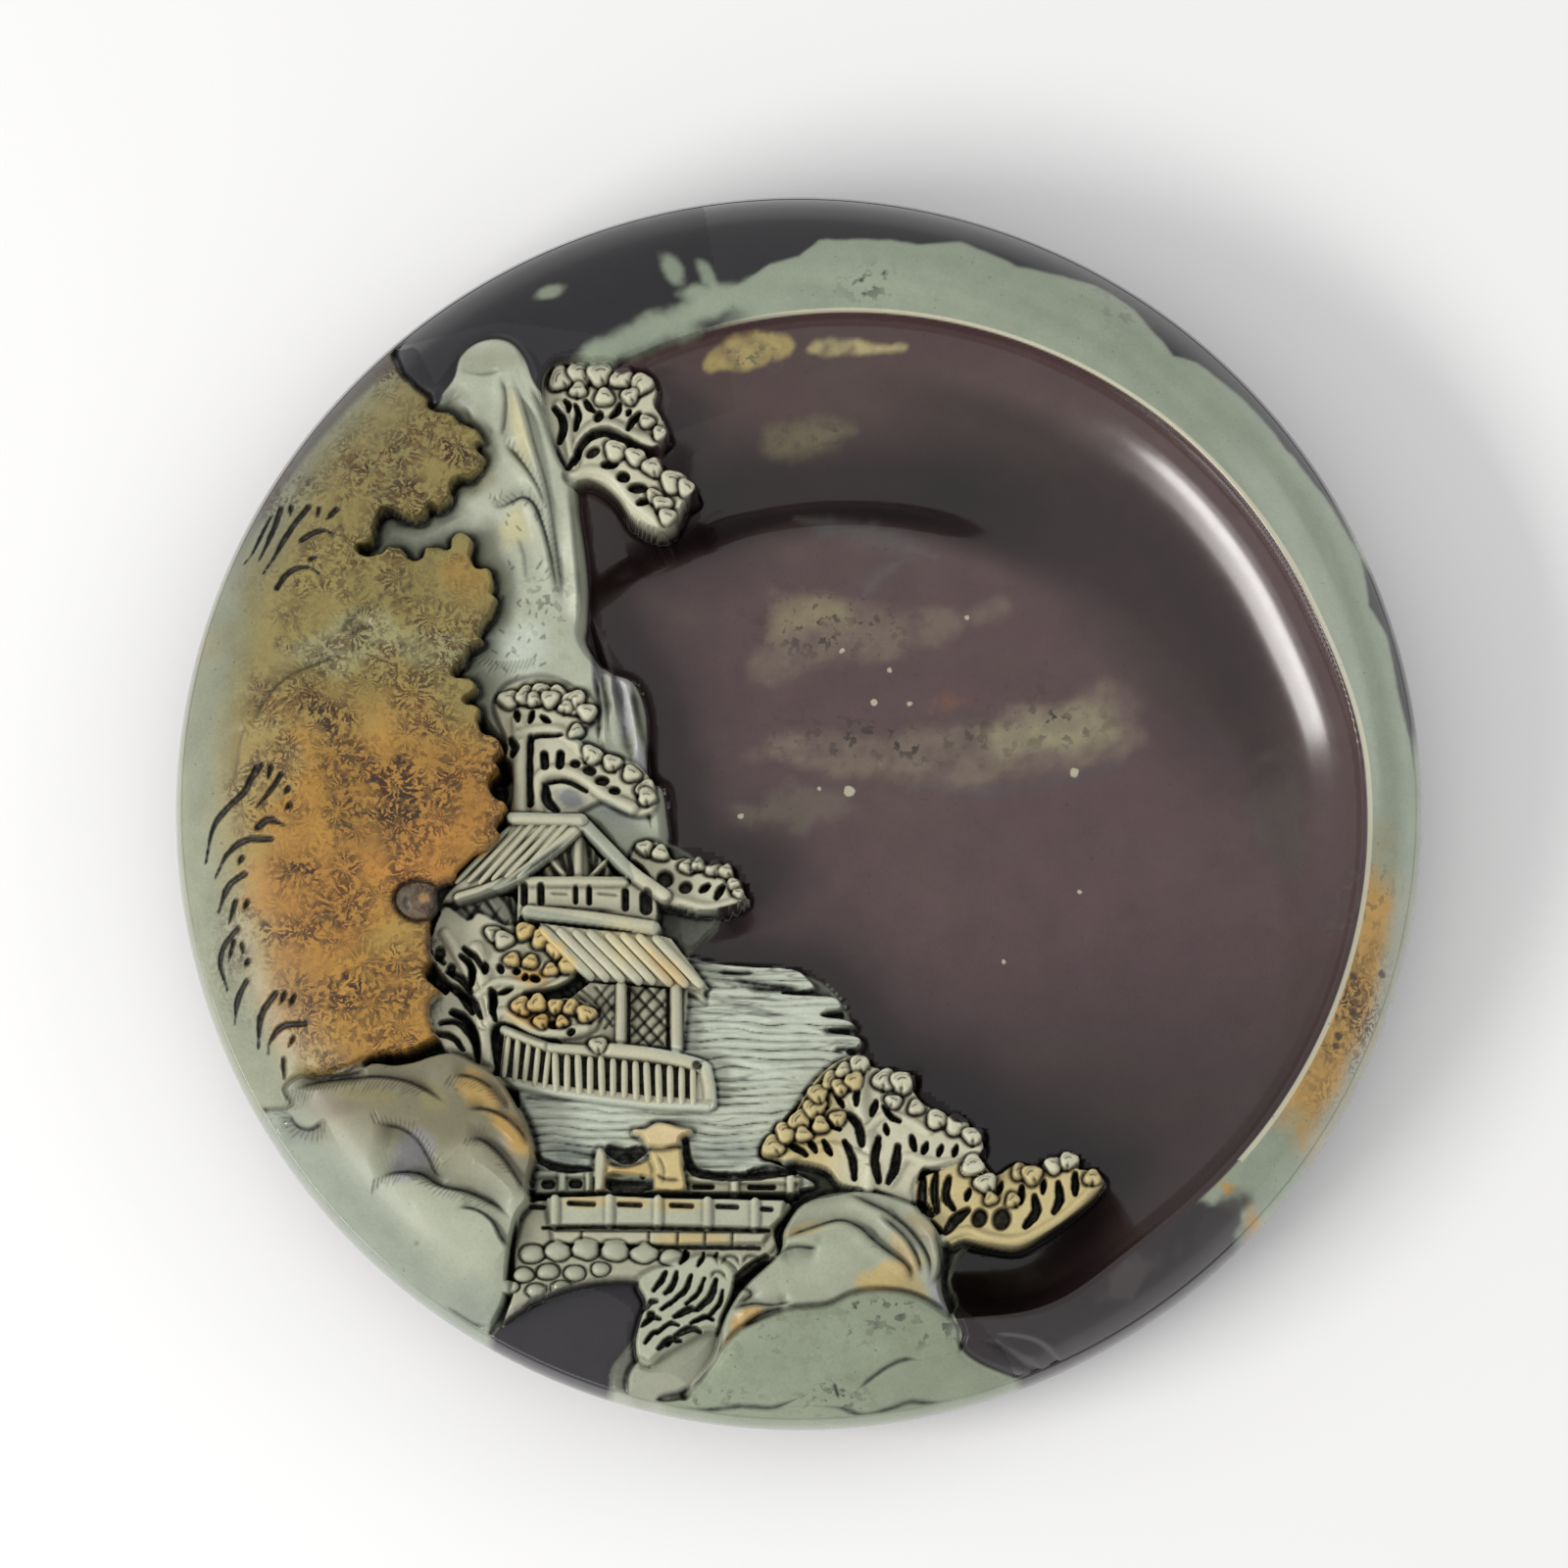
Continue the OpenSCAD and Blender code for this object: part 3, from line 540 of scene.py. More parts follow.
# The purple shoulder at the top and its green clouds
west = smoothstep(94, 101, angle + 1.5 * noise(X, Y, 5.0, 24, 3)) + smoothstep(-150, -160, angle)
paint(ALL, west * outside, PURPLE_TOP * (1 + 0.08 * noise(X, Y, 12.0, 25, 3)[..., None]))
rind = smoothstep(116.5, 121.0, rad) * (1 - green)
paint(ALL, rind * smoothstep(80, 100, angle), PURPLE_EDGE, 0.75)
for k, (x, y, rx, ry, tilted, light, amount, rough, size) in enumerate([
    (-30, 93, 15, 4.6, 22, 1.0, 0.9, 0.45, 7.0), (-18, 98.5, 9, 3.4, 24, 1.0, 0.95, 0.4, 6.0),
    (-40, 89, 7, 4, 30, 0.95, 0.85, 0.4, 5.0), (-50, 102.3, 4.4, 1.9, 20, 0.9, 0.8, 0.35, 4.0),
    (-18, 104.5, 4.6, 1.7, -62, 0.92, 0.85, 0.4, 4.0), (-25.5, 106.5, 5.5, 2.4, -62, 0.92, 0.85, 0.4, 4.0),
    (-21, 101.5, 5, 2.6, 10, 0.95, 0.9, 0.4, 4.0), (-8, 101.5, 8, 3.5, 15, 1.0, 0.95, 0.35, 5.0),
]):
    smudge(x, y, rx, ry, tilted, GREEN * light, amount, rough, 31 + k, size)

# Clouds, mineral patches and specks in the well
def blot(points, colour, amount, rough, size, seed, soft=1.6):
    """A cloudy patch with an outline of its own."""
    pts = loop(points, 4)
    w = window(pts, 3 * soft)
    d = inside(w, pts) + rough * noise(X[w], Y[w], size, seed, 4)
    uneven = np.clip(0.80 + 0.6 * noise(X[w], Y[w], 2.6, seed + 60, 3), 0, 1)
    paint(w, smoothstep(-soft, soft, d) * uneven, colour, amount)


blot([
    (-9.9, 9.1), (-1.9, 14.6), (12.8, 13.8), (27.6, 14.6), (41.1, 17.7), (55.8, 20.5), (60.1, 24.6),
    (63.5, 24.6), (66.9, 19.0), (70.0, 12.8), (65.7, 9.7), (55.8, 7.8), (43.5, 5.3), (31.3, 3.5),
    (21.4, 5.3), (10.4, 5.3), (-0.7, 7.8),
], rgb(120, 106, 92), 0.85, 3.0, 7.0, 41, 1.8)
blot([
    (38.6, 14.6), (48.5, 17.7), (59.5, 19.6), (63.2, 15.3), (60.8, 11.5), (49.7, 10.1), (41.1, 10.9),
], rgb(152, 146, 112), 0.8, 3.0, 5.0, 42, 2.4)
blot([
    (-9.3, 26.4), (-5.0, 40.7), (-0.7, 43.2), (10.4, 40.7), (22.7, 38.8), (33.7, 39.5), (40.8, 40.7),
    (38.6, 37.6), (28.8, 33.3), (19.0, 30.2), (10.4, 28.9), (1.8, 26.4), (-5.6, 23.9),
], rgb(116, 101, 88), 0.8, 3.0, 7.0, 43, 1.8)
blot([
    (-5.6, 35.1), (-2.5, 40.7), (1.8, 41.9), (9.1, 39.5), (10.4, 35.1), (0.5, 33.9),
], rgb(144, 134, 100), 0.7, 3.0, 5.0, 44, 2.4)
wisp([(21.4, 3.9), (38.6, 2.6), (55.8, 5.3), (68.1, 9.1)], 2.2, rgb(82, 78, 80), 0.4, 45)
wisp([(12.8, 41.9), (15.9, 45.7), (20.2, 48.8)], 2.4, rgb(98, 94, 92), 0.4, 46)
wisp([(-0.7, 58.4), (10.4, 55.6), (20.2, 52.5), (27.6, 50.0)], 4.2, rgb(92, 92, 90), 0.45, 47)
smudge(29.6, 20.5, 5, 1.8, 10, rgb(122, 84, 62), 0.45, 0.9, 44, 2.0, 0.9)
smudge(-4.6, -1.5, 17, 5, 6, rgb(108, 98, 84), 0.55, 0.8, 47, 6.0)
# Painted shade on the ledge beside the upper pine
smudge(-22, 76, 13, 12, -60, rgb(54, 52, 57), 0.7, 0.5, 53, 9.0, 0.9)
blot([
    (-8.2, 74.0), (-5.9, 77.2), (1.3, 78.6), (7.8, 78.0), (11.8, 76.0), (6.5, 73.3), (1.3, 71.3),
    (-5.3, 71.3),
], rgb(112, 104, 78), 0.75, 1.6, 5.0, 48, 1.8)
blot([
    (-18.9, 87.4), (-17.7, 90.2), (-13.1, 93.0), (-6.6, 94.1), (-2.0, 93.5), (-1.0, 91.3), (-4.6, 89.3),
    (-9.2, 87.7), (-14.5, 87.2),
], rgb(176, 158, 98), 0.95, 0.7, 3.0, 49, 0.7)
blot([
    (1.9, 91.5), (4.6, 93.1), (10.5, 93.2), (14.4, 92.2), (21.6, 91.7), (14.4, 90.7), (7.8, 90.2),
    (3.2, 90.5),
], rgb(178, 166, 118), 0.95, 0.7, 3.0, 50, 0.7)
smudge(96, -2, 6, 13, 0, rgb(76, 74, 66), 0.4, 0.8, 51, 5.0)
WHITE_SPECKS = [
    (8.6, 30.8, 0.5), (18.2, 26.9, 0.45), (15, 20.3, 0.6), (22.1, 20.1, 0.45), (10.1, 2.4, 1.1),
    (55, 6.2, 0.9), (-11.7, -2.7, 0.55), (33.8, 37.6, 0.4), (4, 3, 0.35), (56, -18, 0.3), (41, -32, 0.4),
]

# Flecks, where the brown fern-like mineral grows in the stone
for x, y, rx, ry, amount in [
    (6, 36, 14, 6, 1.0), (20, 13, 24, 5, 1.0), (50, 17, 10, 5, 1.0), (-11, 89.8, 8, 2, 1.1),
    (1.9, 75.3, 7, 3, 1.0), (14, 103, 5, 4, 0.7), (108, -45, 12, 16, 0.9), (113, -20, 6, 8, 0.5),
    (67, 101, 9, 6, 0.4),
]:
    FLECK[:] = np.maximum(FLECK, amount * bell_at(x, y, rx, ry))

# Dark grains on the rim
for x, y, r in [
    (110, -36, 0.9), (116, -35, 0.8), (110, -43, 1.1), (107, -48, 1.0), (106.5, -50, 0.7), (113, -46, 0.5),
    (12.5, 104, 0.5), (15, 102.5, 0.4), (13, 101, 0.35), (17, 105.5, 0.35),
]:
    speck(x, y, r, rgb(52, 44, 38), 0.9)

# The ground of the scene is cut down first, and is painted dark as shade, with ink, where it shows between
# the masses
SCENE = [
    (-68, 2), (-48, 2), (-40, 0), (-30, -6), (-20, -12), (-16, -24), (-22, -31), (-10, -34), (2, -35),
    (9, -41), (14, -55), (25, -66), (43, -79), (38, -85), (33, -90), (30, -96), (30, -104), (10, -118),
    (-30, -124), (-70, -104), (-84, -70), (-86, -40), (-80, -20),
]


def lay_ground():
    """Sinks the scene's ground and colours it a darker green, as painted shade."""
    pts = loop(SCENE, 4)
    w = window(pts, 3.0)
    d = inside(w, pts)
    m = smoothstep(-0.15, 0.8, d)
    Z[w] = Z[w] * (1 - m) + np.minimum(BLANK[w], GROUND + 1.0) * m
    paint(w, smoothstep(-0.3, 0.5, d), CLIFF * 0.8)
    darken(w, 0.6 * smoothstep(0.0, 0.8, d))
    COVER[w] = np.maximum(COVER[w], smoothstep(-0.1, 0.4, d))


lay_ground()

# The cliff: a tall fold of rock whose flutes run down to the well
CLIFF_EDGE = [
    (-73.8, 77.9), (-71.3, 81.2), (-69, 84.5), (-67.9, 88.8), (-64.8, 91.7), (-60.7, 92.5), (-57.2, 91.1),
    (-54.7, 87.5), (-53, 83), (-50.2, 79.4), (-48.5, 75.4), (-47.2, 69.8), (-44.4, 64.2), (-43.9, 58.7),
    (-42.9, 51.6), (-42.2, 44), (-42.4, 36.4), (-42.4, 31.8), (-38.3, 26.7), (-33.3, 24.6), (-30.8, 19.1),
    (-30.3, 12.5), (-30.2, 5.4), (-27.4, 2.9), (-26.4, -2.7), (-26, -7.8), (-28, -11.8), (-35.3, -12.8),
    (-43.3, -4.7), (-58.4, -4.7), (-58.4, 7.4), (-65.9, 17.5), (-70.4, 24.6), (-84, 20), (-92, 50),
    (-90, 70),
]
before = Z.copy()
w, d = mass(CLIFF_EDGE, lambda w, d: np.minimum(BLANK[w], 29.5), 1.2, 0.3, colour=CLIFF, ink=0.3)
spine = curve([
    (-61.2, 91.1), (-57.7, 85.5), (-56.2, 80.4), (-55.2, 74.4), (-53.2, 68.8), (-51.2, 61.7), (-50.2, 56.6),
    (-49.2, 48.5), (-48.2, 40.4), (-46.7, 31.8),
], 6)
ds, ts = nearest(w, spine)
crest = 34.8 - 3.2 * ts - 0.055 * ds ** 1.45
face = smooth_max(crest, 28.6, 2.0)
keep = smoothstep(-0.2, 2.2, d)
foot = before[w] - 0.9 * bell(d, 1.2)
Z[w] = foot + (np.minimum(face, BLANK[w]) - foot) * keep ** 0.6
LEDGE = [
    (-62.2, 60.2), (-60, 58.5), (-57.5, 59.4), (-55.2, 60.3), (-53.1, 58.9), (-51.5, 55.3), (-50, 50),
    (-48.9, 44.6), (-47.9, 38.8),
]
STEP = [(-59.3, 71.5), (-56.2, 68.1), (-53.4, 64.3), (-51.5, 60.7), (-50.4, 56.8)]
rib([(-67.4, 81.6), (-64.7, 87), (-61.1, 88.8), (-57.5, 86.1), (-55.7, 81.6)], 7, 1.0)
rib([(-57.5, 81.6), (-54, 70.8), (-51.3, 60.9), (-49.5, 51.8), (-48.1, 41)], 4.5, 1.3, "both")
rib([(-45.5, 59.1), (-44.6, 48.2), (-43.9, 39.2), (-42.3, 32)], 3.4, 1.0, "both")
rib([(-64.7, 73.5), (-62, 65.4), (-62.9, 61.8)], 9, 0.8)
rib([(-58.4, 44.6), (-54.8, 37.4), (-54, 30.2)], 11, 0.9)
fold([(-68.3, 86.6), (-65.6, 85.1), (-62, 85.1), (-58.9, 86.1)], 2.2, 0.5, 1.0, 0.35)
fold([(-59.8, 84.8), (-58.6, 80.7), (-58.8, 75.8), (-59.5, 71.5)], 2.6, 0.8, 1.0, 0.45)
fold([
    (-58.2, 86.1), (-56.1, 81.6), (-54.3, 76.2), (-52.9, 70.8), (-51.1, 64.9), (-49.8, 59.1), (-48.9, 52.8),
    (-47.9, 45.5), (-47, 37.4),
], 2.0, 1.0, 1.0, 0.6)
fold([(-54.1, 83.4), (-52, 78.9), (-49.5, 72.2), (-47, 65.4)], 1.8, 0.8, 1.0, 0.5)
fold(STEP, 2.4, 1.0, 1.0, 0.6)
fold(LEDGE, 2.2, 1.2, 1.0, 0.85)
fold([(-45.9, 63.6), (-45, 54.6), (-44.1, 44.6), (-43.1, 36.5)], 1.4, 0.7, 1.0, 0.45)
fold([(-66.9, 78.9), (-65.6, 73.5), (-64.7, 68.1)], 3.0, 0.7, -1.0, 0.3)
fold([(-56.2, 52.8), (-54.7, 48.2), (-54.3, 42.8)], 2.0, 0.4, 1.0, 0.25)
for pts, k in [
    ([(-42.2, 36.5), (-40.7, 31.5), (-39.5, 26.1), (-38.6, 19.8), (-38.2, 13.5)], 1.6),
    ([(-37.2, 26.1), (-35.7, 20.3), (-34.7, 14), (-33.4, 6.3)], 2.2),
    ([(-33.4, 23), (-32, 16.7), (-30.9, 9.9)], 1.4),
    ([(-40.7, 24.8), (-39.8, 18.5), (-40, 11.2)], 1.2),
    ([(-30.7, 14), (-29.4, 4.9), (-28.2, -2.3)], 1.4),
    ([(-32.5, 4.9), (-30.7, -0.5), (-29.4, -5.9)], 1.2),
]:
    cut(pts, k, 1.2, 0.7)
for pts, k in [
    ([(-41.4, 37.4), (-39.2, 30.2), (-37.4, 23), (-36.3, 15.8)], 1.8),
    ([(-34.7, 23), (-33, 15.8), (-31.8, 8.5)], 1.6),
    ([(-39.7, 23), (-39.1, 15.8), (-38.6, 8.5)], 1.4),
]:
    rib(pts, k, 0.9, "both")
hatch(LEDGE[:-1], 1.0, 2.2, 1.1, 0.3, 3)
hatch(STEP[:-1], 1.0, 2.0, 1.2, 0.25, 4)
hatch([(-66.5, 32), (-62.9, 28.4), (-58.4, 27.5), (-52.2, 27.9)], -1.0, 3.0, 0.8, 0.35, 5)
scratch = np.random.default_rng(41)
for k in range(46):
    x, y = -60.7 + 10.5 * scratch.random(), 62 - 40 * scratch.random()
    if abs(y - 50) > 3:
        end = (x + 0.9 * scratch.normal(), y + 0.8 + 0.8 * scratch.random())
        cut([(x, y), end], 0.42, 0.15, 0.6, "both", 2)
stone_here = TINT[w].copy()
# Lilac streaks are painted highlights on the flutes' ridges and plum ones painted shade in the grooves
# between them; the two dark greys on the cliff's left are painted shade beside the bank's edge
LILAC_HIGHLIGHT = rgb(212, 210, 218)
PLUM_SHADE = rgb(78, 72, 88)
for x, y, rx, ry, a, tone in [
    (-39.2, 30.2, 1.6, 7, 8, LILAC_HIGHLIGHT),
    (-34.7, 17.6, 2.2, 9, 8, LILAC_HIGHLIGHT),
    (-31.6, 8.5, 1.6, 6, 8, LILAC_HIGHLIGHT),
    (-37, 4.9, 1.8, 6, 8, LILAC_HIGHLIGHT),
    (-36.8, 23, 1.0, 8, 6, PLUM_SHADE),
    (-40.7, 25.7, 1.0, 8, 6, PLUM_SHADE),
    (-32.7, 18.5, 0.9, 6, 8, PLUM_SHADE),
    (-56.2, 30.2, 9, 7, 10, rgb(196, 204, 190)),
    (-45.9, 44.6, 2.4, 14, 5, rgb(200, 204, 184)),
    (-65.6, 69, 6, 12, 10, rgb(154, 152, 122)),
    (-56.2, 74.4, 2.6, 9, 15, rgb(196, 190, 148)),
    (-57.1, 53.7, 5, 5, 0, rgb(198, 190, 146)),
    (-61.1, 87.9, 8, 4, 0, rgb(154, 158, 136)),
    (-71.4, 80.7, 6, 3, -20, rgb(122, 124, 110)),
    (-71.4, 57.3, 6, 3, 0, rgb(112, 116, 106)),
    (-37.9, -2.3, 8, 3.5, -30, rgb(168, 174, 168)),
    (-48.6, -0.5, 4, 2, -10, rgb(120, 124, 120)),
]:
    smudge(x, y, rx, ry, a, tone, 0.8, 0.45, int(abs(3 * x + y)), 4.0, 0.8)
m = smoothstep(-0.05, 0.35, d)[..., None]
TINT[w] = stone_here * (1 - m) + TINT[w] * m
FLECK[w] = np.maximum(FLECK[w], 0.8 * bell_at(-50, 37, 5, 9, w))

# The left bank: its inner edge is cut into small uneven lobes that stand over a dark undercut
BANK_EDGE = [
    (-76.5, 82), (-74.4, 80.3), (-74.1, 78.4), (-72, 77.7), (-69.4, 77.2), (-68.1, 75.7), (-66.8, 74.7),
    (-64.5, 73.7), (-62.9, 71.2), (-64.4, 70.1), (-62.6, 67.6), (-63.4, 65.6), (-65.6, 63.8), (-68.1, 63.6),
    (-69.4, 62.1), (-69.4, 59.5), (-71.6, 58), (-73.8, 58), (-75, 55.9), (-78.8, 56.2), (-81.4, 57.4),
    (-83.4, 56.8), (-84.6, 54.2), (-85.1, 50.9), (-87.9, 49.8), (-86.7, 48.4), (-83.7, 48.7), (-81.9, 50.1),
    (-79.2, 49.7), (-77.4, 47.7), (-75.6, 47.8), (-74.7, 49.7), (-72, 50.1), (-69.9, 49.7), (-69.3, 51.9),
    (-67.1, 53), (-65, 51.3), (-65.4, 47.9), (-64.1, 45.9), (-61.7, 45.3), (-60.8, 43.3), (-61.1, 40.7),
    (-60, 39.2), (-61.1, 36.2), (-62.6, 34.5), (-63.6, 32.2), (-62.9, 30.9), (-65.6, 29.3), (-66.6, 27.1),
    (-68.9, 24.2), (-65.3, 23.4), (-64.1, 21), (-66.3, 18.7), (-63.4, 17.6), (-63.6, 14.6), (-62.6, 12.6),
    (-59.7, 11.4), (-58.5, 8.6), (-60.2, 6.8), (-59.1, 5.2), (-61.4, 2.3), (-60.5, -0.3), (-57.9, -1.8),
    (-58.1, -4.1), (-59.7, -6.4), (-59, -8.9), (-61.1, -11.7), (-63.7, -12.4), (-65.7, -14.2),
    (-67.4, -15.5), (-68.6, -18), (-70.7, -19.2), (-73.2, -26.7), (-71.4, -28.9), (-72.8, -31.1),
    (-71.4, -32.7), (-74.1, -35.5), (-72.3, -38.2), (-69.9, -40.2), (-70.2, -42.6), (-68.7, -44.5),
    (-70.7, -47.1), (-70.2, -48.8), (-73.4, -50), (-76.8, -51.8), (-82.8, -52.3),
]
BANK_REST = [(-88, -55), (-103, -63), (-140, -66), (-140, 92), (-82, 92), (-80, 86)]
outline = np.vstack([curve(BANK_EDGE, 4), BANK_REST])
w = window(np.clip(outline, -126, 126), 4.0)
d = inside(w, outline)
d += 0.32 * noise(X[w], Y[w], 1.9, 70, 2) * bell(d, 1.5)
open_side = smoothstep(-96, -90, X[w])
m = smoothstep(-0.15, 0.7, d)
notch = smoothstep(0.42, 0.66, blur((d > 0).astype(float), 1.5))
gap = bell(d + 0.45, 0.55) * open_side
Z[w] -= (1.2 + 2.6 * notch) * gap + 1.0 * open_side * bell(d, 2.6)
Z[w] = Z[w] * (1 - m) + (BLANK[w] - 0.25 * np.exp(-np.maximum(d, 0) / 1.2)) * m
shade = bell(np.minimum(d, 0), 3.2) * (d < 0.2) * open_side
darken(w, (0.35 + 0.62 * notch) * gap)
darken(w, 0.42 * shade * (0.7 + 0.3 * noise(X[w], Y[w], 3.0, 69, 2)))
INK_AND_SHADE[w] *= 1 - smoothstep(0.0, 0.45, d)
bank = np.zeros_like(Z)
bank[w] = smoothstep(-0.2, 0.25, d)
COVER[w] = np.maximum(COVER[w], bank[w])

# Its colours: olive above, ochre below, orange at the heart and pale green at the outer edge
north = smoothstep(6, 26, Y[w] + 7 * noise(X[w], Y[w], 16.0, 71, 3))[..., None]
tone = rgb(152, 144, 98) * north + rgb(172, 134, 72) * (1 - north)
tone = tone * (1 + 0.16 * noise(X[w], Y[w], 9.0, 71, 4)[..., None])
paint(w, bank[w], tone)
out = smoothstep(110, 120, rad[w] + 2.5 * noise(X[w], Y[w], 12.0, 72, 4) - 3.0 * smoothstep(30, 60, Y[w]))
paint(
    w,
    bank[w] * smoothstep(102, 113, rad[w] + 3.0 * noise(X[w], Y[w], 9.0, 73, 4)) * 0.8,
    rgb(152, 144, 102),
)
paint(w, bank[w] * out, rgb(150, 154, 130))
FLECK[w] = np.maximum(
    FLECK[w],
    0.65 * bank[w] * smoothstep(117, 107, rad[w] + 4.0 * noise(X[w], Y[w], 8.0, 75, 3)),
)
top_left = smoothstep(-1.0, 1.0, rad[w] - 120.5 - 0.10 * (angle[w] - 140))
top_left = top_left * smoothstep(160, 148, angle[w]) * (angle[w] > 90)
paint(w, bank[w] * top_left, rgb(92, 88, 86), 0.9)
HUES = [
    (-75.4, -14.5, 14, 9, 25, ORANGE, 0.9),
    (-96.4, -24.6, 12, 16, 10, rgb(172, 128, 72), 0.7),
    (-66.8, -4.3, 8, 12, 10, rgb(174, 130, 70), 0.8),
    (-96.4, 16.9, 12, 5, 15, rgb(158, 138, 88), 0.6),
    (-101.9, -37.3, 7, 12, 0, rgb(160, 122, 72), 0.6),
    (-73.8, 64.2, 7, 8, 20, rgb(158, 146, 96), 0.8),
    (-80.3, 68.8, 9, 14, 0, rgb(148, 142, 104), 0.8),
    (-88.4, 30.6, 13, 6, 12, rgb(168, 170, 142), 0.85),
    (-74.3, 28.6, 10, 4, 0, rgb(166, 168, 136), 0.8),
    (-106.9, 7.3, 8, 8, 60, rgb(160, 150, 110), 0.7),
    (-81.9, -29.7, 8, 5, 20, rgb(164, 144, 88), 0.6),
    (-108, 42, 5, 12, 20, rgb(152, 142, 100), 0.6),
    (-68.8, 44, 6, 7, 0, rgb(170, 140, 80), 0.7),
    (-117, 31.6, 5, 9, 75, rgb(152, 148, 112), 0.6),
    (-74.3, -36.3, 7, 7, 0, rgb(170, 140, 84), 0.8),
    (-79.4, -7.9, 12, 6, 15, rgb(158, 118, 70), 0.6),
]
FERNS = [
    (-93.4, 16.4, 13, 8, 1.0), (-79.4, 1.2, 18, 15, 1.0), (-71.8, 13.4, 10, 10, 0.8),
    (-99.4, -17, 11, 10, 0.95), (-105.4, -29.7, 9, 13, 1.0), (-93.4, -39.8, 14, 8, 1.0),
    (-75.4, -41.3, 11, 7, 0.9), (-69.3, 68.8, 9, 7, 0.95), (-75.8, 62.7, 8, 6, 0.9),
    (-69.8, 41.4, 10, 8, 0.95), (-78.3, 85, 9, 7, 0.8), (-104, 66, 12, 10, 0.85), (-73.8, 31.3, 10, 7, 0.8),
    (-100, 42, 9, 8, 0.6), (-84, 68, 11, 9, 0.85), (-74.3, -14.5, 9, 8, 0.5),
]


def stained(w, mask, hues, ferns, rough, size):
    """Stains of other colours and brown ferns, kept inside one mass."""
    before = TINT[w].copy()
    for x, y, rx, ry, turned, colour, amount in hues:
        smudge(x, y, rx, ry, turned, colour, amount, rough, int(abs(x * 7 + y)), size)
    TINT[w] = before * (1 - mask[..., None]) + TINT[w] * mask[..., None]
    for x, y, rx, ry, amount in ferns:
        FLECK[w] = np.maximum(FLECK[w], amount * mask * bell_at(x, y, rx, ry, w))


stained(w, bank[w], HUES, FERNS, 0.7, 7.0)
richer = bank[w] * smoothstep(119, 108, rad[w])
TINT[w] *= 1 - richer[..., None] * np.array([0.0, 0.08, 0.32])
TINT[w] *= 1 - bank[w][..., None] * (0.14 - 0.14 * richer + 0.14 * smoothstep(-5, 30, Y[w]))[..., None]

# The roundel at the left end of the pavilion's roof
mass(
    [
        (-75.5, -17.9), (-72.6, -18.7), (-71.1, -21.4), (-72.1, -24.1), (-75.5, -25.4), (-78.7, -24.1),
        (-80, -21.4), (-78.5, -18.7),
    ],
    lambda w, d: 35.8 - 0.06 * ((X[w] + 75.5) ** 2 + (Y[w] + 21.6) ** 2),
    0.8,
    1.6,
    colour=rgb(104, 94, 78),
    ink=1.0,
)
smudge(-74.2, -21.2, 1.5, 1.2, 0, rgb(190, 148, 92), 0.8, 0.3, 74, 2.0)
cut([(-77.5, -20.2), (-78.1, -22.1), (-77.1, -23.7)], 0.8, 0.5, 0.7)

# Bare twigs and grass cut into the bank with single tool strokes
for pts, k in [
    ([(-103.7, 59), (-104.9, 55.1), (-106.5, 51.3), (-107.9, 48.3)], 1.5),
    ([(-98.1, 58.5), (-100.2, 55.9), (-102.8, 52.1), (-104.9, 48.3), (-106.9, 45.4)], 1.6),
    ([(-101.7, 59), (-101.7, 57)], 1.1),
    ([(-95.9, 58), (-96.2, 56)], 1.1),
    ([(-92.4, 57.5), (-94.2, 55.7)], 1.6),
    ([(-99.2, 51.5), (-97.2, 52.8), (-95.1, 53.3), (-92.9, 52.5)], 1.5),
    ([(-104.1, 41.9), (-102.4, 44.4), (-99.8, 45.8), (-97.4, 45.6), (-95.7, 44.4)], 1.5),
    ([(-97.5, 47.4), (-96.2, 47.9)], 1.3),
    ([(-105.8, 57.4), (-107.7, 53.6), (-109.5, 49.8), (-111, 48.1)], 0.8),
    ([(-108, 5.2), (-110.2, 0.6), (-113.6, -2.4), (-116.6, -6.2), (-118.1, -12.9)], 1.6),
    ([(-106.8, 5.9), (-108.2, 3.3)], 1.1),
    ([(-104.9, 5.3), (-105.5, 3)], 1.2),
    ([(-102.9, 3.8), (-104.6, 1), (-107.7, -2.6)], 1.5),
    ([(-101.4, 0.9), (-102.2, -0.3)], 1.5),
    ([(-101, -2.3), (-101.9, -3.3)], 1.5),
    ([(-107.4, -6.7), (-105.2, -5.3), (-102.2, -6.4)], 1.9),
    ([(-104.7, -9.2), (-109.8, -9.2), (-113.6, -11.7), (-116.1, -16.2)], 1.6),
    ([(-110.6, -12.6), (-111.3, -13.8)], 1.4),
    ([(-110.1, -15.9), (-113.4, -18.2), (-115.4, -23)], 1.6),
    ([(-111.9, -21.2), (-113.1, -25.2)], 1.3),
    ([(-109.5, -21.4), (-110.1, -22.9)], 1.2),
    ([(-111.5, -26.7), (-114.2, -29.7), (-115.1, -32.9), (-114.2, -36.5), (-113.7, -38.5)], 1.4),
    ([(-112.2, -28.9), (-113.4, -33.1)], 1.0),
    ([(-109.7, -37.1), (-111.5, -40.5), (-112.2, -45)], 1.5),
    ([(-110.6, -29.7), (-110.3, -31.4)], 1.1),
    ([(-109.4, -33.1), (-109.8, -34.2)], 1.2),
    ([(-103.8, -39.9), (-106.7, -44.1), (-107.3, -50.3)], 1.6),
    ([(-101.9, -39.9), (-102.8, -42)], 1.3),
    ([(-99.9, -40.5), (-100.8, -42.4)], 1.3),
    ([(-97.7, -46), (-102.3, -46.4), (-104.9, -49.2), (-105.3, -51.5)], 1.6),
    ([(-102.2, -52.8), (-102, -56.6)], 1.1),
    ([(-100.1, -48.6), (-101, -50.2)], 1.0),
]:
    gash(pts, 0.72 * k, 1.0, 1.0, "last")
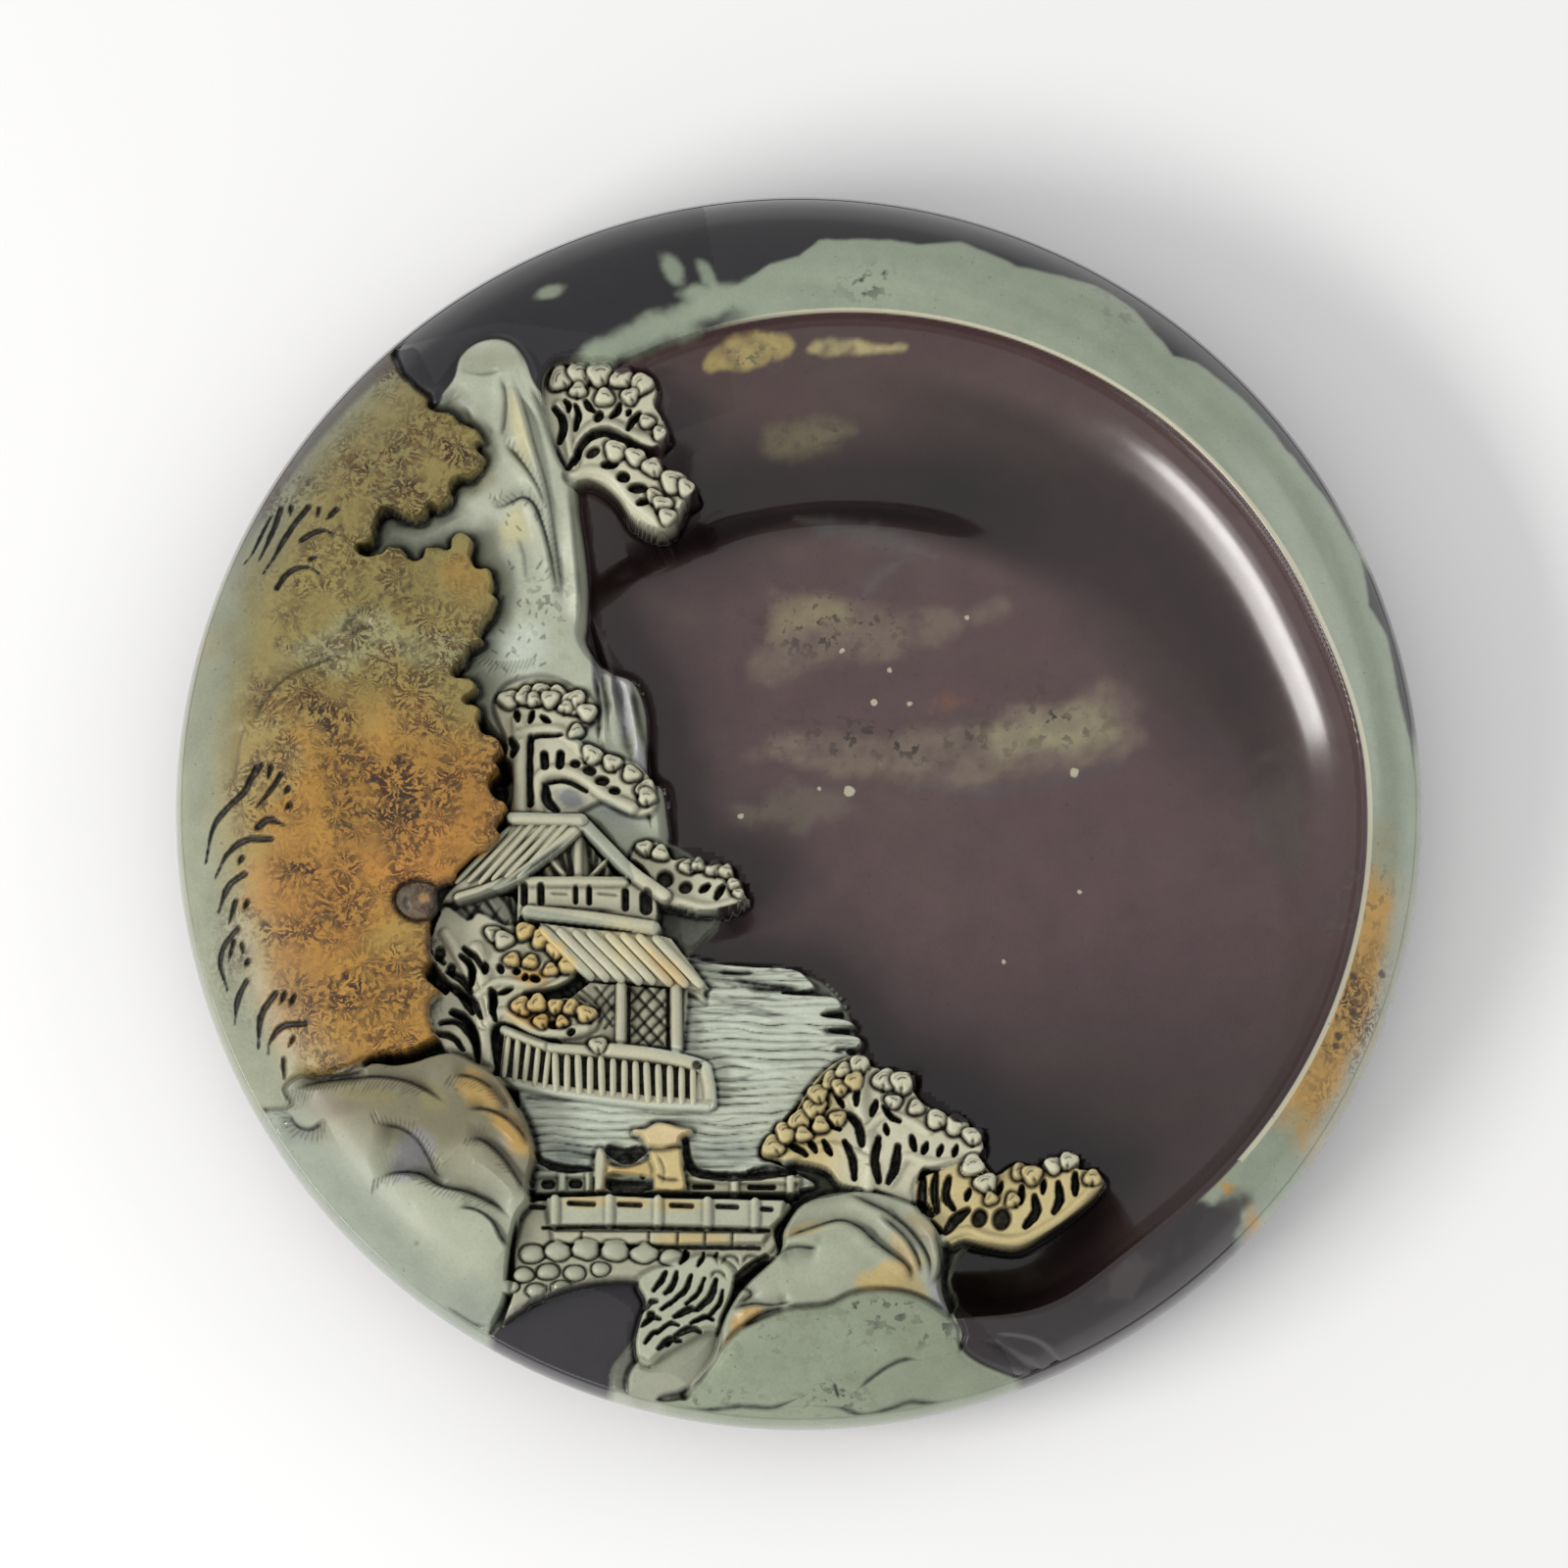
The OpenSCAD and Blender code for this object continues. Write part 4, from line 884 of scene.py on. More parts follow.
for pts in [
    [(-91.1, 30.9), (-90, 33.9), (-87, 36.9), (-83.7, 38.6)],
    [(-89.3, 32.2), (-87, 33.4), (-84, 33.5)],
    [(-81.8, 36.9), (-79.5, 38.6), (-76.5, 39.6)],
    [(-83.7, 39), (-82.7, 40)],
    [(-79.5, 40.7), (-76.5, 42.2)],
]:
    cut(pts, 1.0, 0.35, 0.4)
fold([(-88.9, 29), (-95.7, 26.2), (-102, 23.4), (-106.5, 18.7), (-109.2, 12.7)], 4.0, 1.1, -1.0, 0.6)
fold([(-109.8, 15), (-111.2, 11.2), (-111.9, 5.9), (-112.8, 0.6)], 2.2, 0.5, -1.0, 0.4)
fold([(-84.9, 33.1), (-87.4, 32.9), (-89.1, 31.4)], 2.0, 0.6, -1.0, 0.5)


def tuft(x, y, r, z, lean=0.0, tone=None):
    """A needle pad: a knob in a sunk ring, parted into lobes by a tool cut or two."""
    luck = np.random.default_rng(int(abs(x * 97 + y * 31)))
    w = window([(x, y)], r + 1.5)
    a = lean + 30 * luck.random()
    squash = 0.8 + 0.2 * luck.random()
    px, py = turned(w, x, y, a)
    py = py / squash
    d = np.hypot(px, py) - 0.22 * r * np.cos(3 * np.arctan2(py, px) + 6 * luck.random()) * 0.5
    m = smoothstep(r + 0.1, r - 0.3, d)
    dome = z - 0.9 + 0.75 * np.sqrt(np.clip(1.0 - (np.maximum(d, 0) / (1.12 * r)) ** 2, 0, 1))
    dome += 0.25 * (py / r)
    Z[w] = Z[w] * (1 - m) + dome * m
    INK_AND_SHADE[w] *= 1 - m
    darken(w, 0.85 * bell(d - r - 0.1, 0.3))
    Z[w] -= 1.1 * bell(d - r - 0.2, 0.42)
    if tone is not None:
        paint(w, m, tone)
    way = np.arctan2(py, px) - 1.2 * (luck.random() - 0.5)
    facing = smoothstep(0.1, 0.6, np.sin(way))
    for share, depth in ((0.52, 0.55), (0.80, 0.3)):
        groove = bell(np.hypot(px, py + 0.25 * r) - share * r, 0.2) * facing * m
        Z[w] -= depth * groove
        darken(w, depth * 1.2 * groove)
    if luck.random() < 0.5:
        b = math.radians(a) - 1.57 + luck.random() - 0.5
        outward = np.array([math.cos(b), math.sin(b)])
        cut([(x, y) + outward * 0.95 * r, (x, y) + outward * 0.25 * r], 0.7, 0.8, 0.85, "last", 4)


def row(a, b, bulge, count, r, z, lean=0.0, tone=None, seed=0):
    """Needle pads side by side along an arc, each turned a little its own way."""
    luck = np.random.default_rng(seed)
    for k, (x, y) in enumerate(arc(a, b, bulge, count)):
        size = r * (0.86 + 0.28 * luck.random())
        px, py = x + 0.5 * luck.random(), y + 0.5 * luck.random()
        tuft(px, py, size, z, lean + 40 * (luck.random() - 0.5), tone)


# Water: long flat ripples that end in thin tongues over the well
WATER_EDGE = [
    (-23.3, -31.6), (-17.2, -32.8), (-10.7, -33.5), (-1.7, -33.9), (1.3, -35.4), (3.1, -38.2),
    (-3.2, -38.8), (-0.4, -39.2), (6.6, -39.6), (8.5, -41.1), (8.1, -42.6), (4.6, -43.4), (9.6, -44.2),
    (11.1, -45.7), (6.1, -46.4), (11.9, -47.7), (12.2, -49.7), (9.6, -50.7), (11.6, -52.3), (8.6, -54.3),
    (3.6, -58.3), (-0.9, -62.4), (-5.4, -68), (-7.4, -71.5), (-0.9, -74.5), (-0.4, -78.6), (-53.6, -78.6),
    (-53.1, -71.5), (-55.6, -64.4), (-56.1, -58.3), (-59.6, -56.3), (-50.6, -54.3), (-30.5, -41.1),
    (-22.5, -36),
]
w, d = mass(WATER_EDGE, 28.0, 0.7, 0.4, colour=WATER_TONE)
x, y = X[w], Y[w]
bend = 1.5 * noise(x * 0.30, y * 0.5, 5.0, 81, 2) + 0.45 * noise(x * 0.35, y, 2.2, 82, 2)
t = (y + bend) / 1.75
trough = np.abs(np.sin(math.pi * t))
streak = noise(x * 0.13, y * 1.1, 1.7, 83, 3)
wave = 26.9 + 1.0 * trough ** 0.6 + 0.9 * streak + 0.25 * noise(x * 0.3, y * 1.8, 1.2, 84, 2)
m = smoothstep(0.0, 0.5, d)
Z[w] = Z[w] * (1 - m) + wave * m
line = bell(trough, 0.17) * smoothstep(0.25, -0.35, streak)
crack = bell(streak, 0.07) * smoothstep(-0.2, 0.4, noise(x * 0.2, y, 3.0, 85, 2))
darken(w, np.maximum(0.8 * line, 0.55 * crack) * m)
for pts, k in [
    ([(-14.2, -36.6), (-10.2, -36.9), (-3.2, -37.7), (0.3, -38.2)], 1.1),
    ([(-11.4, -37.8), (-5.4, -38.3), (1.1, -38.1)], 1.5),
    ([(4.6, -43.4), (7.6, -42.9), (9.6, -43.1)], 1.2),
    ([(4.1, -46.4), (7.1, -46.7), (11.1, -46.4)], 1.3),
    ([(6.6, -50.7), (9.6, -50.2), (12.1, -50.5)], 1.0),
    ([(-16.7, -34.9), (-12.2, -35.1), (-8.2, -35)], 0.8),
]:
    cut(pts, k, 1.6, 0.95)
smudge(-45.5, -71.5, 6, 3, 0, rgb(120, 128, 122), 0.75, 0.5, 86, 3.0)
smudge(-14.4, -71, 8, 3.2, 0, rgb(146, 152, 146), 0.6, 0.5, 87, 3.0)
smudge(-20.5, -33, 5, 1.6, -5, rgb(110, 112, 108), 0.7, 0.5, 88, 2.0)

# Upper pine
mass([
    (-45.4, 63.5), (-46.7, 66.8), (-48.5, 70.8), (-50.1, 75.9), (-51.2, 79.9), (-51.4, 83.5), (-50, 86.3),
    (-46.7, 87.6), (-42.7, 86.8), (-38.7, 87.2), (-35.9, 85.4), (-32.9, 85.9), (-29.9, 85), (-28.4, 82.5),
    (-28.9, 79.7), (-27.4, 77.1), (-26.4, 74.4), (-27.4, 71.8), (-29.6, 70.7), (-33.2, 71.8), (-34.4, 71.1),
    (-29.1, 68.8), (-27.1, 66.2), (-24.4, 66.5), (-21.5, 64.5), (-20.9, 62), (-22.9, 59.6), (-23.9, 57.1),
    (-25.2, 54.5), (-28.4, 54), (-33.2, 56.4), (-36.2, 60.6), (-39.2, 63.1), (-42.2, 64.1),
], 30.6, 0.35, 0.5, colour=BONE)
rib([
    (-45.6, 64.2), (-45.2, 67.3), (-44.2, 70.8), (-41.7, 74.4), (-38.2, 75.4), (-33.7, 73.3), (-29.1, 71.6),
], 2.3, 0.9, top=31.8, ink=0.5)
rib([(-45.9, 64.7), (-41.7, 66), (-37.2, 64.7), (-33.2, 59.7), (-28.1, 55.6)], 2.6, 0.9, top=31.6)
rib([(-45.2, 66.8), (-46.2, 71.8), (-46.7, 75.9), (-48.2, 79.4)], 1.6, 0.7, top=31.4, ink=0.4)
gash([(-49, 78.7), (-47.6, 76.9), (-47.1, 74.4), (-48, 71.8)], 1.7)
gash([(-46.8, 80.2), (-46.2, 79.4), (-46.2, 78.2)], 1.2)
gash([(-44.8, 79.4), (-44.2, 77.4), (-44.8, 74.4)], 1.3)
gash([(-42.7, 80.2), (-41.9, 78.9), (-41.2, 78.3)], 1.4)
pit(-40.1, 77.1, 0.9, 1.3, -20, 4.5)
gash([(-35.9, 79.7), (-36.4, 78.2), (-37.6, 76.9)], 1.4)
gash([(-33.8, 78.3), (-34.3, 77.4)], 1.1)
gash([(-31.9, 77.7), (-33.4, 76.1), (-34.2, 74.4)], 1.5)
gash([(-29.1, 75.6), (-28.4, 74.1), (-28.9, 73.1)], 1.0)
gash([
    (-44.4, 69.6), (-43.2, 71.6), (-41.2, 73.3), (-38.2, 73.8), (-34.7, 72.1), (-30.6, 69.8), (-28.1, 68.8),
], 1.9, 5.0)
gash([(-46.2, 66.5), (-44.7, 68.3), (-43.9, 69.8)], 1.5)
pit(-37.9, 67.3, 1.7, 0.95, 10, 4.5)
pit(-35.2, 64.7, 1.3, 1.1, 0, 4.5)
pit(-32.3, 62.5, 1.9, 1.0, 5, 4.5)
pit(-31.3, 59.6, 1.3, 0.8, 20, 4.5)
pit(-41.2, 69.8, 1.6, 0.9, 35, 3.0, 0.8)
row((-48.2, 84.7), (-31.7, 83.5), 1.2, 5, 2.75, 33.0, 10, None, 1)
row((-44.4, 82), (-34.2, 80.9), -0.6, 3, 1.9, 32.5, 0, None, 2)
row((-30.6, 75.6), (-28, 73.3), 0.3, 2, 1.9, 32.4, -30, None, 3)
row((-36.9, 69.6), (-29.4, 66.3), 0.6, 3, 2.1, 32.3, -20, None, 4)
row((-25.6, 63.5), (-22.6, 62.2), 0.2, 2, 2.4, 32.3, -20, None, 5)
row((-29.1, 60.7), (-26.4, 56.6), 0.2, 3, 1.8, 32.0, -30, None, 6)

# Middle pine
mass([
    (-56.9, -3.7), (-57.1, 0.3), (-56.9, 3.9), (-58.9, 7.4), (-58.4, 11), (-59.9, 15), (-60.9, 18.6),
    (-58.9, 22.1), (-55.3, 23.6), (-49.8, 23.9), (-45.3, 22.1), (-41.3, 19.6), (-40.3, 16), (-43.3, 14),
    (-45.3, 11), (-42.3, 10.5), (-38.8, 8.9), (-33.8, 7.4), (-30.3, 5.4), (-28.3, 1.3), (-28.8, -2.7),
    (-31.8, -3.7), (-35.3, -2.7), (-38.8, -0.7), (-43.3, -2.7), (-45.3, -3.7),
], 29.4, 0.6, 0.6, colour=BONE)
rib([(-55.6, -3.5), (-55.7, 3.4), (-55.8, 11), (-56.1, 15.5)], 2.4, 0.9, top=31.2)
rib([
    (-52.1, -2.7), (-51.9, 3.4), (-48.3, 5.4), (-43.3, 3.9), (-38.3, 0.1), (-33.3, -2.2),
], 2.3, 0.9, top=31.0, ink=0.5)
rib([(-56.3, 12.5), (-52.3, 13.5), (-48.3, 13.5), (-44.8, 11), (-41.3, 7.4)], 2.0, 0.8, top=30.8)
gash([(-53.5, 12), (-53.7, 5.9), (-53.4, -1.4)], 1.2, 4.5, 1.0, "none")
gash([(-53.3, 12.1), (-51.3, 12.4), (-47.3, 12.5)], 0.8, 3.0)
slot(-50.7, 7.4, 1.5, 4.0, 4)
slot(-47.6, 7.5, 1.5, 4.0, -4)
pit(-44.6, 6.8, 1.0, 0.8, 10)
pit(-41.8, 5.4, 1.3, 0.95, -10)
pit(-39.3, 3.3, 1.4, 0.95, 5)
pit(-36.8, 1.3, 1.1, 0.8, 0)
gash([(-57.4, 11.7), (-56.6, 9.9), (-57.1, 8.4)], 1.5)
pit(-58.6, 6.1, 1.4, 1.9, 10)
pit(-59.8, 1.3, 1.7, 1.8, 10)
gash([(-56.4, 17.3), (-56.1, 15.3)], 1.3, 4.0)
gash([(-53.1, 17.3), (-53.7, 15.3)], 1.2, 4.0)
gash([(-51.3, 16.3), (-49.8, 15.3)], 1.3, 4.0)
gash([(-50.6, 2.4), (-50.2, -0.7), (-48.3, -2.7)], 1.9, 4.0)
gash([(-50.3, 2.9), (-46.3, 3.3), (-42.3, 1.3)], 1.0, 3.0, 0.8)
smudge(-45.8, -0.2, 4, 2.2, -15, rgb(120, 124, 130), 0.85, 0.4, 91, 3.0)
row((-58.4, 19.3), (-42.3, 16.8), 2.6, 6, 2.2, 31.8, 10, None, 7)
row((-53.3, 19.6), (-46.8, 18), 0.8, 3, 1.7, 31.4, 0, None, 8)
row((-45.3, 14), (-43.8, 12), 0.0, 1, 1.6, 31.0, 0, None, 9)
row((-41.3, 8.2), (-30.8, 1.3), 1.0, 4, 2.0, 31.4, -25, None, 10)
tuft(-30.3, 0.1, 1.9, 31.0, -20)

# Side pine, leaning out over the well
mass([
    (-33.8, -12.8), (-32.5, -10.1), (-29.8, -8.9), (-26.8, -9.8), (-25, -12.3), (-22.5, -11.9),
    (-20.2, -13.6), (-17.7, -14.1), (-14.2, -13.6), (-12.6, -16.4), (-10.4, -19.7), (-11.2, -21),
    (-13.7, -22), (-19, -22.9), (-25.3, -21.9), (-29.3, -20.7), (-32.8, -16.9),
], 29.8, 0.35, 0.5, colour=BONE)
rib([(-29.3, -19.7), (-24.3, -20.7), (-19, -22.2), (-14.2, -21.6), (-11.5, -20.2)], 1.8, 0.8, top=31.2)
gash([(-33.5, -13.1), (-32, -14.4), (-30.2, -16)], 1.8, 5.0)
pit(-26.7, -16.5, 1.6, 1.6, 0)
pit(-22.6, -18.2, 1.3, 1.1, 20)
gash([(-18, -17.7), (-19.5, -18.9)], 1.4)
gash([(-15, -17.9), (-16.5, -20.2)], 1.5)
gash([(-20.2, -13.6), (-19.7, -14.9)], 0.9)
row((-31, -10.6), (-28, -11.3), 0.4, 2, 2.0, 32.0, 0, None, 11)
row((-22.7, -14.1), (-14.5, -15.1), 0.6, 4, 1.75, 32.0, 0, None, 12)
row((-13.2, -17.9), (-12.5, -19.7), 0.0, 2, 1.4, 31.6, 0, None, 13)

# Pavilion: upper roof with its gable, upper storey, lower roof, lower storey
HOUSE = rgb(190, 188, 162)
mass([
    (-69.9, -21.2), (-63.4, -20.4), (-56.9, -19.4), (-55.3, -25.5), (-58.4, -27.5), (-63.4, -27),
    (-67.4, -25),
], 27.5, 0.5, 0.3, colour=CLIFF * 0.8)
for pts in [
    [(-65.9, -21.5), (-63.4, -26)],
    [(-63.4, -20.4), (-60.4, -26.5)],
    [(-60.4, -19.9), (-60.9, -23.5), (-58.4, -26)],
    [(-57.9, -18.9), (-57.1, -25.5)],
    [(-64.9, -25.5), (-61.4, -22), (-57.4, -19.4)],
    [(-62.4, -26.5), (-58.9, -23)],
]:
    cut(pts, 0.9, 0.9, 0.9)
mass([
    (-72.3, -19.3), (-68.8, -17.5), (-64.6, -18.5), (-59.5, -19.5), (-56.4, -25.8), (-60.5, -32.1),
    (-66.7, -31), (-70.8, -25.8),
], 29.0, 0.6, 0.4, colour=rgb(116, 116, 102))
for pts in [
    [(-70.8, -20.6), (-66.7, -24.8)],
    [(-68.8, -19.5), (-63.6, -25.8)],
    [(-66.2, -19.1), (-60.5, -26.9)],
    [(-63.1, -19.5), (-57.9, -26.9)],
    [(-70.8, -24.8), (-66.7, -20.2)],
    [(-68.8, -27.9), (-62.6, -20.6)],
    [(-65.7, -30.5), (-58.9, -21.6)],
    [(-62.6, -31), (-57.2, -24.2)],
    [(-69.6, -26.7), (-64.6, -31.2)],
]:
    cut(pts, 0.8, 0.8, 0.9)
mass([
    (-56.1, -16.4), (-28.3, -17.1), (-28, -23.5), (-29, -27.3), (-53.9, -23), (-56.1, -25),
], 30.2, 0.3, 0.5, 0, HOUSE)
mass([
    (-57, -4.5), (-43.3, -4.5), (-42.8, -6.2), (-43.8, -7.3), (-56.9, -16.6), (-63.1, -19.7),
    (-67.9, -21.2), (-71.1, -21.3), (-70.4, -19.9), (-66.9, -16), (-61.9, -11.4), (-58.4, -8),
], lambda w, d: 32.6 - 0.055 * np.hypot(X[w] + 44, Y[w] + 5), 0.35, 0.6, 0, HOUSE)
# The upper storey's wall under the roof, in a darker copy of the pavilion's colour and darkened more, as
# painted shade
w, d = mass([(-43.6, -6.8), (-35.3, -16.9), (-53.3, -16.9)], 29.4, 0.3, 0.0, 0, HOUSE * 0.9)
darken(w, 0.35 * smoothstep(0.1, 0.6, d))
for pts in [
    [(-48.3, -10.1), (-46.1, -15.4)],
    [(-50.1, -11.8), (-48.3, -15.4)],
    [(-46.1, -8.5), (-45.3, -15.4)],
    [(-42.1, -7.8), (-41.3, -15.4)],
    [(-40.1, -10.8), (-40.8, -15.4)],
    [(-38.8, -12.3), (-39.3, -15.4)],
    [(-51.8, -13.6), (-51.1, -15.6)],
    [(-37, -14.6), (-37.3, -15.9)],
]:
    cut(pts, 1.25, 1.6, 0.98, "none")
rib([(-43.9, -7.8), (-43.9, -16)], 1.5, 0.3, top=30.8)
rib([(-49.6, -12.3), (-46.8, -15.6)], 0.9, 0.3, top=30.5)
rib([(-38.3, -12.8), (-41.3, -15.9)], 0.9, 0.3, top=30.5)
rib([(-54.1, -17.1), (-34.8, -17.1)], 1.9, 0.3, top=31.6, ink=0.5)
rib([
    (-43.4, -6.2), (-49.3, -11.3), (-56.9, -16.8), (-62.6, -19.2), (-67.4, -20.7),
], 2.2, 0.4, top=33.4, ink=0.7)
rib([(-43.2, -5.3), (-38.3, -10.4), (-33.3, -15.4), (-26.8, -20.2)], 2.6, 0.5, top=34.0, ink=0.8)
rib([(-57.1, -4.7), (-43.3, -5)], 2.3, 0.6, top=34.2, ink=0.7)
for pts in [
    [(-54.3, -6.3), (-60.2, -11), (-66.6, -16.5), (-69.3, -18.8)],
    [(-51.8, -6.7), (-57.7, -11.5), (-63.6, -16.5), (-66.6, -19)],
    [(-49.4, -7.1), (-55.3, -11.8), (-61.1, -16.5), (-64.1, -19.3)],
    [(-47.4, -7.9), (-52.8, -12.2), (-58.2, -16.5), (-61.1, -19)],
    [(-45.7, -9.1), (-50.8, -13), (-55.5, -16.2), (-58.5, -18.4)],
]:
    cut(pts, 0.8, 0.5, 0.9)
for pts in [
    [(-52.6, -26.9), (-46.7, -32.9)],
    [(-48.9, -26.1), (-42, -33.9)],
    [(-44.7, -26.7), (-37.5, -35.1)],
    [(-40, -27.1), (-32.1, -35.5)],
    [(-35.1, -27.9), (-27.4, -35.8)],
    [(-30.7, -28.4), (-23.3, -36.6)],
]:
    smudge(*((np.array(pts[0]) + np.array(pts[1])) / 2), 5.5, 1.0, -45, rgb(212, 196, 154), 0.5, 0.3, 90, 2.0)
slot(-54.6, -19.7, 1.2, 4.6, 0, 3.0)
slot(-51.3, -19.7, 1.2, 4.4, 0, 3.0)
slot(-44.4, -19.8, 0.8, 3.6, 0, 2.5)
slot(-41.7, -19.9, 0.9, 3.8, 0, 2.5)
slot(-34.5, -20.7, 1.2, 4.6, 0, 3.0)
slot(-30.4, -21.3, 2.3, 4.8, 0, 3.2)
cut([(-49.8, -19.4), (-45.3, -19.7)], 0.6, 0.4, 0.6)
cut([(-40.8, -19.4), (-35.3, -19.9)], 0.6, 0.4, 0.6)
cut([(-50.3, -22.2), (-35.3, -23.2)], 0.7, 0.5, 0.7)
mass([
    (-52.4, -25.1), (-43.3, -26.3), (-28, -27.6), (-25.2, -28.4), (-18, -38.2), (-19, -39.1), (-26.3, -38),
    (-42.3, -36.5), (-44.6, -32.3),
], lambda w, d: 31.2 + 0.06 * (Y[w] + 30), 0.35, 0.7, 0, HOUSE)
smudge(-26.3, -34.9, 8, 2.6, -45, rgb(206, 176, 118), 0.7, 0.3, 61, 3.0)
smudge(-34.1, -29.9, 7, 5, -30, rgb(208, 196, 152), 0.6, 0.3, 62, 3.0)
rib([(-53.7, -23.4), (-41.3, -24.7), (-28.8, -26.6)], 2.7, 0.5, top=33.0, ink=0.8)
# The lower storey's wall under the roof, in a darker copy of the pavilion's colour and darkened more, as
# painted shade
w, d = mass([
    (-49.1, -42.6), (-41.5, -36.8), (-19, -38.6), (-18.5, -41.1), (-22, -39.1), (-23, -50.2),
    (-37.5, -49.7), (-46.5, -50.2), (-49.1, -47.2),
], 28.4, 0.3, 0.5, 0, HOUSE * 0.92)
darken(w, 0.25 * smoothstep(0.1, 0.8, d))
LATTICE = [
    (-33.3, -41.1), (-30.2, -37.7), (-33.3, -44.7), (-27, -37.8), (-33.3, -47.7), (-26.2, -40.4),
    (-32.3, -49.5), (-26.2, -43.4), (-29.5, -49.6), (-26.2, -46.2), (-33.3, -38.6), (-26.2, -46.2),
    (-33.3, -42.1), (-27, -49.5), (-33.3, -45.7), (-29.7, -49.6), (-30.5, -37.8), (-26.2, -42.6),
]
for a, b in zip(LATTICE[0::2], LATTICE[1::2]):
    cut([a, b], 0.7, 0.9, 0.85, "none")
HATCH = [
    (-40.3, -40.6), (-37.5, -37.3), (-40.3, -43.1), (-36.8, -39.1), (-39.8, -44.9), (-36.8, -41.6),
    (-38.5, -46.2), (-36.8, -44.2), (-40.3, -38.1), (-36.8, -42.6), (-40.5, -41.1), (-37, -45.7),
    (-47.8, -38.1), (-44.5, -41.1), (-46.3, -37.3), (-42.5, -41.1), (-44.5, -37.1), (-40.5, -41.1),
]
for a, b in zip(HATCH[0::2], HATCH[1::2]):
    cut([a, b], 0.6, 0.7, 0.75, "none")
rib([(-35.3, -37.8), (-35.4, -48.7)], 1.9, 0.4, top=30.6, ink=0.8)
rib([(-24.4, -38.3), (-24.3, -50.5)], 2.1, 0.4, top=30.8, ink=0.8)
gash([(-26, -38.3), (-25.9, -49.6)], 0.7, 2.5, 1.0, "none")
gash([(-33.8, -38.1), (-33.9, -49)], 0.6, 2.0, 0.9, "none")

# Balustrade, with its rail and its sunk panel
mass([
    (-58.6, -46.4), (-49.1, -49.8), (-37.5, -49.3), (-30.5, -50.2), (-22, -52.3), (-18.7, -53.5),
    (-16.7, -57.3), (-17.2, -61.6), (-30.5, -61.6), (-49.1, -59.1), (-59.8, -56.6),
], 29.4, 0.35, 0.5, 0, HOUSE)
# The sunk panel behind the balusters, painted nearly black as shade together with ink
w, d = mass([
    (-58.1, -47.9), (-49.1, -51.5), (-37.5, -52.3), (-20.2, -54.3), (-20.7, -60.4), (-30.5, -59.7),
    (-48.8, -57.6), (-59.3, -55.8),
], 26.6, 0.3, 0.0, 0, HOUSE)
darken(w, 0.98 * smoothstep(0.0, 0.3, d))
rib([(-58.5, -46.7), (-49.1, -50.3)], 1.9, 0.4, top=30.4, ink=0.6)
rib([(-49.1, -50.2), (-42, -50.8), (-37.5, -51.1)], 1.8, 0.4, top=30.4, ink=0.6)
rib([(-37.5, -50.7), (-29.5, -51.5), (-22.5, -53), (-19.2, -54)], 2.6, 0.5, top=30.8, ink=0.7)
rib([(-18.5, -54.3), (-17.7, -58.3), (-17.5, -61.4)], 2.2, 0.4, top=30.4, ink=0.5)
pit(-20.2, -53.9, 0.9, 0.9, 0, 1.2, 0.9)
rib([(-59.3, -56.8), (-49.1, -58.9), (-30.5, -61.4), (-18, -62)], 1.6, 0.4, top=29.6, ink=0.4)

# Blossom tree beside the pavilion, in the orange layer
mass([
    (-70.4, -21.7), (-65.9, -24.5), (-63.4, -23), (-58.4, -25.5), (-52.3, -25.5), (-50.8, -29.6),
    (-44.6, -31.8), (-43.8, -35.1), (-48.3, -38.2), (-54.3, -39.2), (-53.3, -40.7), (-45.3, -39.9),
    (-40.3, -42.7), (-39.9, -45.3), (-41.3, -47.3), (-45.3, -48.3), (-51.8, -48.3), (-58.4, -45.3),
    (-60.9, -46.8), (-61.4, -53.4), (-65.9, -55.4), (-71.9, -48.3), (-73.4, -42.2), (-69.4, -38.2),
    (-72.4, -34.1), (-73.4, -28),
], 29.2, 0.5, 0.5, colour=BONE * 0.92)
rib([(-61.8, -54.3), (-62.8, -47.2), (-62.6, -41.1), (-63.3, -34), (-64.1, -30.5)], 2.8, 0.9, top=31.0)
rib([(-62.6, -45.8), (-63.9, -39.7), (-66.9, -33.1), (-70.4, -27.5)], 2.2, 0.8, top=30.8)
rib([(-63.4, -39.7), (-59.4, -37.1), (-53.3, -37.7), (-49.3, -36.1)], 1.8, 0.8, top=30.8)
rib([(-61.9, -45.3), (-58.4, -43.2), (-53.3, -46.3), (-47.3, -47.3), (-42.3, -46.3)], 2.0, 0.8, top=30.8)
gash([(-67.1, -32.1), (-65.1, -34.1), (-64.9, -37.7)], 1.5)
gash([(-69.6, -37.7), (-66.9, -39.7), (-64.9, -43.2)], 1.8)
gash([(-69.1, -43.2), (-65.9, -44.7), (-63.9, -49.3)], 1.7)
gash([(-60.6, -39.2), (-60.9, -42.2), (-60.3, -44.7)], 1.4)
gash([(-59.6, -39.4), (-56.9, -38.4)], 1.0)
pit(-62.4, -34.4, 0.7, 1.3, 0)
pit(-59.3, -34.4, 0.7, 1.0, 20)
pit(-56.1, -34.9, 0.8, 0.7, 0)
pit(-54.4, -36.2, 0.6, 0.8, -20)
pit(-52.4, -36.5, 1.1, 0.8, -20)
pit(-48.8, -45.7, 1.0, 0.9, 0)
pit(-45.2, -47.2, 0.9, 0.7, 30)
pit(-52.3, -44.7, 0.8, 0.6, 0)
pit(-69.1, -34.4, 0.8, 1.0, 0)
pit(-71.4, -31.3, 1.0, 1.3, 0)
gash([(-65.6, -33), (-65, -35.5), (-65.3, -38.1)], 1.2)
gash([(-65.6, -45.2), (-64.3, -47.7), (-63.6, -52.8)], 1.6)
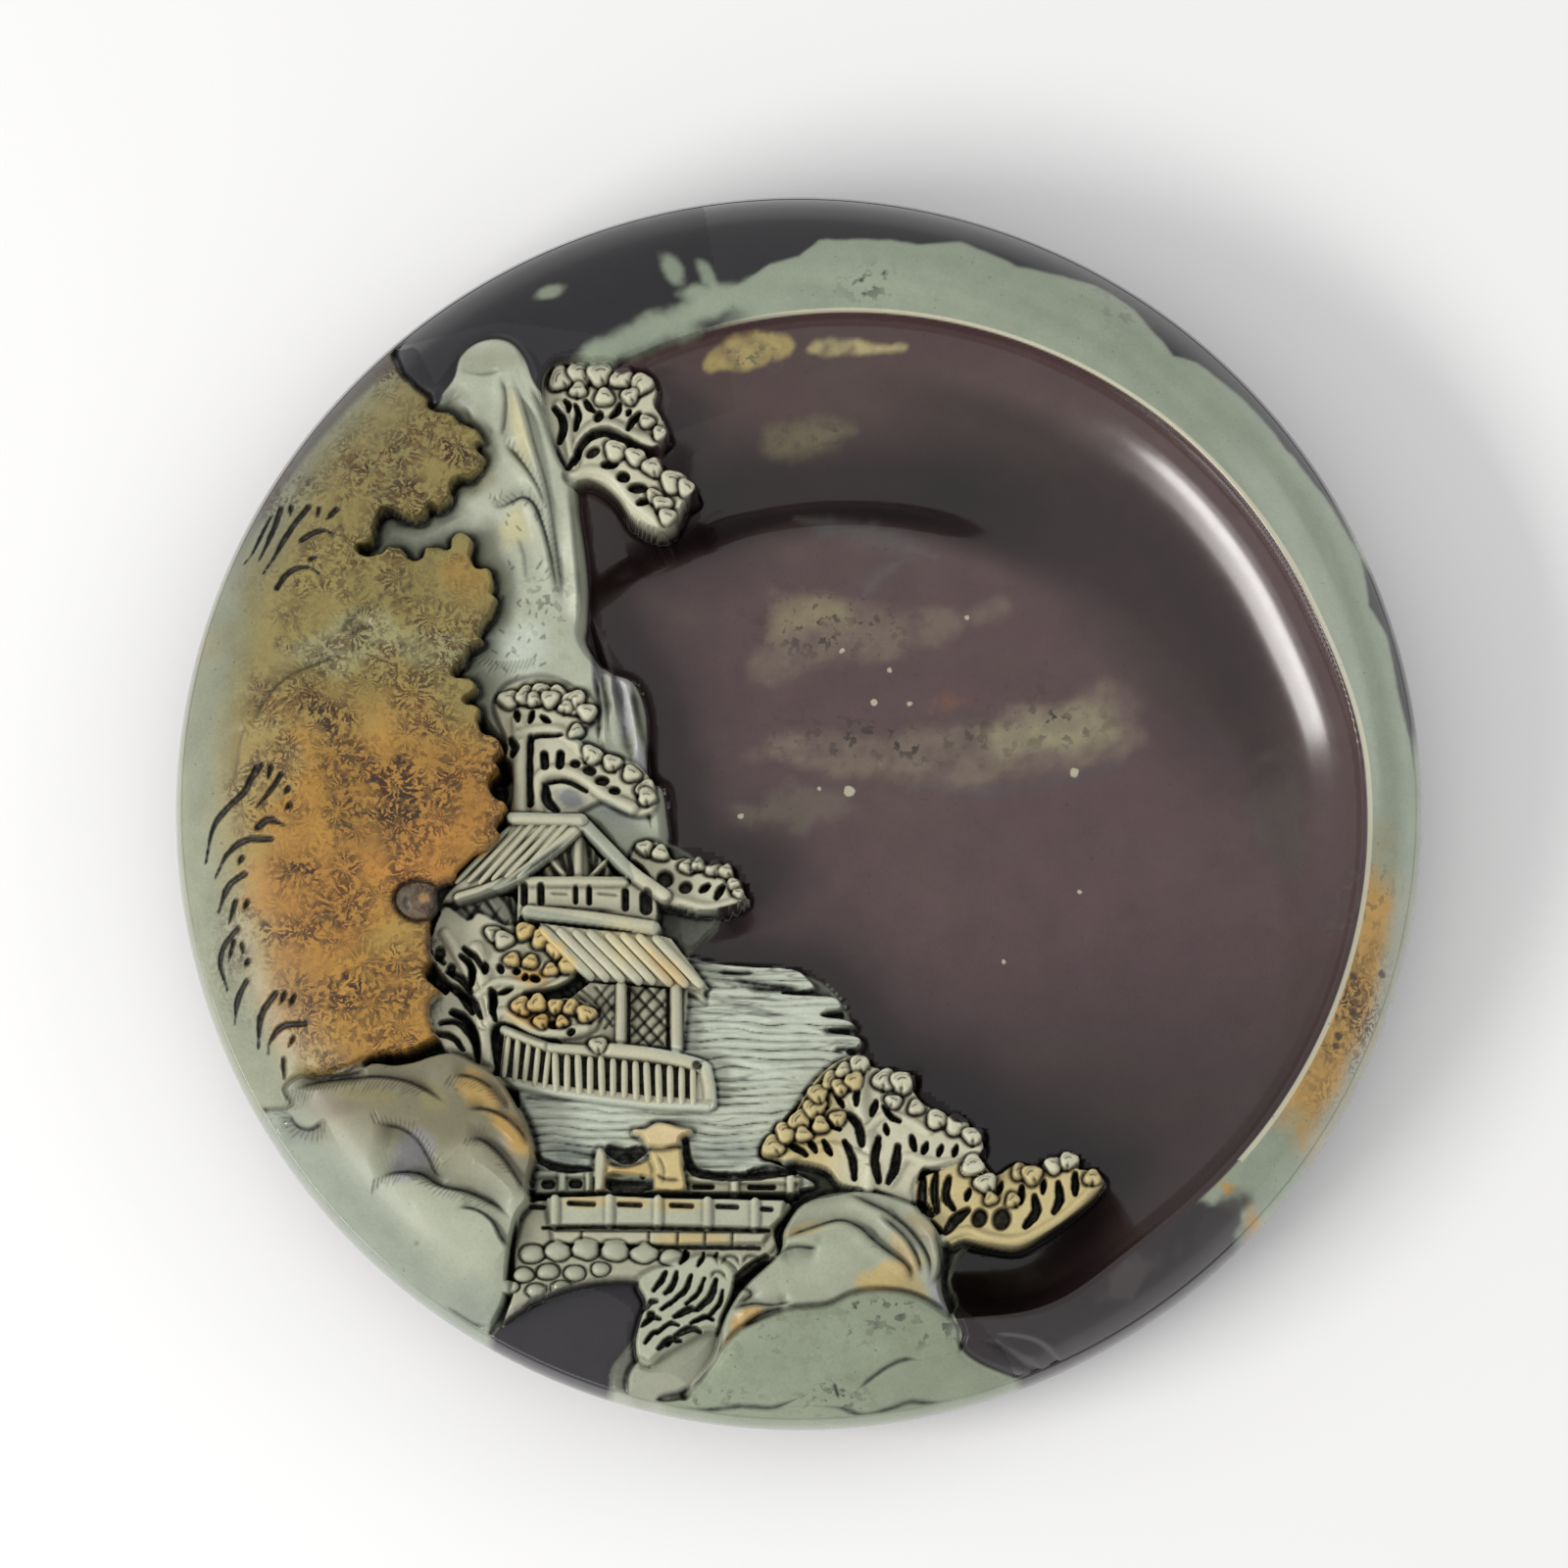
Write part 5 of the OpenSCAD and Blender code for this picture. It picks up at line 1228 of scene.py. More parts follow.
for pts, k in [
    ([(-66.6, -30.4), (-64.1, -32.4), (-62.6, -34.9)], 1.3),
    ([(-69.7, -35.1), (-67, -36.6), (-65.1, -39.3)], 1.5),
    ([(-67.5, -39), (-64.8, -40.8), (-63.1, -44.3)], 1.4),
    ([(-71.3, -45.3), (-67.5, -45.3), (-64.6, -48.8), (-63.8, -51.7)], 1.3),
    ([(-72.3, -47.6), (-69, -48), (-66.6, -50.7)], 1.2),
    ([(-69, -42.8), (-66.6, -43.8), (-64.4, -46)], 1.0),
    ([(-72, -37.3), (-70.3, -38.3)], 1.2),
    ([(-72.3, -31.7), (-70.5, -33.4)], 1.0),
    ([(-61.1, -38.8), (-60.5, -41.8)], 1.6),
]:
    gash(pts, k, 3.5)
AMBER = rgb(202, 178, 120)
row((-54.6, -27.3), (-46.3, -33.9), 0.8, 4, 2.0, 31.8, -10, AMBER, 14)
row((-57.4, -32.8), (-49.8, -35.1), 0.6, 3, 1.6, 31.3, -10, AMBER, 15)
row((-55.3, -42), (-42.3, -43.7), 0.8, 5, 2.0, 31.6, 0, AMBER, 16)
row((-51.3, -45.3), (-47.3, -45.3), 0.0, 2, 1.5, 31.2, 0, AMBER, 17)
row((-61.1, -27.5), (-58.9, -29), 0.2, 2, 1.8, 31.4, 0, None, 18)
tuft(-39.9, -49.7, 1.9, 31.0, 0)
smudge(-53.3, -36.1, 5, 2.6, -10, rgb(196, 158, 92), 0.8, 0.4, 92, 3.0)
smudge(-52.3, -44.7, 7, 2.4, -8, rgb(196, 158, 92), 0.8, 0.4, 93, 3.0)

# Far parapet of the bridge, seen behind the travellers
mass([(-52.5, -74.5), (-40.5, -74.8), (-40.5, -79.6), (-52.5, -79.6)], 27.4, 0.3, 0.4, 0, CLIFF)
mass([(-22.5, -74.5), (-15.4, -76.1), (0.1, -76.1), (0.1, -79.1), (-22.5, -79.1)], 27.4, 0.3, 0.4, 0, HOUSE)
BOARDS = [(-52.1, -75.4), (-40.8, -75.4), (-21.7, -76.4), (-0.4, -76.6)]
for a, b in zip(BOARDS[0::2], BOARDS[1::2]):
    rib([a, b], 1.1, 0.3, top=29.2, ink=0.35)
for x, y, a, b in [
    (-49.7, -77.3, 2.6, 1.6), (-44.3, -77.2, 2.6, 1.6), (-19, -77.8, 4.4, 0.9), (-7.4, -77.9, 5.6, 0.9),
]:
    slot(x, y, b, a, 90, 2.5)
for x, y in [(-47, -77.3), (-41.5, -77.3), (-12.8, -77.6), (-1.7, -77.7)]:
    rib([(x, y + 1.6), (x, y - 1.6)], 1.4, 0.3, top=29.4, ink=0.6)
gash([(-52, -71.5), (-50.6, -73), (-46.5, -74.3), (-41.5, -74.3)], 1.8, 2.5, 0.85)
gash([(-22.5, -68.5), (-22, -72.5), (-19.5, -75.3), (-10.4, -75.8), (-0.9, -74.8)], 2.0, 3.0, 0.9)
gash([(-9.9, -74.8), (-5.4, -74.3), (-0.9, -74.8)], 1.6, 2.5, 0.9)

# Travellers: a small rider in a broad hat and a pack beast, with no faces
CLOTH = rgb(200, 182, 128)
gash([(-37.5, -70.5), (-34.5, -71.7), (-31, -70.5)], 3.2, 3.0)
gash([(-38, -77.1), (-34.5, -78.1), (-30, -77.6)], 3.2, 3.0)
gash([(-31, -75.8), (-29.7, -74.5)], 1.5, 3.0)
mass([
    (-40.3, -71.7), (-38.5, -71), (-37.5, -73.3), (-34.5, -74), (-30.5, -72.8), (-29.5, -71.5),
    (-27.5, -72.5), (-23.2, -71.5), (-23, -75.5), (-22.7, -79.1), (-28.5, -79.1), (-29, -76.6),
    (-33.5, -75.8), (-37.5, -75.8), (-38.5, -79.1), (-40.5, -79.1), (-40, -75.5),
], 30.2, 0.7, 0.5, colour=CLOTH)
mass([
    (-29.7, -70.5), (-23.7, -70), (-23, -73.5), (-22.5, -78.8), (-28.5, -78.6), (-28.7, -74.5),
], 31.0, 0.8, 0.4, colour=CLOTH)
mass([
    (-32.8, -66.4), (-30.5, -66.2), (-28.2, -65), (-26, -65.2), (-24, -65.9), (-21.5, -66.4),
    (-21.2, -67.5), (-23.2, -68.5), (-23.7, -69.9), (-27, -70.6), (-30, -70.1), (-31, -68.7),
    (-32.8, -67.5),
], 31.4, 0.9, 0.5, colour=rgb(212, 192, 146))
rib([(-32.1, -67), (-27.5, -66.4), (-21.7, -67)], 1.6, 0.5)
cut([(-30.5, -70), (-29, -70.7), (-25.5, -70.4), (-23.7, -69.9)], 0.7, 0.5, 0.8)
cut([(-28.7, -75.3), (-26.5, -76.6), (-23, -76.8)], 0.8, 0.6, 0.7)
cut([(-28.2, -71.5), (-26.7, -74.5), (-27, -78.1)], 0.7, 0.4, 0.5)
mass([
    (-40.5, -71.7), (-39.5, -70), (-38.3, -71.5), (-38.5, -75.5), (-39, -79.1), (-40.6, -79.1),
], 30.6, 0.6, 0.4, colour=HOUSE)
smudge(-33.5, -74.5, 5, 1.3, 5, rgb(190, 158, 98), 0.6, 0.3, 94, 2.0)

# Bridge: near parapet with its posts and panels, the coping, the facing stones and the arch
mass([
    (-55.8, -83.1), (-53.6, -80.9), (-49.1, -80.2), (-37.5, -79.9), (-27.5, -80.4), (-17.5, -80.5),
    (-9.9, -80.7), (-1.9, -80.9), (-2.4, -83.6), (-4.7, -86.7), (-3.9, -91.2), (-7.4, -93.3),
    (-12.4, -96.8), (-18.5, -95.8), (-25.5, -95.8), (-30.5, -97.3), (-37.5, -96.8), (-45.5, -98.8),
    (-53.1, -100.9), (-55.6, -104.9), (-58.6, -104.9), (-56.6, -97.8), (-56.8, -91.8), (-56.3, -86.7),
], 29.6, 0.6, 0.6, colour=rgb(166, 166, 144))
mass([
    (-50.1, -80.1), (-37.5, -79.7), (-27.5, -80.2), (-17.5, -80.3), (-2.7, -80.7), (-3.4, -84.2),
    (-5.7, -86.4), (-17.5, -86.1), (-30.5, -85.7), (-49.1, -85.9),
], 31.2, 0.4, 0.5, 0, rgb(176, 178, 156), 0.4)
for x, y in [(-48.3, -82.9), (-37.5, -82.9), (-27.9, -83.1), (-18.1, -83.4), (-8.7, -83.6)]:
    rib([(x, y + 2.6), (x, y - 2.6)], 1.5, 0.3, top=32.0, ink=0.4)
for x, y, s in [
    (-43, -81.6, 5.6), (-33.5, -81.8, 5.0), (-23.2, -82, 4.8), (-14.2, -82.2, 4.6), (-6.4, -82.7, 2.6),
    (-51.8, -82.1, 3.2),
]:
    slot(x, y, 0.8, s, 88, 1.6, 0.95)
rib([(-49.6, -80.5), (-37.5, -80.1), (-27.5, -80.5), (-17.5, -80.6), (-2.9, -81)], 1.2, 0.3)
gash([(-50.6, -86.2), (-40.5, -86), (-25.5, -86.3), (-5.9, -86.7)], 0.45, 2.0, 0.9, "none")
gash([(-52.5, -79.5), (-37.5, -79.2), (-20.5, -79.3), (-0.4, -79.7)], 0.7, 2.2, 0.95, "none")
mass([
    (-48.8, -86.9), (-25.5, -87.1), (-6.2, -87.3), (-7.2, -89.3), (-25.5, -89.6), (-48.3, -89.3),
], 31.0, 0.35, 0.4, 0, rgb(180, 178, 152), 0.4)
for x, y in [(-43, -88.1), (-29.7, -88.2), (-24, -88.3), (-18.6, -88.4), (-13.2, -88.4)]:
    cut([(x, y + 1.1), (x, y - 1.1)], 0.6, 0.8, 0.85, "none")
gash([(-47.5, -89.8), (-30.5, -90), (-7.9, -90.2)], 0.7, 1.8, 0.95, "none")
for x, y, s in [(-43, -81.1, 5), (-23.2, -82.1, 6), (-33.5, -81.4, 4), (-20.5, -88.5, 9)]:
    smudge(x, y, s, 1.6, 0, rgb(196, 172, 110), 0.7, 0.5, 97, 3.0)
FACE = [
    (-52.8, -91.4), (-47.6, -90.8), (-42.2, -90.5), (-36.4, -90.8), (-30.6, -91.2), (-25.1, -92),
    (-54.6, -95.6), (-49.6, -94.9), (-44.5, -95.2), (-52, -98.6), (-46.9, -98), (-39.2, -94.4),
    (-57.2, -97.9),
]
for (x, y), s in zip(FACE, [0.95, 1.0, 1.05, 1.1, 1.05, 0.9, 0.8, 0.85, 0.8, 0.75, 0.75, 0.7, 0.7]):
    w = window([(x, y)], 4.0)
    dist = np.hypot((X[w] - x) / (2.85 * s), (Y[w] - y) / (1.95 * s)) + 0.12 * noise(X[w], Y[w], 1.6, 98)
    cobble = smoothstep(1.0, 0.8, dist)
    crown = 29.2 + 1.7 * np.sqrt(np.clip(1 - dist ** 2, 0, 1))
    Z[w] = Z[w] * (1 - cobble) + crown * cobble - 0.9 * bell(dist - 1.04, 0.12)
    INK_AND_SHADE[w] = np.maximum(INK_AND_SHADE[w] * (1 - cobble), 0.8 * bell(dist - 1.02, 0.11))
    paint(w, cobble, rgb(168, 172, 150), 0.6)
gash([(-22, -91.2), (-23, -93.8), (-25, -95.5)], 1.1, 2.5, 0.9)
gash([(-16.2, -91.2), (-17.2, -92.8), (-19, -94.3)], 0.9, 2.0, 0.85)
gash([(-6.4, -91.8), (-9.4, -93.8), (-12.4, -96.3), (-15.4, -97.8)], 1.8, 4.0, 0.9)

# The dark opening under the arch
w, d = mass([
    (-63.1, -109.6), (-60.6, -106.5), (-57.9, -104), (-53.1, -101), (-47.1, -98.2), (-40.1, -96.6),
    (-32.5, -96.4), (-29.4, -98.2), (-30.3, -102), (-32, -106.5), (-34.8, -110.6), (-37, -113.6),
    (-37.3, -117.7), (-36.1, -124.8), (-50.1, -121.7), (-60.1, -116.7),
], lambda w, d: np.minimum(BLANK[w], 22.6), 0.7, 0.3, colour=rgb(47, 44, 49))
INK_AND_SHADE[w] = np.maximum(INK_AND_SHADE[w] * (1 - smoothstep(0.3, 1.5, d)), 0.5 * bell(np.maximum(d, 0), 1.2) * (d > 0))

# Left boulders, rolled over one another, and the smooth slope in front of them
LEFT = [
    (-101.7, -62.5), (-101.7, -58.4), (-98.7, -56.4), (-95.2, -56.7), (-91.2, -55.4), (-87.2, -54.1),
    (-84.2, -52.9), (-80.2, -53.4), (-76.2, -52.8), (-72.7, -51.7), (-68.7, -51.2), (-63.6, -53.4),
    (-59.1, -56.2), (-55.9, -61), (-53.1, -66.5), (-52, -72.1), (-53.1, -77.2), (-52.9, -81.2),
    (-55.1, -84.3), (-56.4, -89.3), (-57.1, -94.4), (-57.7, -100.5), (-61.1, -106), (-64.1, -111.6),
    (-70.2, -116.7), (-105.3, -116.7), (-125.3, -91.3), (-125.3, -62.5),
]
w, d = mass(LEFT, lambda w, d: BLANK[w] - 0.6 * bell(np.maximum(d, 0), 2.0), 1.2, 0.9, colour=ROCK)
left = smoothstep(-0.2, 0.2, d)
paint(w, left, ROCK * (1 + 0.06 * noise(X[w], Y[w], 14.0, 101, 3)[..., None]))
paint(w, left * smoothstep(-80, -64, Y[w] + 0.25 * (X[w] + 80)), rgb(116, 108, 80), 0.85)
ROLLS = [
    ([
        (-101.7, -58.9), (-95.2, -57.2), (-88.2, -56.7), (-82.2, -56.7), (-77.2, -57.7), (-73.2, -59.7),
        (-68.9, -62.5),
    ], 3.4, 1.5, 1.0),
    ([(-98.2, -54.9), (-94.2, -56.4), (-89.7, -56.2), (-85.2, -55.4)], 2.2, 1.0, -1.0),
    ([(-69.2, -56.4), (-65.1, -56.7), (-61.6, -58.4), (-58.6, -61.5), (-56.9, -64.5)], 2.6, 1.2, 1.0),
    ([(-66.1, -63.2), (-62.1, -63.2), (-58.1, -64.8), (-55.1, -67.5), (-53.1, -71.1)], 2.6, 1.3, 1.0),
    ([
        (-84.2, -66), (-79.2, -66.8), (-75.7, -69.1), (-73.4, -72.6), (-71.9, -75.6), (-69.2, -77.4),
    ], 4.0, 1.7, -1.0),
    ([
        (-84.4, -76.8), (-79.7, -75.4), (-74.7, -75.7), (-70.7, -78.2), (-65.1, -79.6), (-60.1, -82),
        (-56.1, -85.3),
    ], 3.4, 1.9, 1.0),
    ([(-66.1, -69.1), (-62.6, -69.3), (-59.1, -72.1), (-56.1, -76.2), (-53.4, -80.7)], 3.0, 1.5, 1.0),
    ([(-68.4, -82.6), (-64.1, -83), (-60.6, -85.3), (-58.6, -88.8), (-56.4, -91.1)], 2.8, 1.4, 1.0),
    ([(-101.7, -62.5), (-99.7, -65.5), (-96.7, -66.5), (-93.7, -65)], 2.4, 1.3, -1.0),
]
for pts, width, depth, side in ROLLS:
    fold(pts, 1.2 * width, 1.15 * depth, side, 0.95)
cut([(-70.2, -101), (-67.1, -103), (-63.6, -104.9), (-60.6, -104.8)], 0.8, 0.5, 0.5)
for n, last, side, reach, seed in [
    (0, 6, -1.0, 4.0, 61), (2, 4, -1.0, 3.0, 62), (4, 5, 1.0, 2.6, 63), (5, 6, -1.0, 3.0, 64),
    (6, 4, -1.0, 2.4, 65), (8, 4, -1.0, 3.0, 66),
]:
    hatch(ROLLS[n][0][:last], side, reach, 0.85, 0.5, seed)
speck(-75.7, -89.3, 0.55, rgb(60, 60, 52), 0.9)
stained(
    w,
    left,
    [
        (-63.1, -59.7, 7, 3.6, -35, rgb(182, 150, 84), 0.85),
        (-57.1, -67.5, 7, 3.0, -45, rgb(188, 150, 78), 0.85),
        (-76.2, -72.1, 4, 7, -30, rgb(138, 136, 140), 0.8),
        (-65.1, -74.1, 6, 6, 0, rgb(156, 154, 128), 0.6),
        (-93.2, -62.5, 8, 3, 0, rgb(112, 100, 76), 0.7),
        (-85.2, -60.5, 8, 2.5, -10, rgb(130, 120, 80), 0.7),
        (-72.7, -60.5, 5, 3, -30, rgb(140, 132, 90), 0.7),
        (-90.2, -86.3, 16, 8, -35, rgb(156, 158, 132), 0.5),
        (-98.2, -70.1, 5, 9, 20, rgb(172, 158, 116), 0.7),
    ],
    [],
    0.45,
    4.0,
)
outer = smoothstep(112, 120, rad[w] + 2.0 * noise(X[w], Y[w], 12.0, 102, 3)) * left
paint(w, outer, rgb(140, 147, 132))

# Right boulders
RIGHT = [
    (-22.7, -118.6), (-17.7, -109.7), (-15.2, -103.1), (-11.4, -97.4), (-4.5, -90.8), (-3.6, -86.3),
    (0.5, -80.7), (8, -78.4), (15.6, -78.4), (23.7, -81.2), (28.4, -86.9), (29, -91.3), (28.6, -98.3),
    (30.9, -104.3), (31.9, -109.1), (24.3, -115.4), (-13.3, -121.7),
]
w, d = mass(RIGHT, lambda w, d: np.minimum(BLANK[w], 34.2 - 0.05 * np.maximum(-72 - Y[w], 0)),
    1.6, 0.9, colour=ROCK)
right = smoothstep(-0.2, 0.2, d)
for pts, width, depth, side in [
    ([(-3.6, -89.4), (-2, -88.2), (3, -86.3), (8, -85), (11.8, -86.3), (15.6, -89.4)], 2.6, 1.3, 1.0),
    ([(8, -78.7), (13, -81.2), (18.1, -83.8), (22.4, -87.5), (25.6, -92.6), (25.9, -98.3)], 2.6, 1.2, 1.0),
    ([(15.6, -83.8), (18.7, -86.3), (21.2, -88.8), (23.4, -92.6), (24.3, -96.4)], 2.2, 1.2, 1.0),
    ([(11.8, -86.3), (16.2, -90.1), (21.2, -93.9), (22.4, -97.7)], 2.4, 1.3, 1.0),
    ([(-0.8, -80), (5.5, -80.3), (11.8, -78.7)], 1.8, 0.8, -1.0),
    ([(-4.5, -91.7), (-0.8, -90.4), (4.3, -90.8)], 2.2, 1.0, -1.0),
    ([(-13.9, -102.7), (-9.5, -101.5), (-5.1, -101.8), (-0.8, -100.8)], 2.2, 1.1, 1.0),
    ([(-11.4, -106.5), (-7, -103.4), (-2, -102.1)], 2.4, 1.1, -1.0),
    ([(-12.7, -97), (-9.5, -99.6), (-12, -101.5)], 1.6, 0.8, 1.0),
    ([(26.8, -86.3), (28.1, -93.9), (26.2, -98.3)], 2.0, 1.0, 1.0),
]:
    fold(pts, 1.1 * width, 1.1 * depth, side, 0.85)
stained(
    w,
    right,
    [
        (17.4, -96.4, 9, 3.4, 25, rgb(196, 170, 108), 0.8),
        (21.8, -98.3, 6, 3, -60, rgb(178, 156, 104), 0.7),
        (20.6, -91.3, 5, 2.2, -55, rgb(190, 170, 124), 0.8),
        (24.3, -86.3, 5, 2.4, -50, rgb(150, 136, 98), 0.8),
        (3, -86.3, 7, 1.6, 15, rgb(190, 174, 128), 0.8),
        (-10.8, -104.6, 5, 2.0, 35, rgb(190, 158, 96), 0.85),
        (-13.3, -108.4, 4, 1.6, 55, rgb(190, 158, 96), 0.8),
        (10.5, -83.8, 9, 3.0, 10, rgb(172, 176, 152), 0.8),
        (5.5, -93.9, 11, 5, 15, rgb(166, 172, 150), 0.8),
    ],
    [],
    0.4,
    4.0,
)

# A painted highlight: a grey-lilac band along the right boulder's right edge
smudge(27.7, -100.4, 1.8, 6, 25, rgb(150, 150, 156), 0.8, 0.3, 99, 3.0)

# Near shore, the broad slope that runs down to the stone's edge
SHORE = [
    (5.5, -101.8), (10.5, -99.6), (15.6, -98.8), (21.8, -99.6), (26.8, -102.1), (30.9, -105.9),
    (31.5, -109.7), (35.6, -112.9), (43.1, -115.4), (48.8, -116.7), (36.9, -128.1), (-25.8, -130),
    (-35.9, -121.1), (-22.1, -119.2), (-15.8, -111.6), (-11.4, -106.5), (-2.6, -102.7),
]
w, d = mass(SHORE, lambda w, d: np.minimum(BLANK[w], 34.6) - 0.5 * bell(np.maximum(d, 0), 1.5),
    1.0, 0.8, colour=ROCK * 0.97)
near = smoothstep(-0.2, 0.2, d)
paint(w, near, rgb(141, 150, 128) * (1 + 0.06 * noise(X[w], Y[w], 12.0, 103, 3)[..., None]))
for pts, k in [
    ([(11.2, -118.6), (14.3, -116), (18.1, -113.5), (21.2, -112.4), (24.3, -112.6)], 0.9),
    ([(-25.8, -120.5), (-19.6, -121.7), (-11.4, -121.1), (-5.8, -121.4), (-2, -120.5), (1.8, -118.9)], 0.9),
    ([
        (3, -121.1), (8, -121.4), (13, -122.7), (18.1, -121.4), (22.4, -120.1), (28.1, -120.5),
        (34.4, -119.5), (40.6, -118.9),
    ], 1.0),
    ([(6.8, -116.7), (8, -119.8)], 0.7),
]:
    cut(pts, k, 0.6, 0.75)
stained(
    w,
    near,
    [],
    [
        (14.9, -104.6, 10, 5, 1.0), (26.2, -106.5, 6, 4, 0.9), (3, -99.6, 7, 4, 0.8),
        (6.8, -119.8, 6, 3, 0.8), (-19.6, -119.8, 10, 3, 0.7), (-3.9, -108.4, 10, 5, 0.4),
    ],
    0.4,
    4.0,
)

# Shrub and pale boulder under the bridge's right end
mass([
    (-32, -96.9), (-29, -94.4), (-25, -93.4), (-18.5, -91.3), (-13, -94.4), (-13, -98.9), (-15, -104),
    (-16, -107), (-20, -109.6), (-26, -113.1), (-31, -113.6), (-32.5, -109.1), (-31.5, -104),
    (-30.5, -100.5),
], 30.2, 0.7, 0.5, colour=rgb(174, 178, 154), ink=0.4)
for k, pts in enumerate([
    [(-24.4, -100.3), (-22.5, -98.6), (-21.3, -95.7)],
    [(-22.3, -101.4), (-20.0, -99.3), (-18.7, -96.3)],
    [(-20.0, -102.4), (-17.5, -99.9), (-16.4, -96.6)],
    [(-17.9, -103.9), (-15.8, -101.4), (-15.1, -98.7)],
    [(-26.4, -99.3), (-24.9, -97.6), (-24.2, -95.1)],
    [(-28.7, -98.6), (-27.2, -96.8), (-26.4, -95.1)],
    [(-27.2, -102.4), (-24.9, -100.8), (-24.4, -100.5)],
    [(-24.5, -103.9), (-21.7, -102.4), (-20.6, -102.4)],
    [(-21.3, -105.2), (-18.5, -103.9), (-17.0, -104.5)],
    [(-30.6, -102.4), (-29.3, -101.0), (-28.1, -100.8)],
    [(-31.0, -105.6), (-28.9, -104.1), (-27.6, -104.3)],
    [(-28.1, -107.2), (-25.5, -105.2), (-23.8, -105.6)],
    [(-24.4, -107.5), (-21.3, -106.2), (-19.6, -106.8)],
    [(-30.4, -109.1), (-28.9, -107.2), (-28.1, -106.8)],
    [(-27.8, -110.2), (-25.5, -108.3), (-23.4, -108.7)],
    [(-23.4, -93.2), (-22.7, -91.9), (-22.5, -90.7)],
    [(-20.0, -93.8), (-19.1, -92.2), (-18.9, -91.3)],
    [(-29.7, -104.1), (-29.3, -103.5), (-28.9, -103.3)],
    [(-26.1, -109.5), (-25.7, -109.1), (-25.3, -108.9)],
]):
    gash(pts, (1.1, 0.8, 1.4, 0.9, 1.2)[k % 5], 3.0)
for pts in [
    [(-19.8, -94.3), (-18.7, -92.0), (-16.8, -91.9), (-15.8, -94.0)],
    [(-15.5, -94.0), (-14.5, -92.0), (-12.6, -92.0), (-11.7, -93.8)],
    [(-11.3, -93.6), (-10.3, -91.9), (-8.4, -91.9), (-7.3, -93.4)],
    [(-17.5, -96.6), (-16.8, -95.1), (-15.3, -95.1), (-14.3, -96.6)],
]:
    cut(pts, 0.7, 0.6, 0.75)
mass(
    [
        (-29.5, -113.1), (-27, -111.1), (-22.5, -108.6), (-18.5, -106.5), (-15.7, -107), (-16.2, -111.1),
        (-19.5, -115.7), (-23, -118.2), (-27.5, -119.2), (-29.5, -121.7), (-33, -120.7), (-34, -115.7),
        (-32, -112.1),
    ],
    lambda w, d: np.minimum(BLANK[w], 26.5 + 2.2 * np.sqrt(np.clip(d / 4.0, 0, 1))),
    0.8,
    0.6,
    colour=rgb(150, 152, 134),
)

# Right pine and low pine, yellow on their left and green on their right
YELLOW = rgb(200, 184, 134)
w, d = mass([
    (-7.3, -71.7), (-5.5, -67.9), (-2, -64.8), (0.5, -60.6), (4, -55.9), (8, -52.7), (12.1, -51.6),
    (14.6, -54), (18.1, -54.6), (21.5, -55.8), (23.1, -59.4), (25.6, -61.9), (28.4, -62.9), (30.6, -65.4),
    (33.7, -65.9), (36.6, -69.2), (35.6, -71.8), (31.9, -73.9), (28.1, -74.4), (24.6, -74.6), (23.4, -78.1),
    (23.1, -81.5), (15.6, -79.2), (8.7, -77.9), (5.5, -74.6), (-0.4, -73.1), (-4.5, -72.7),
], 31.0, 0.35, 0.5, colour=BONE)
paint(w, smoothstep(-0.3, 0.3, d) * smoothstep(12, 4, X[w] + 0.4 * noise(X[w], Y[w], 5.0, 104)), YELLOW)
rib([(13.7, -78.1), (14, -72.4), (13, -66.7), (11.8, -60.3), (12.4, -54.6)], 2.6, 0.9, top=32.6)
rib([(14, -73), (8, -70.5), (3, -70.5), (-2.6, -72.4)], 2.0, 0.8, top=32.2)
rib([(18.1, -77.4), (21.2, -72.4), (26.2, -73.6), (31.9, -73), (35.6, -70.8)], 2.0, 0.8, top=32.2)
rib([(13, -67.3), (16.8, -64.1), (21.2, -64.8), (25.6, -67.3)], 1.8, 0.7, top=32.0)
for pts, k in [
    ([(9.8, -63.8), (11.8, -66), (12.5, -69.8)], 1.8),
    ([(9, -69.2), (10.5, -72.4), (11, -76.5)], 1.6),
    ([(15.7, -68.6), (14.9, -73), (15.7, -77.1)], 1.7),
    ([(19.6, -70.1), (19, -74.3), (17.7, -77.3)], 1.9),
    ([(15.2, -61.3), (14.4, -63.8)], 1.5),
    ([(11.5, -58.7), (11.3, -61.9)], 1.4),
    ([(-2.6, -69.2), (-0.1, -70.8), (1.4, -71.8)], 1.5),
    ([(2.1, -69.2), (3.3, -71.1)], 1.4),
    ([(4.9, -69.2), (6.3, -71.7)], 1.4),
    ([(5.5, -65.1), (8, -66.7)], 1.3),
    ([(1.1, -64.8), (4.3, -66.7)], 1.2),
    ([(22.3, -68.2), (22.8, -70.8)], 1.4),
    ([(25.3, -69.5), (24.6, -71.4)], 1.3),
    ([(28.2, -70.1), (27.6, -71.8)], 1.2),
    ([(31.2, -70.1), (30.6, -72)], 1.2),
    ([(16.8, -62.2), (18.1, -64.1), (19.9, -65.1)], 1.3),
    ([(3, -62.2), (5.5, -62.4)], 1.1),
    ([(7.4, -60), (8.7, -62.2)], 1.1),
    ([(17.1, -66), (17.4, -67.6)], 1.2),
]:
    gash(pts, k)
row((-5.5, -70.5), (3, -62.9), 0.6, 4, 2.2, 33.4, 20, YELLOW, 21)
row((3.6, -59.7), (11.8, -54), 0.6, 4, 2.2, 33.6, 15, None, 22)
row((0.5, -67.9), (7.4, -64.8), 0.4, 3, 1.7, 33.0, 10, YELLOW, 23)
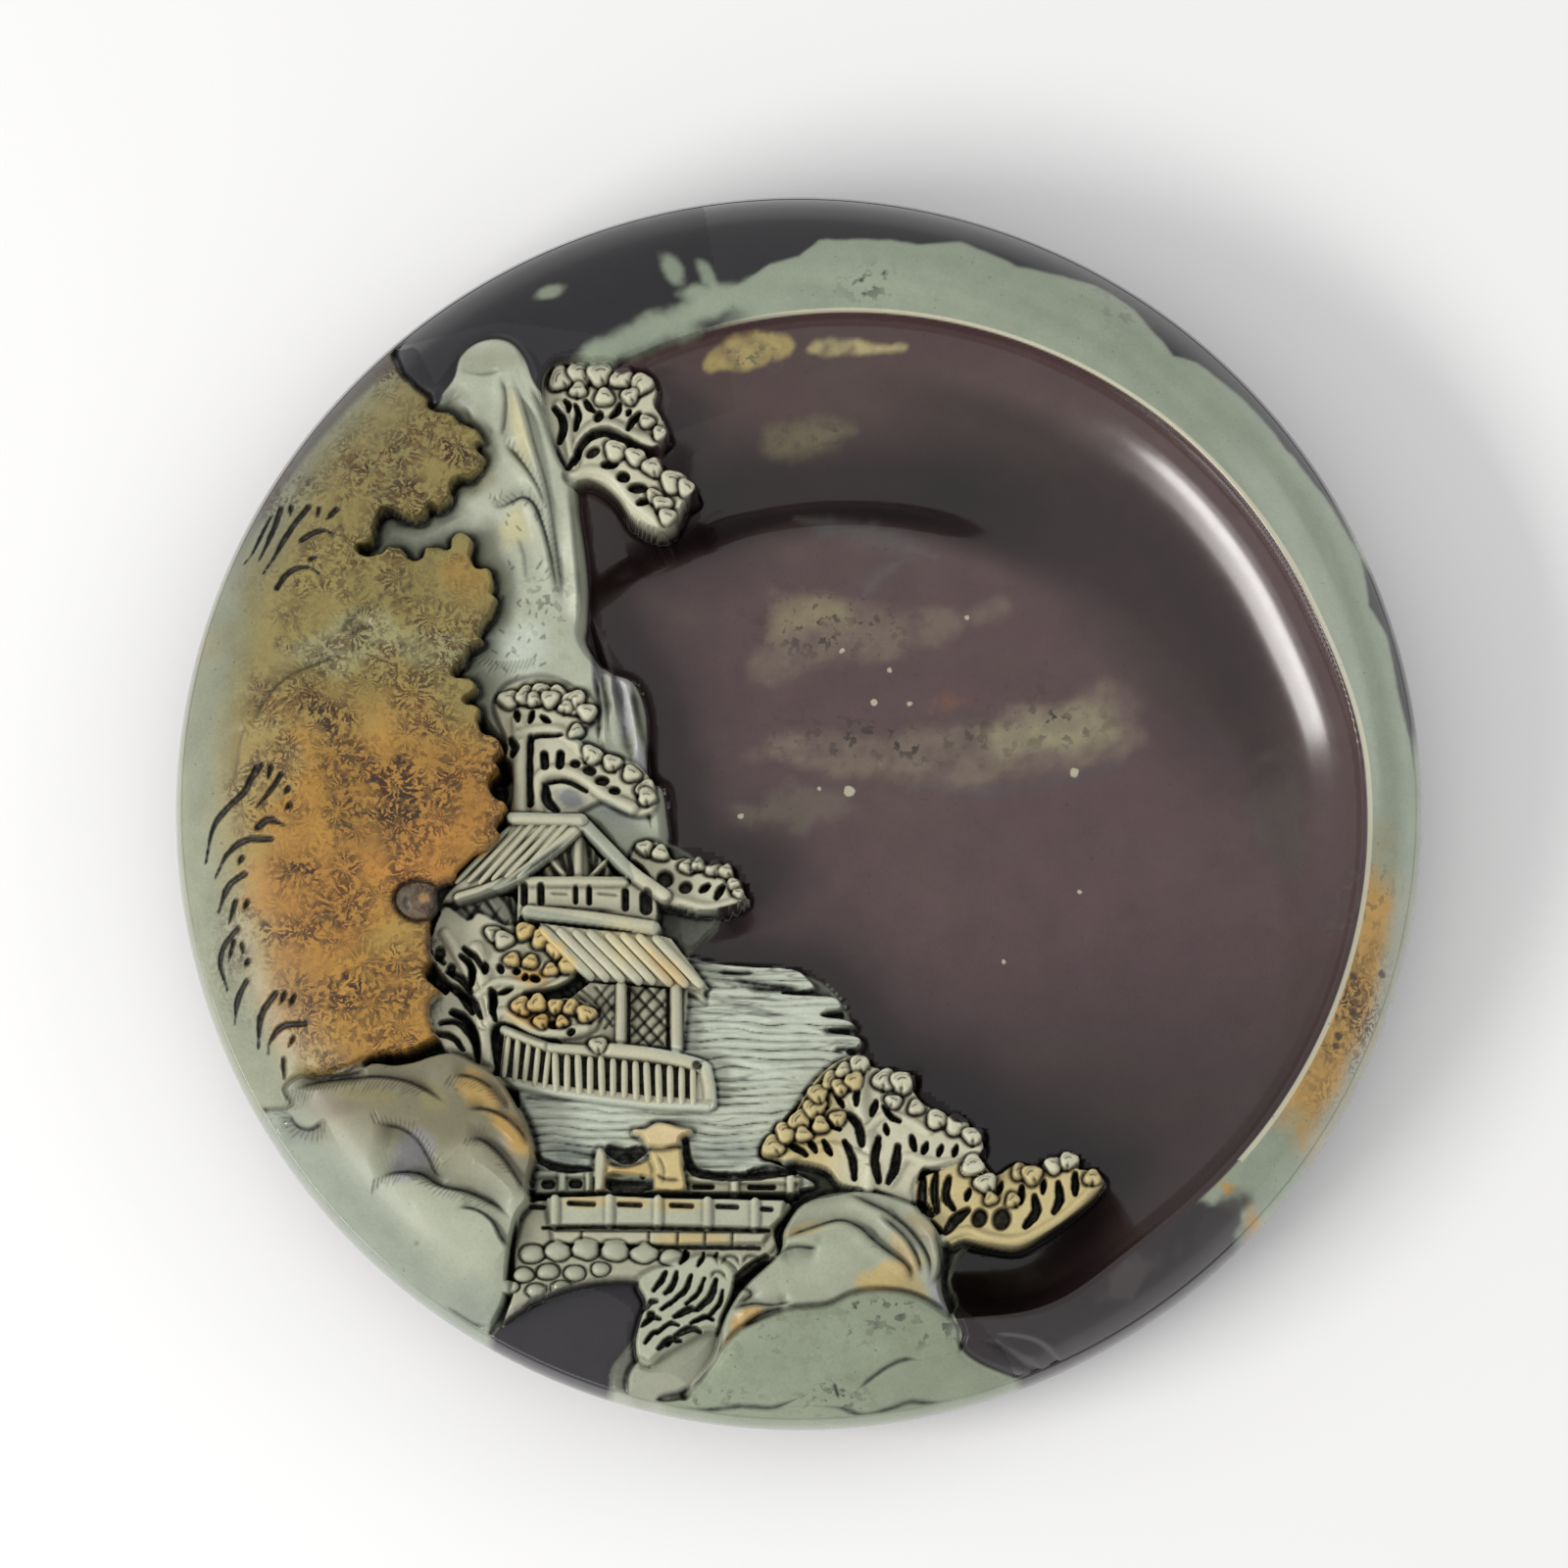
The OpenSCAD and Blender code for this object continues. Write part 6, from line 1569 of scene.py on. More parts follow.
row((16.8, -57.2), (20.3, -57.8), 0.3, 2, 2.5, 33.6, -10, None, 24)
row((18.7, -61.3), (23.1, -62.9), 0.2, 2, 1.9, 33.0, -20, None, 25)
row((27.2, -64.8), (34.4, -68.2), 0.5, 3, 2.2, 33.2, -20, None, 26)
row((8, -58.4), (10.5, -57.2), 0.0, 2, 1.7, 33.0, 0, YELLOW, 27)
w, d = mass([
    (23.1, -81.9), (23.4, -76.8), (27.8, -74.6), (33.1, -72.9), (36.2, -73.1), (39.1, -75.5), (42.2, -73.6),
    (45.3, -73.5), (47.8, -74.6), (50, -72.7), (53.2, -71.8), (55.4, -74.3), (58.2, -74.6), (60.6, -76.7),
    (58.5, -80), (54.1, -83.8), (48.8, -87.5), (43.5, -90.2), (37.5, -89.7), (32.8, -88.8), (29.7, -89.8),
    (27.8, -86.3),
], 30.6, 0.35, 0.5, colour=YELLOW)
paint(w, smoothstep(-0.3, 0.3, d) * smoothstep(40, 33, X[w]) * smoothstep(-75, -73, Y[w]), BONE)
rib([
    (28.4, -88.5), (33.1, -86.9), (37.5, -88.3), (43.1, -88.8), (48.8, -86.3), (54.4, -82.2), (59.1, -77.4),
], 2.0, 0.9, top=31.8)
for pts, k in [
    ([(33.4, -82.8), (31.2, -84.4), (29, -87.2)], 2.2),
    ([(24.6, -76.2), (24.3, -80), (24.6, -83.1)], 1.8),
    ([(27.2, -75.5), (26.8, -78.7), (27.2, -83.1)], 1.6),
    ([(29.7, -76.2), (29, -80), (30.6, -82.5)], 1.6),
    ([(23.7, -81.2), (26.2, -83.8)], 1.8),
    ([(46.6, -80), (46.9, -83.1), (44.7, -86)], 1.9),
    ([(51.3, -77.4), (51.6, -80.6), (50.4, -83.1)], 1.7),
    ([(54.7, -75.5), (54.6, -79.6)], 1.5),
    ([(44.1, -78.1), (43.8, -81.2)], 1.3),
    ([(48.5, -76.8), (48.2, -79.3)], 1.2),
    ([(40, -77.4), (39.4, -79.3)], 1.2),
    ([(33.7, -78.7), (33.1, -80.6)], 1.2),
]:
    gash(pts, k)
pit(35.7, -84.3, 1.5, 1.9, -25)
pit(40.1, -84.5, 1.8, 2.2, -20)
row((34.4, -74.3), (36.9, -77.4), 0.2, 2, 2.2, 32.8, 0, BONE, 31)
row((43.5, -75.2), (45.6, -76.2), 0.2, 2, 2.0, 32.8, 0, None, 32)
row((50, -74.3), (53.2, -73.3), 0.2, 2, 2.0, 32.8, 0, BONE, 33)
row((37.5, -80.6), (41.9, -81.2), 0.2, 2, 1.6, 32.2, 0, None, 34)
tuft(58.1, -76.3, 1.8, 32.2, 0)

# Last shaping: nothing stands above the blank stone, ink and painted shade stay in the carving, the lip has
# its notch, and the carving's hollows get painted shade
Z = np.minimum(Z, BLANK)
Z = np.where(
    P > EDGE_P - 1.2,
    np.minimum(BLANK, Z + (BLANK - Z) * smoothstep(EDGE_P - 1.2, EDGE_P - 0.4, P)),
    Z,
)
INK_AND_SHADE *= 0.22 + 0.78 * COVER
cut([(36.1, -108.8), (39.8, -110), (44.4, -112.7), (48.9, -114.2)], 1.8, 1.0, 0.7)
fold([(37, -107.6), (45.9, -108.6), (50.5, -111.5), (54, -115)], 2.0, 0.6, -1.0, 0.4)
# Painted shade: the carved scene darkens in its narrow and broad hollows
near_hollow_shade = np.clip(blur(Z, 0.55) - Z, 0, 3)
wide_hollow_shade = np.clip(blur(Z, 2.2) - Z, 0, 6)
on_relief = smoothstep(-0.5, 0.5, carved) * COVER
INK_AND_SHADE = np.clip(INK_AND_SHADE + on_relief * (0.42 * near_hollow_shade + 0.07 * wide_hollow_shade), 0, 1)

gz_y, gz_x = np.gradient(Z, FINE)
dr_dp = np.where(P > FLAT_R, np.interp(P, prof_p, np.gradient(prof_r, prof_p)), 1.0)
cos_u, sin_u = U / np.maximum(P, 1e-6), V / np.maximum(P, 1e-6)
n_r = -(gz_x * cos_u + gz_y * sin_u)
n_a = (gz_x * sin_u - gz_y * cos_u) * dr_dp / np.maximum(stretch, 0.2)
NORMAL = np.dstack([n_r * cos_u - n_a * sin_u, n_r * sin_u + n_a * cos_u, np.maximum(dr_dp, 0.02)])
NORMAL /= np.linalg.norm(NORMAL, axis=2, keepdims=True)

# Which CAD node stands highest at each place
nodes = sorted(frame["nodes"])
corners, faces, owner = [], [], []
for k, name in enumerate(nodes):
    mesh = frame["nodes"][name].data
    base = len(corners)
    corners += [tuple(1000.0 * c for c in v.co) for v in mesh.vertices]
    for face in mesh.polygons:
        faces.append([base + i for i in face.vertices])
        owner.append(k)
tree = BVHTree.FromPolygons(corners, faces)
mid = slice(1, N, 2)
domain = P[mid, mid] < EDGE_P
place = np.full(domain.shape, -1)
shrink = np.minimum(1.0, LOOK_R / np.maximum(R[mid, mid], 1e-6))
mid_x, mid_y = X[mid, mid] * shrink, Y[mid, mid] * shrink
down = Vector((0, 0, -1))
for i, j in np.argwhere(domain):
    hit = tree.ray_cast((mid_x[i, j], mid_y[i, j], ABOVE), down)
    place[i, j] = owner[hit[2]] if hit[2] is not None else nodes.index("purple_body")

# Tidy borders: no stray blocks, none that touch only at a corner, and a coarser net for the plain floor
# First each block goes with most of its neighbours
for _ in range(2):
    votes = np.stack([np.roll(np.roll(place, a, 0), b, 1) for a in (-1, 0, 1) for b in (-1, 0, 1)])
    count = np.stack([(votes == v).sum(0) for v in votes])
    best = np.take_along_axis(votes, count.argmax(0)[None], 0)[0]
    place = np.where(domain & (best >= 0), best, place)
# Then the floor keeps only blocks that fill its coarser net, and the others join what lies beside them
floor_id = nodes.index("grinding_floor")
is_floor = place == floor_id
whole = is_floor[0::2, 0::2] & is_floor[1::2, 0::2] & is_floor[0::2, 1::2] & is_floor[1::2, 1::2]
loose = is_floor & ~np.kron(whole, np.ones((2, 2), bool))
for _ in range(6):
    for a, b in ((0, 1), (0, -1), (1, 0), (-1, 0)):
        other = np.roll(np.roll(place, a, 0), b, 1)
        take = loose & (other != floor_id) & (other >= 0)
        place[take] = other[take]
        loose &= ~take
# Last, two blocks of one node that meet at a corner get a block between them
for _ in range(12):
    a, b, c, d = place[:-1, :-1], place[:-1, 1:], place[1:, :-1], place[1:, 1:]
    one = (a == d) & (b != a) & (c != a) & (a != floor_id)
    two = (b == c) & (a != b) & (d != b) & (b != floor_id) & ~one
    if not (one.any() or two.any()):
        break
    i, j = np.nonzero(one & (b != floor_id) & (b >= 0))
    place[i, j + 1] = place[i, j]
    i, j = np.nonzero(one & ((b == floor_id) | (b < 0)) & (c != floor_id) & (c >= 0))
    place[i + 1, j] = place[i, j]
    i, j = np.nonzero(two & (a != floor_id) & (a >= 0))
    place[i, j] = place[i, j + 1]
    i, j = np.nonzero(two & ((a == floor_id) | (a < 0)) & (d != floor_id) & (d >= 0))
    place[i + 1, j + 1] = place[i, j + 1]

# The outermost places lie exactly on the line where the stone's side begins
cells = np.kron(domain, np.ones((2, 2), bool))
ring = np.zeros((N + 1, N + 1), bool)
padded = np.pad(~cells, 1, constant_values=True)
for a in (0, 1):
    for b in (0, 1):
        ring |= padded[a:a + N + 1, b:b + N + 1]
ring &= np.abs(P - EDGE_P) < 1.0
ang = np.arctan2(V, U)
X = np.where(ring, EDGE_R * np.cos(ang), X)
Y = np.where(ring, EDGE_R * np.sin(ang), Y)
Z = np.where(ring, GROUND, Z)


def set_normals(mesh, top, soft):
    """Corners of carved faces take the carving's own normals, and side walls stay flat."""
    corner_vert = np.empty(len(mesh.loops), int)
    mesh.loops.foreach_get("vertex_index", corner_vert)
    totals = np.empty(len(mesh.polygons), int)
    mesh.polygons.foreach_get("loop_total", totals)
    smooth = np.repeat(soft, totals)
    normals = np.where(smooth[:, None], top[corner_vert], 0.0)
    mesh.normals_split_custom_set(normals.tolist())


def give_colours(mesh, tint, ink, fleck):
    """The stone's colour with its painted shade and highlights, its ink with painted shade, and its flecks,
    kept on the mesh's points.
    """
    colour = mesh.attributes.new("tint", "FLOAT_COLOR", "POINT")
    colour.data.foreach_set("color", np.column_stack([tint, np.ones(len(tint))]).ravel())
    for label, values in (("ink", ink), ("fleck", fleck)):
        mesh.attributes.new(label, "FLOAT", "POINT").data.foreach_set("value", values)


def make_mesh(name, verts, polys_list, soft, tops, tint, ink, fleck):
    """A mesh from arrays of faces, in metres, with the stone's own colours on its points."""
    mesh = bpy.data.meshes.new(name)
    mesh.vertices.add(len(verts))
    mesh.vertices.foreach_set("co", (np.asarray(verts) * MM).ravel())
    flat = np.concatenate([np.asarray(p).ravel() for p in polys_list if len(p)])
    sizes = np.concatenate([np.full(len(p), np.asarray(p).shape[1]) for p in polys_list if len(p)])
    mesh.loops.add(len(flat))
    mesh.loops.foreach_set("vertex_index", flat)
    mesh.polygons.add(len(sizes))
    mesh.polygons.foreach_set("loop_start", np.concatenate([[0], np.cumsum(sizes)[:-1]]))
    smooth = np.concatenate([np.full(len(p), s) for p, s in zip(polys_list, soft) if len(p)])
    mesh.update(calc_edges=True)
    mesh.validate()
    mesh.polygons.foreach_set("use_smooth", smooth)
    give_colours(mesh, tint, ink, fleck)
    if tops is not None:
        set_normals(mesh, tops, smooth)
    return mesh


def underside(mask, rim, around, gi, gj):
    """Triangles that close a piece from below, as numbers of its border's points."""
    flat = [(float(gj[q]), float(gi[q])) for q in around]
    number = {q: t for t, q in enumerate(around)}
    lines = [(number[a], number[b]) for a, b in rim]
    points, _, tris, origin, _, _ = delaunay_2d_cdt([Vector(p) for p in flat], lines, [], 1, 1e-6)
    tris = np.array([t for t in tris if len(t) == 3])
    back = np.array([o[0] if o else -1 for o in origin])
    centre = np.array([tuple(p) for p in points])[tris].mean(1)
    inner = mask[np.floor(centre[:, 1]).astype(int), np.floor(centre[:, 0]).astype(int)]
    tris = back[tris[inner & (back[tris] >= 0).all(1)]]
    a, b, c = (np.array(flat)[tris[:, t]] for t in range(3))
    upward = (b[:, 0] - a[:, 0]) * (c[:, 1] - a[:, 1]) > (b[:, 1] - a[:, 1]) * (c[:, 0] - a[:, 0])
    tris[upward] = tris[upward][:, ::-1]
    return tris


def sound_faces(group):
    """Faces left once some points have become one: whole ones, and triangles made of four-sided ones."""
    if group.shape[1] == 3:
        return [
            group[
                (group[:, 0] != group[:, 1]) & (group[:, 1] != group[:, 2]) & (group[:, 0] != group[:, 2])
            ]
        ]
    same = np.stack([group[:, t] == group[:, (t + 1) % 4] for t in range(4)], 1)
    cross = (group[:, 0] == group[:, 2]) | (group[:, 1] == group[:, 3])
    lost = same.sum(1)
    keep = [[t for t in range(4) if t != q] for q in same[lost == 1].argmax(1)]
    three = np.take_along_axis(group[lost == 1], np.array(keep, int).reshape(-1, 3), 1)
    return [group[(lost == 0) & ~cross], three]


def patch(name, k, step, seat):
    """The carved surface over one CAD node, closed by a wall round it and a flat underside."""
    blocks = place == k
    mask = np.kron(blocks, np.ones((2, 2), bool)) if step == 1 else blocks[::step // 2, ::step // 2]
    n = N // step + 1
    i, j = np.nonzero(mask)
    quads = np.stack([i * n + j, i * n + j + 1, (i + 1) * n + j + 1, (i + 1) * n + j], 1)
    used, quads = np.unique(quads, return_inverse=True)
    quads = quads.reshape(-1, 4)
    gi, gj = used // n, used % n
    at = (gi * step, gj * step)
    # Points that fall on one spot of the line round the stone become one point
    key = np.arange(len(used))
    on_ring = np.nonzero(ring[at])[0]
    spot = np.round(ang[at] * EDGE_R / 0.05).astype(int)
    first = {}
    for q in on_ring:
        key[q] = first.setdefault(spot[q], q)
    # The border is made of the edges that have only one face
    edges = np.concatenate([quads[:, [a, (a + 1) % 4]] for a in range(4)])
    code = np.sort(edges, 1) @ np.array([len(used), 1])
    _, where, count = np.unique(code, return_index=True, return_counts=True)
    rim = edges[where[count == 1]]
    around = np.unique(rim)
    under = np.full(len(used), -1)
    under[around] = len(used) + np.arange(len(around))
    tris = underside(mask, rim, around, gi, gj)
    x, y, z = X[at], Y[at], Z[at]
    low = np.full(len(around), min(seat, z.min() - 0.3))
    walls = np.stack([rim[:, 1], rim[:, 0], under[rim[:, 0]], under[rim[:, 1]]], 1)
    key = np.concatenate([key, len(used) + np.arange(len(around))])
    for q in around:
        if key[q] != q:
            key[under[q]] = under[key[q]]
    tops, sides, bottom = (sound_faces(key[group]) for group in (quads, walls, len(used) + tris))
    polys, soft = tops + sides + bottom, [True] * len(tops) + [False] * len(sides + bottom)
    verts = np.vstack([np.column_stack([x, y, z]), np.column_stack([x[around], y[around], low])])
    normal = np.vstack([NORMAL[at], np.zeros((len(around), 3))])
    tint = np.vstack([TINT[at], TINT[at][around]])
    ink = np.concatenate([INK_AND_SHADE[at], np.maximum(INK_AND_SHADE[at][around], 0.8)])
    fleck = np.concatenate([FLECK[at], FLECK[at][around]])
    # Points that no face uses any more are left out
    live = np.unique(np.concatenate([p.ravel() for p in polys if len(p)]))
    fresh = np.full(len(verts), -1)
    fresh[live] = np.arange(len(live))
    polys = [fresh[p] for p in polys]
    return make_mesh(name, verts[live], polys, soft, normal[live], tint[live], ink[live], fleck[live])


def body_mesh():
    """The slate under everything: its side, its heel, the ring it stands on and the shallow hollow."""
    # Half of its section: radius and height, from the hollow out over the foot and the side
    line = [(0.0, HOLLOW), (86.6, HOLLOW), (87.7, 1.2), (88.2, 0.3), (89.0, 0.0), (107.0, 0.0)]
    for a in np.linspace(-90, 0, 19)[1:]:
        line.append((
            STONE_R - HEEL + HEEL * math.cos(math.radians(a)),
            WAIST + WAIST * math.sin(math.radians(a)),
        ))
    for z in np.linspace(WAIST, GROUND, 8)[1:]:
        line.append((FLAT_R + SHOULDER * math.sqrt(1 - ((z - WAIST) / (TOP - WAIST)) ** 2), z))
    # Then in under the carved pieces
    line += [(122.6, 21.5), (122.6, BED)]
    rings = np.array(line[1:])
    around = np.arange(360) * 2 * math.pi / 360
    count, m = len(around), len(rings)
    verts = [(0.0, 0.0, HOLLOW)]
    verts += [(r * math.cos(a), r * math.sin(a), z) for r, z in rings for a in around]
    verts = np.array(verts + [(0.0, 0.0, BED)])
    last = len(verts) - 1
    s = np.arange(count)
    t, top = (s + 1) % count, 1 + (m - 1) * count
    foot = np.column_stack([np.zeros(count, int), 1 + t, 1 + s])
    lid = np.column_stack([np.full(count, last), top + s, top + t])
    quads = np.vstack([1 + q * count + np.column_stack([s, t, count + t, count + s]) for q in range(m - 1)])
    r = np.hypot(verts[:, 0], verts[:, 1])
    look = verts[:, :2] / np.maximum(r, 1e-6)[:, None] * (EDGE_P - 1.0) / FINE
    look = np.clip(np.round(look).astype(int) + HALF, 0, N)
    wave = 2.0 * noise(verts[:, 0], verts[:, 1], 22.0, 95, 3)
    side = smoothstep(9.0, 17.0, verts[:, 2] + wave)[:, None] * (r > 100)[:, None]
    slate = PURPLE * (1 + 0.08 * noise(verts[:, 0] + 3 * verts[:, 2], verts[:, 1], 14.0, 96, 3)[:, None])
    tint = slate * (1 - side) + TINT[look[:, 1], look[:, 0]] * side
    zero = np.zeros(len(verts))
    return make_mesh("slate", verts, [np.vstack([foot, lid]), quads], [True, True], None, tint, zero, zero)


class Nodes:
    """A short way to write down a tree of nodes."""

    def __init__(self, tree):
        self.tree = tree

    def add(self, kind, inputs=(), **settings):
        node = self.tree.nodes.new(kind)
        for key, value in settings.items():
            setattr(node, key, value)
        for key, value in dict(inputs).items():
            if isinstance(value, bpy.types.NodeSocket):
                self.tree.links.new(value, node.inputs[key])
            else:
                node.inputs[key].default_value = value
        return node

    def math(self, what, a, b=0.0):
        return self.add("ShaderNodeMath", {0: a, 1: b}, operation=what).outputs[0]

    def vector(self, what, a, b, output="Vector"):
        return self.add("ShaderNodeVectorMath", {0: a, 1: b}, operation=what).outputs[output]

    def split(self, vector):
        return self.add("ShaderNodeSeparateXYZ", {0: vector}).outputs

    def ramp(self, value, low, high, start=0.0, end=1.0, **settings):
        sizes = {"Value": value, "From Min": low, "From Max": high, "To Min": start, "To Max": end}
        return self.add("ShaderNodeMapRange", sizes, **settings).outputs["Result"]

    def mix(self, factor, a, b, mode="MIX"):
        return self.add(
            "ShaderNodeMix", {0: factor, 6: a, 7: b}, data_type="RGBA", blend_type=mode,
        ).outputs[2]

    def cloud(self, point, scale, detail, rough, output="Fac"):
        sizes = {"Vector": point, "Scale": scale, "Detail": detail, "Roughness": rough}
        return self.add("ShaderNodeTexNoise", sizes).outputs[output]


def opaque(r, g, b):
    """A colour for a node's socket, named in 8-bit screen values."""
    return (*rgb(r, g, b), 1.0)


FERN_GREYS = (opaque(96, 98, 84), opaque(60, 58, 52))
FERN_BROWNS = (opaque(80, 46, 23), opaque(56, 43, 32))
DARK_GRAINS = (opaque(70, 54, 42), opaque(44, 38, 34))
LEVEL = (1.0, 1.0, 0.0)
# The near-black of ink and of painted shade
INK_AND_SHADE_COLOUR = (0.012, 0.011, 0.011, 1.0)
SPARKS = (0.02, 0.017, 0.013, 1.0)


def fern_growth(t, point):
    """Plants of the brown mineral: broken rays round scattered hearts, with a haze of grains between them."""
    sway = t.vector("MULTIPLY", t.cloud(point, 260.0, 3.0, 0.6, "Color"), (0.0035, 0.0035, 0.0))
    bent = t.vector("ADD", point, sway)
    growth = t.ramp(t.cloud(point, 520.0, 3.0, 0.7), 0.52, 0.62, 0.0, 0.75)
    for scale, spokes in ((85.0, 14.0), (140.0, 11.0)):
        cells = t.add(
            "ShaderNodeTexVoronoi", {"Vector": bent, "Scale": scale}, voronoi_dimensions="2D",
        ).outputs
        way = t.split(t.vector("SUBTRACT", bent, cells["Position"]))
        fan = t.math("MULTIPLY", t.math("ARCTAN2", way["Y"], way["X"]), spokes)
        ragged = t.ramp(t.cloud(point, 300.0, 3.0, 0.6), 0.3, 0.7, -3.6, 3.6)
        rays = t.ramp(t.math("SINE", t.math("ADD", fan, ragged)), -0.2, 0.25)
        plant = t.math("MULTIPLY", rays, t.ramp(cells["Distance"], 0.72, 0.34))
        plant = t.math("MULTIPLY", plant, t.ramp(t.cloud(point, 620.0, 2.0, 0.6), 0.38, 0.50))
        growth = t.math("MAXIMUM", growth, plant)
    return growth


def with_ferns(t, point, colour, fleck, amount, hues):
    """Brown ferns, or plain dark grains, where the stone has flecks."""
    if hues == FERN_BROWNS:
        growth = fern_growth(t, point)
    else:
        growth = t.ramp(t.cloud(point, 430.0, 2.0, 0.55), 0.54, 0.585)
    cluster = t.ramp(t.cloud(point, 80.0, 3.0, 0.6), 0.38, 0.54, 0.40, 1.30)
    stain = t.math("MULTIPLY", t.math("MULTIPLY", growth, cluster), t.math("MULTIPLY", fleck, amount))
    hue = t.ramp(t.cloud(point, 320.0, 2.0, 0.5), 0.35, 0.65)
    return t.mix(stain, colour, t.mix(hue, *hues))


def with_specks(t, point, colour, specks):
    """The few white specks on the floor, with ragged edges."""
    flat = t.vector("MULTIPLY", point, LEVEL)
    ragged = t.math("MULTIPLY", t.cloud(point, 700.0, 3.0, 0.6), 0.0012)
    for x, y, r in specks:
        gap = t.math("ADD", t.vector("DISTANCE", flat, (MM * x, MM * y, 0.0), "Value"), ragged)
        near = t.ramp(gap, MM * (r + 0.75), MM * (r + 0.45), 0.0, 0.85)
        colour = t.mix(near, colour, opaque(190, 184, 158))
    return colour


def with_lip_line(t, point, colour):
    """The bright line along the well's lip, the green layer's pale edge brightened as a painted highlight,
    drawn as a ring that fades out at the carved scene.
    """
    off = t.vector("SUBTRACT", point, (MM * WELL[0], MM * WELL[1], 0.0))
    far = t.vector("DISTANCE", t.vector("MULTIPLY", off, LEVEL), (0.0, 0.0, 0.0), "Value")
    way = t.split(off)
    turn = t.math("ARCTAN2", way["Y"], way["X"])
    inward = t.ramp(turn, math.radians(5), math.radians(25), 1.8 * MM, 0.0, interpolation_type="SMOOTHSTEP")
    apart = t.math("ABSOLUTE", t.math("SUBTRACT", t.math("SUBTRACT", far, inward), LINE_R * MM))
    wide = t.ramp(turn, math.radians(70), math.radians(30), 0.30 * MM, 0.50 * MM)
    line = t.ramp(t.math("SUBTRACT", apart, wide), 0.12 * MM, -0.12 * MM)
    for start, full in ((-50, -40), (108, 96)):
        line = t.math("MULTIPLY", line, t.ramp(turn, math.radians(start), math.radians(full)))
    line = t.math("MULTIPLY", line, t.ramp(way["Z"], 26 * MM, 29 * MM, 0.0, 0.85))
    return t.mix(line, colour, opaque(216, 210, 184))


def stone(name, mottle, grain, fern, rough, wax, sparkle, bump, hues=FERN_BROWNS, specks=(), lip_line=False):
    """One of the stone's layers: the points' colour with its painted shade and highlights, clouds, grain,
    ferny mineral, ink with painted shade, and wax.
    """
    material = bpy.data.materials.new(name)
    material.use_nodes = True
    t = Nodes(material.node_tree)
    t.tree.nodes.clear()
    point = t.add("ShaderNodeTexCoord").outputs["Object"]
    colour = t.add("ShaderNodeAttribute", attribute_name="tint").outputs["Color"]
    ink = t.add("ShaderNodeAttribute", attribute_name="ink").outputs["Fac"]
    fleck = t.add("ShaderNodeAttribute", attribute_name="fleck").outputs["Fac"]
    fine = t.cloud(point, 1500.0, 3.0, 0.6)
    for pattern, depth in ((t.cloud(point, 130.0, 5.0, 0.6), mottle), (fine, grain)):
        colour = t.mix(1.0, colour, t.ramp(pattern, 0.3, 0.7, 1.0 - depth, 1.0 + depth), "MULTIPLY")
    if fern:
        colour = with_ferns(t, point, colour, fleck, fern, hues)
    if specks:
        colour = with_specks(t, point, colour, specks)
    if lip_line:
        colour = with_lip_line(t, point, colour)
    colour = t.mix(t.ramp(t.cloud(point, 900.0, 1.0, 0.4), 0.745, 0.78, 0.0, sparkle), colour, SPARKS)
    uneven = t.ramp(t.cloud(point, 700.0, 3.0, 0.6), 0.25, 0.6, 0.75, 1.0)
    # Ink and the painted shade carried with it darken the colour towards near black
    colour = t.mix(t.math("MULTIPLY", ink, uneven), colour, INK_AND_SHADE_COLOUR)
    dull = t.ramp(t.cloud(point, 260.0, 4.0, 0.6), 0.3, 0.7, 0.9 * rough, 1.15 * rough)
    dull = t.math("ADD", dull, t.math("MULTIPLY", ink, 0.25))
    tooth = t.math("ADD", t.cloud(point, 420.0, 4.0, 0.6), t.math("MULTIPLY", fine, 0.35))
    normal = t.add(
        "ShaderNodeBump", {"Strength": bump, "Distance": 0.0002, "Height": tooth},
    ).outputs["Normal"]
    shader = t.add("ShaderNodeBsdfPrincipled", {"Base Color": colour, "Roughness": dull, "Normal": normal})
    for label, value in (("Specular IOR Level", 0.4), ("Coat Weight", wax), ("Coat Roughness", 0.15)):
        shader.inputs[label].default_value = value
    t.add("ShaderNodeOutputMaterial", {"Surface": shader.outputs["BSDF"]})
    return material


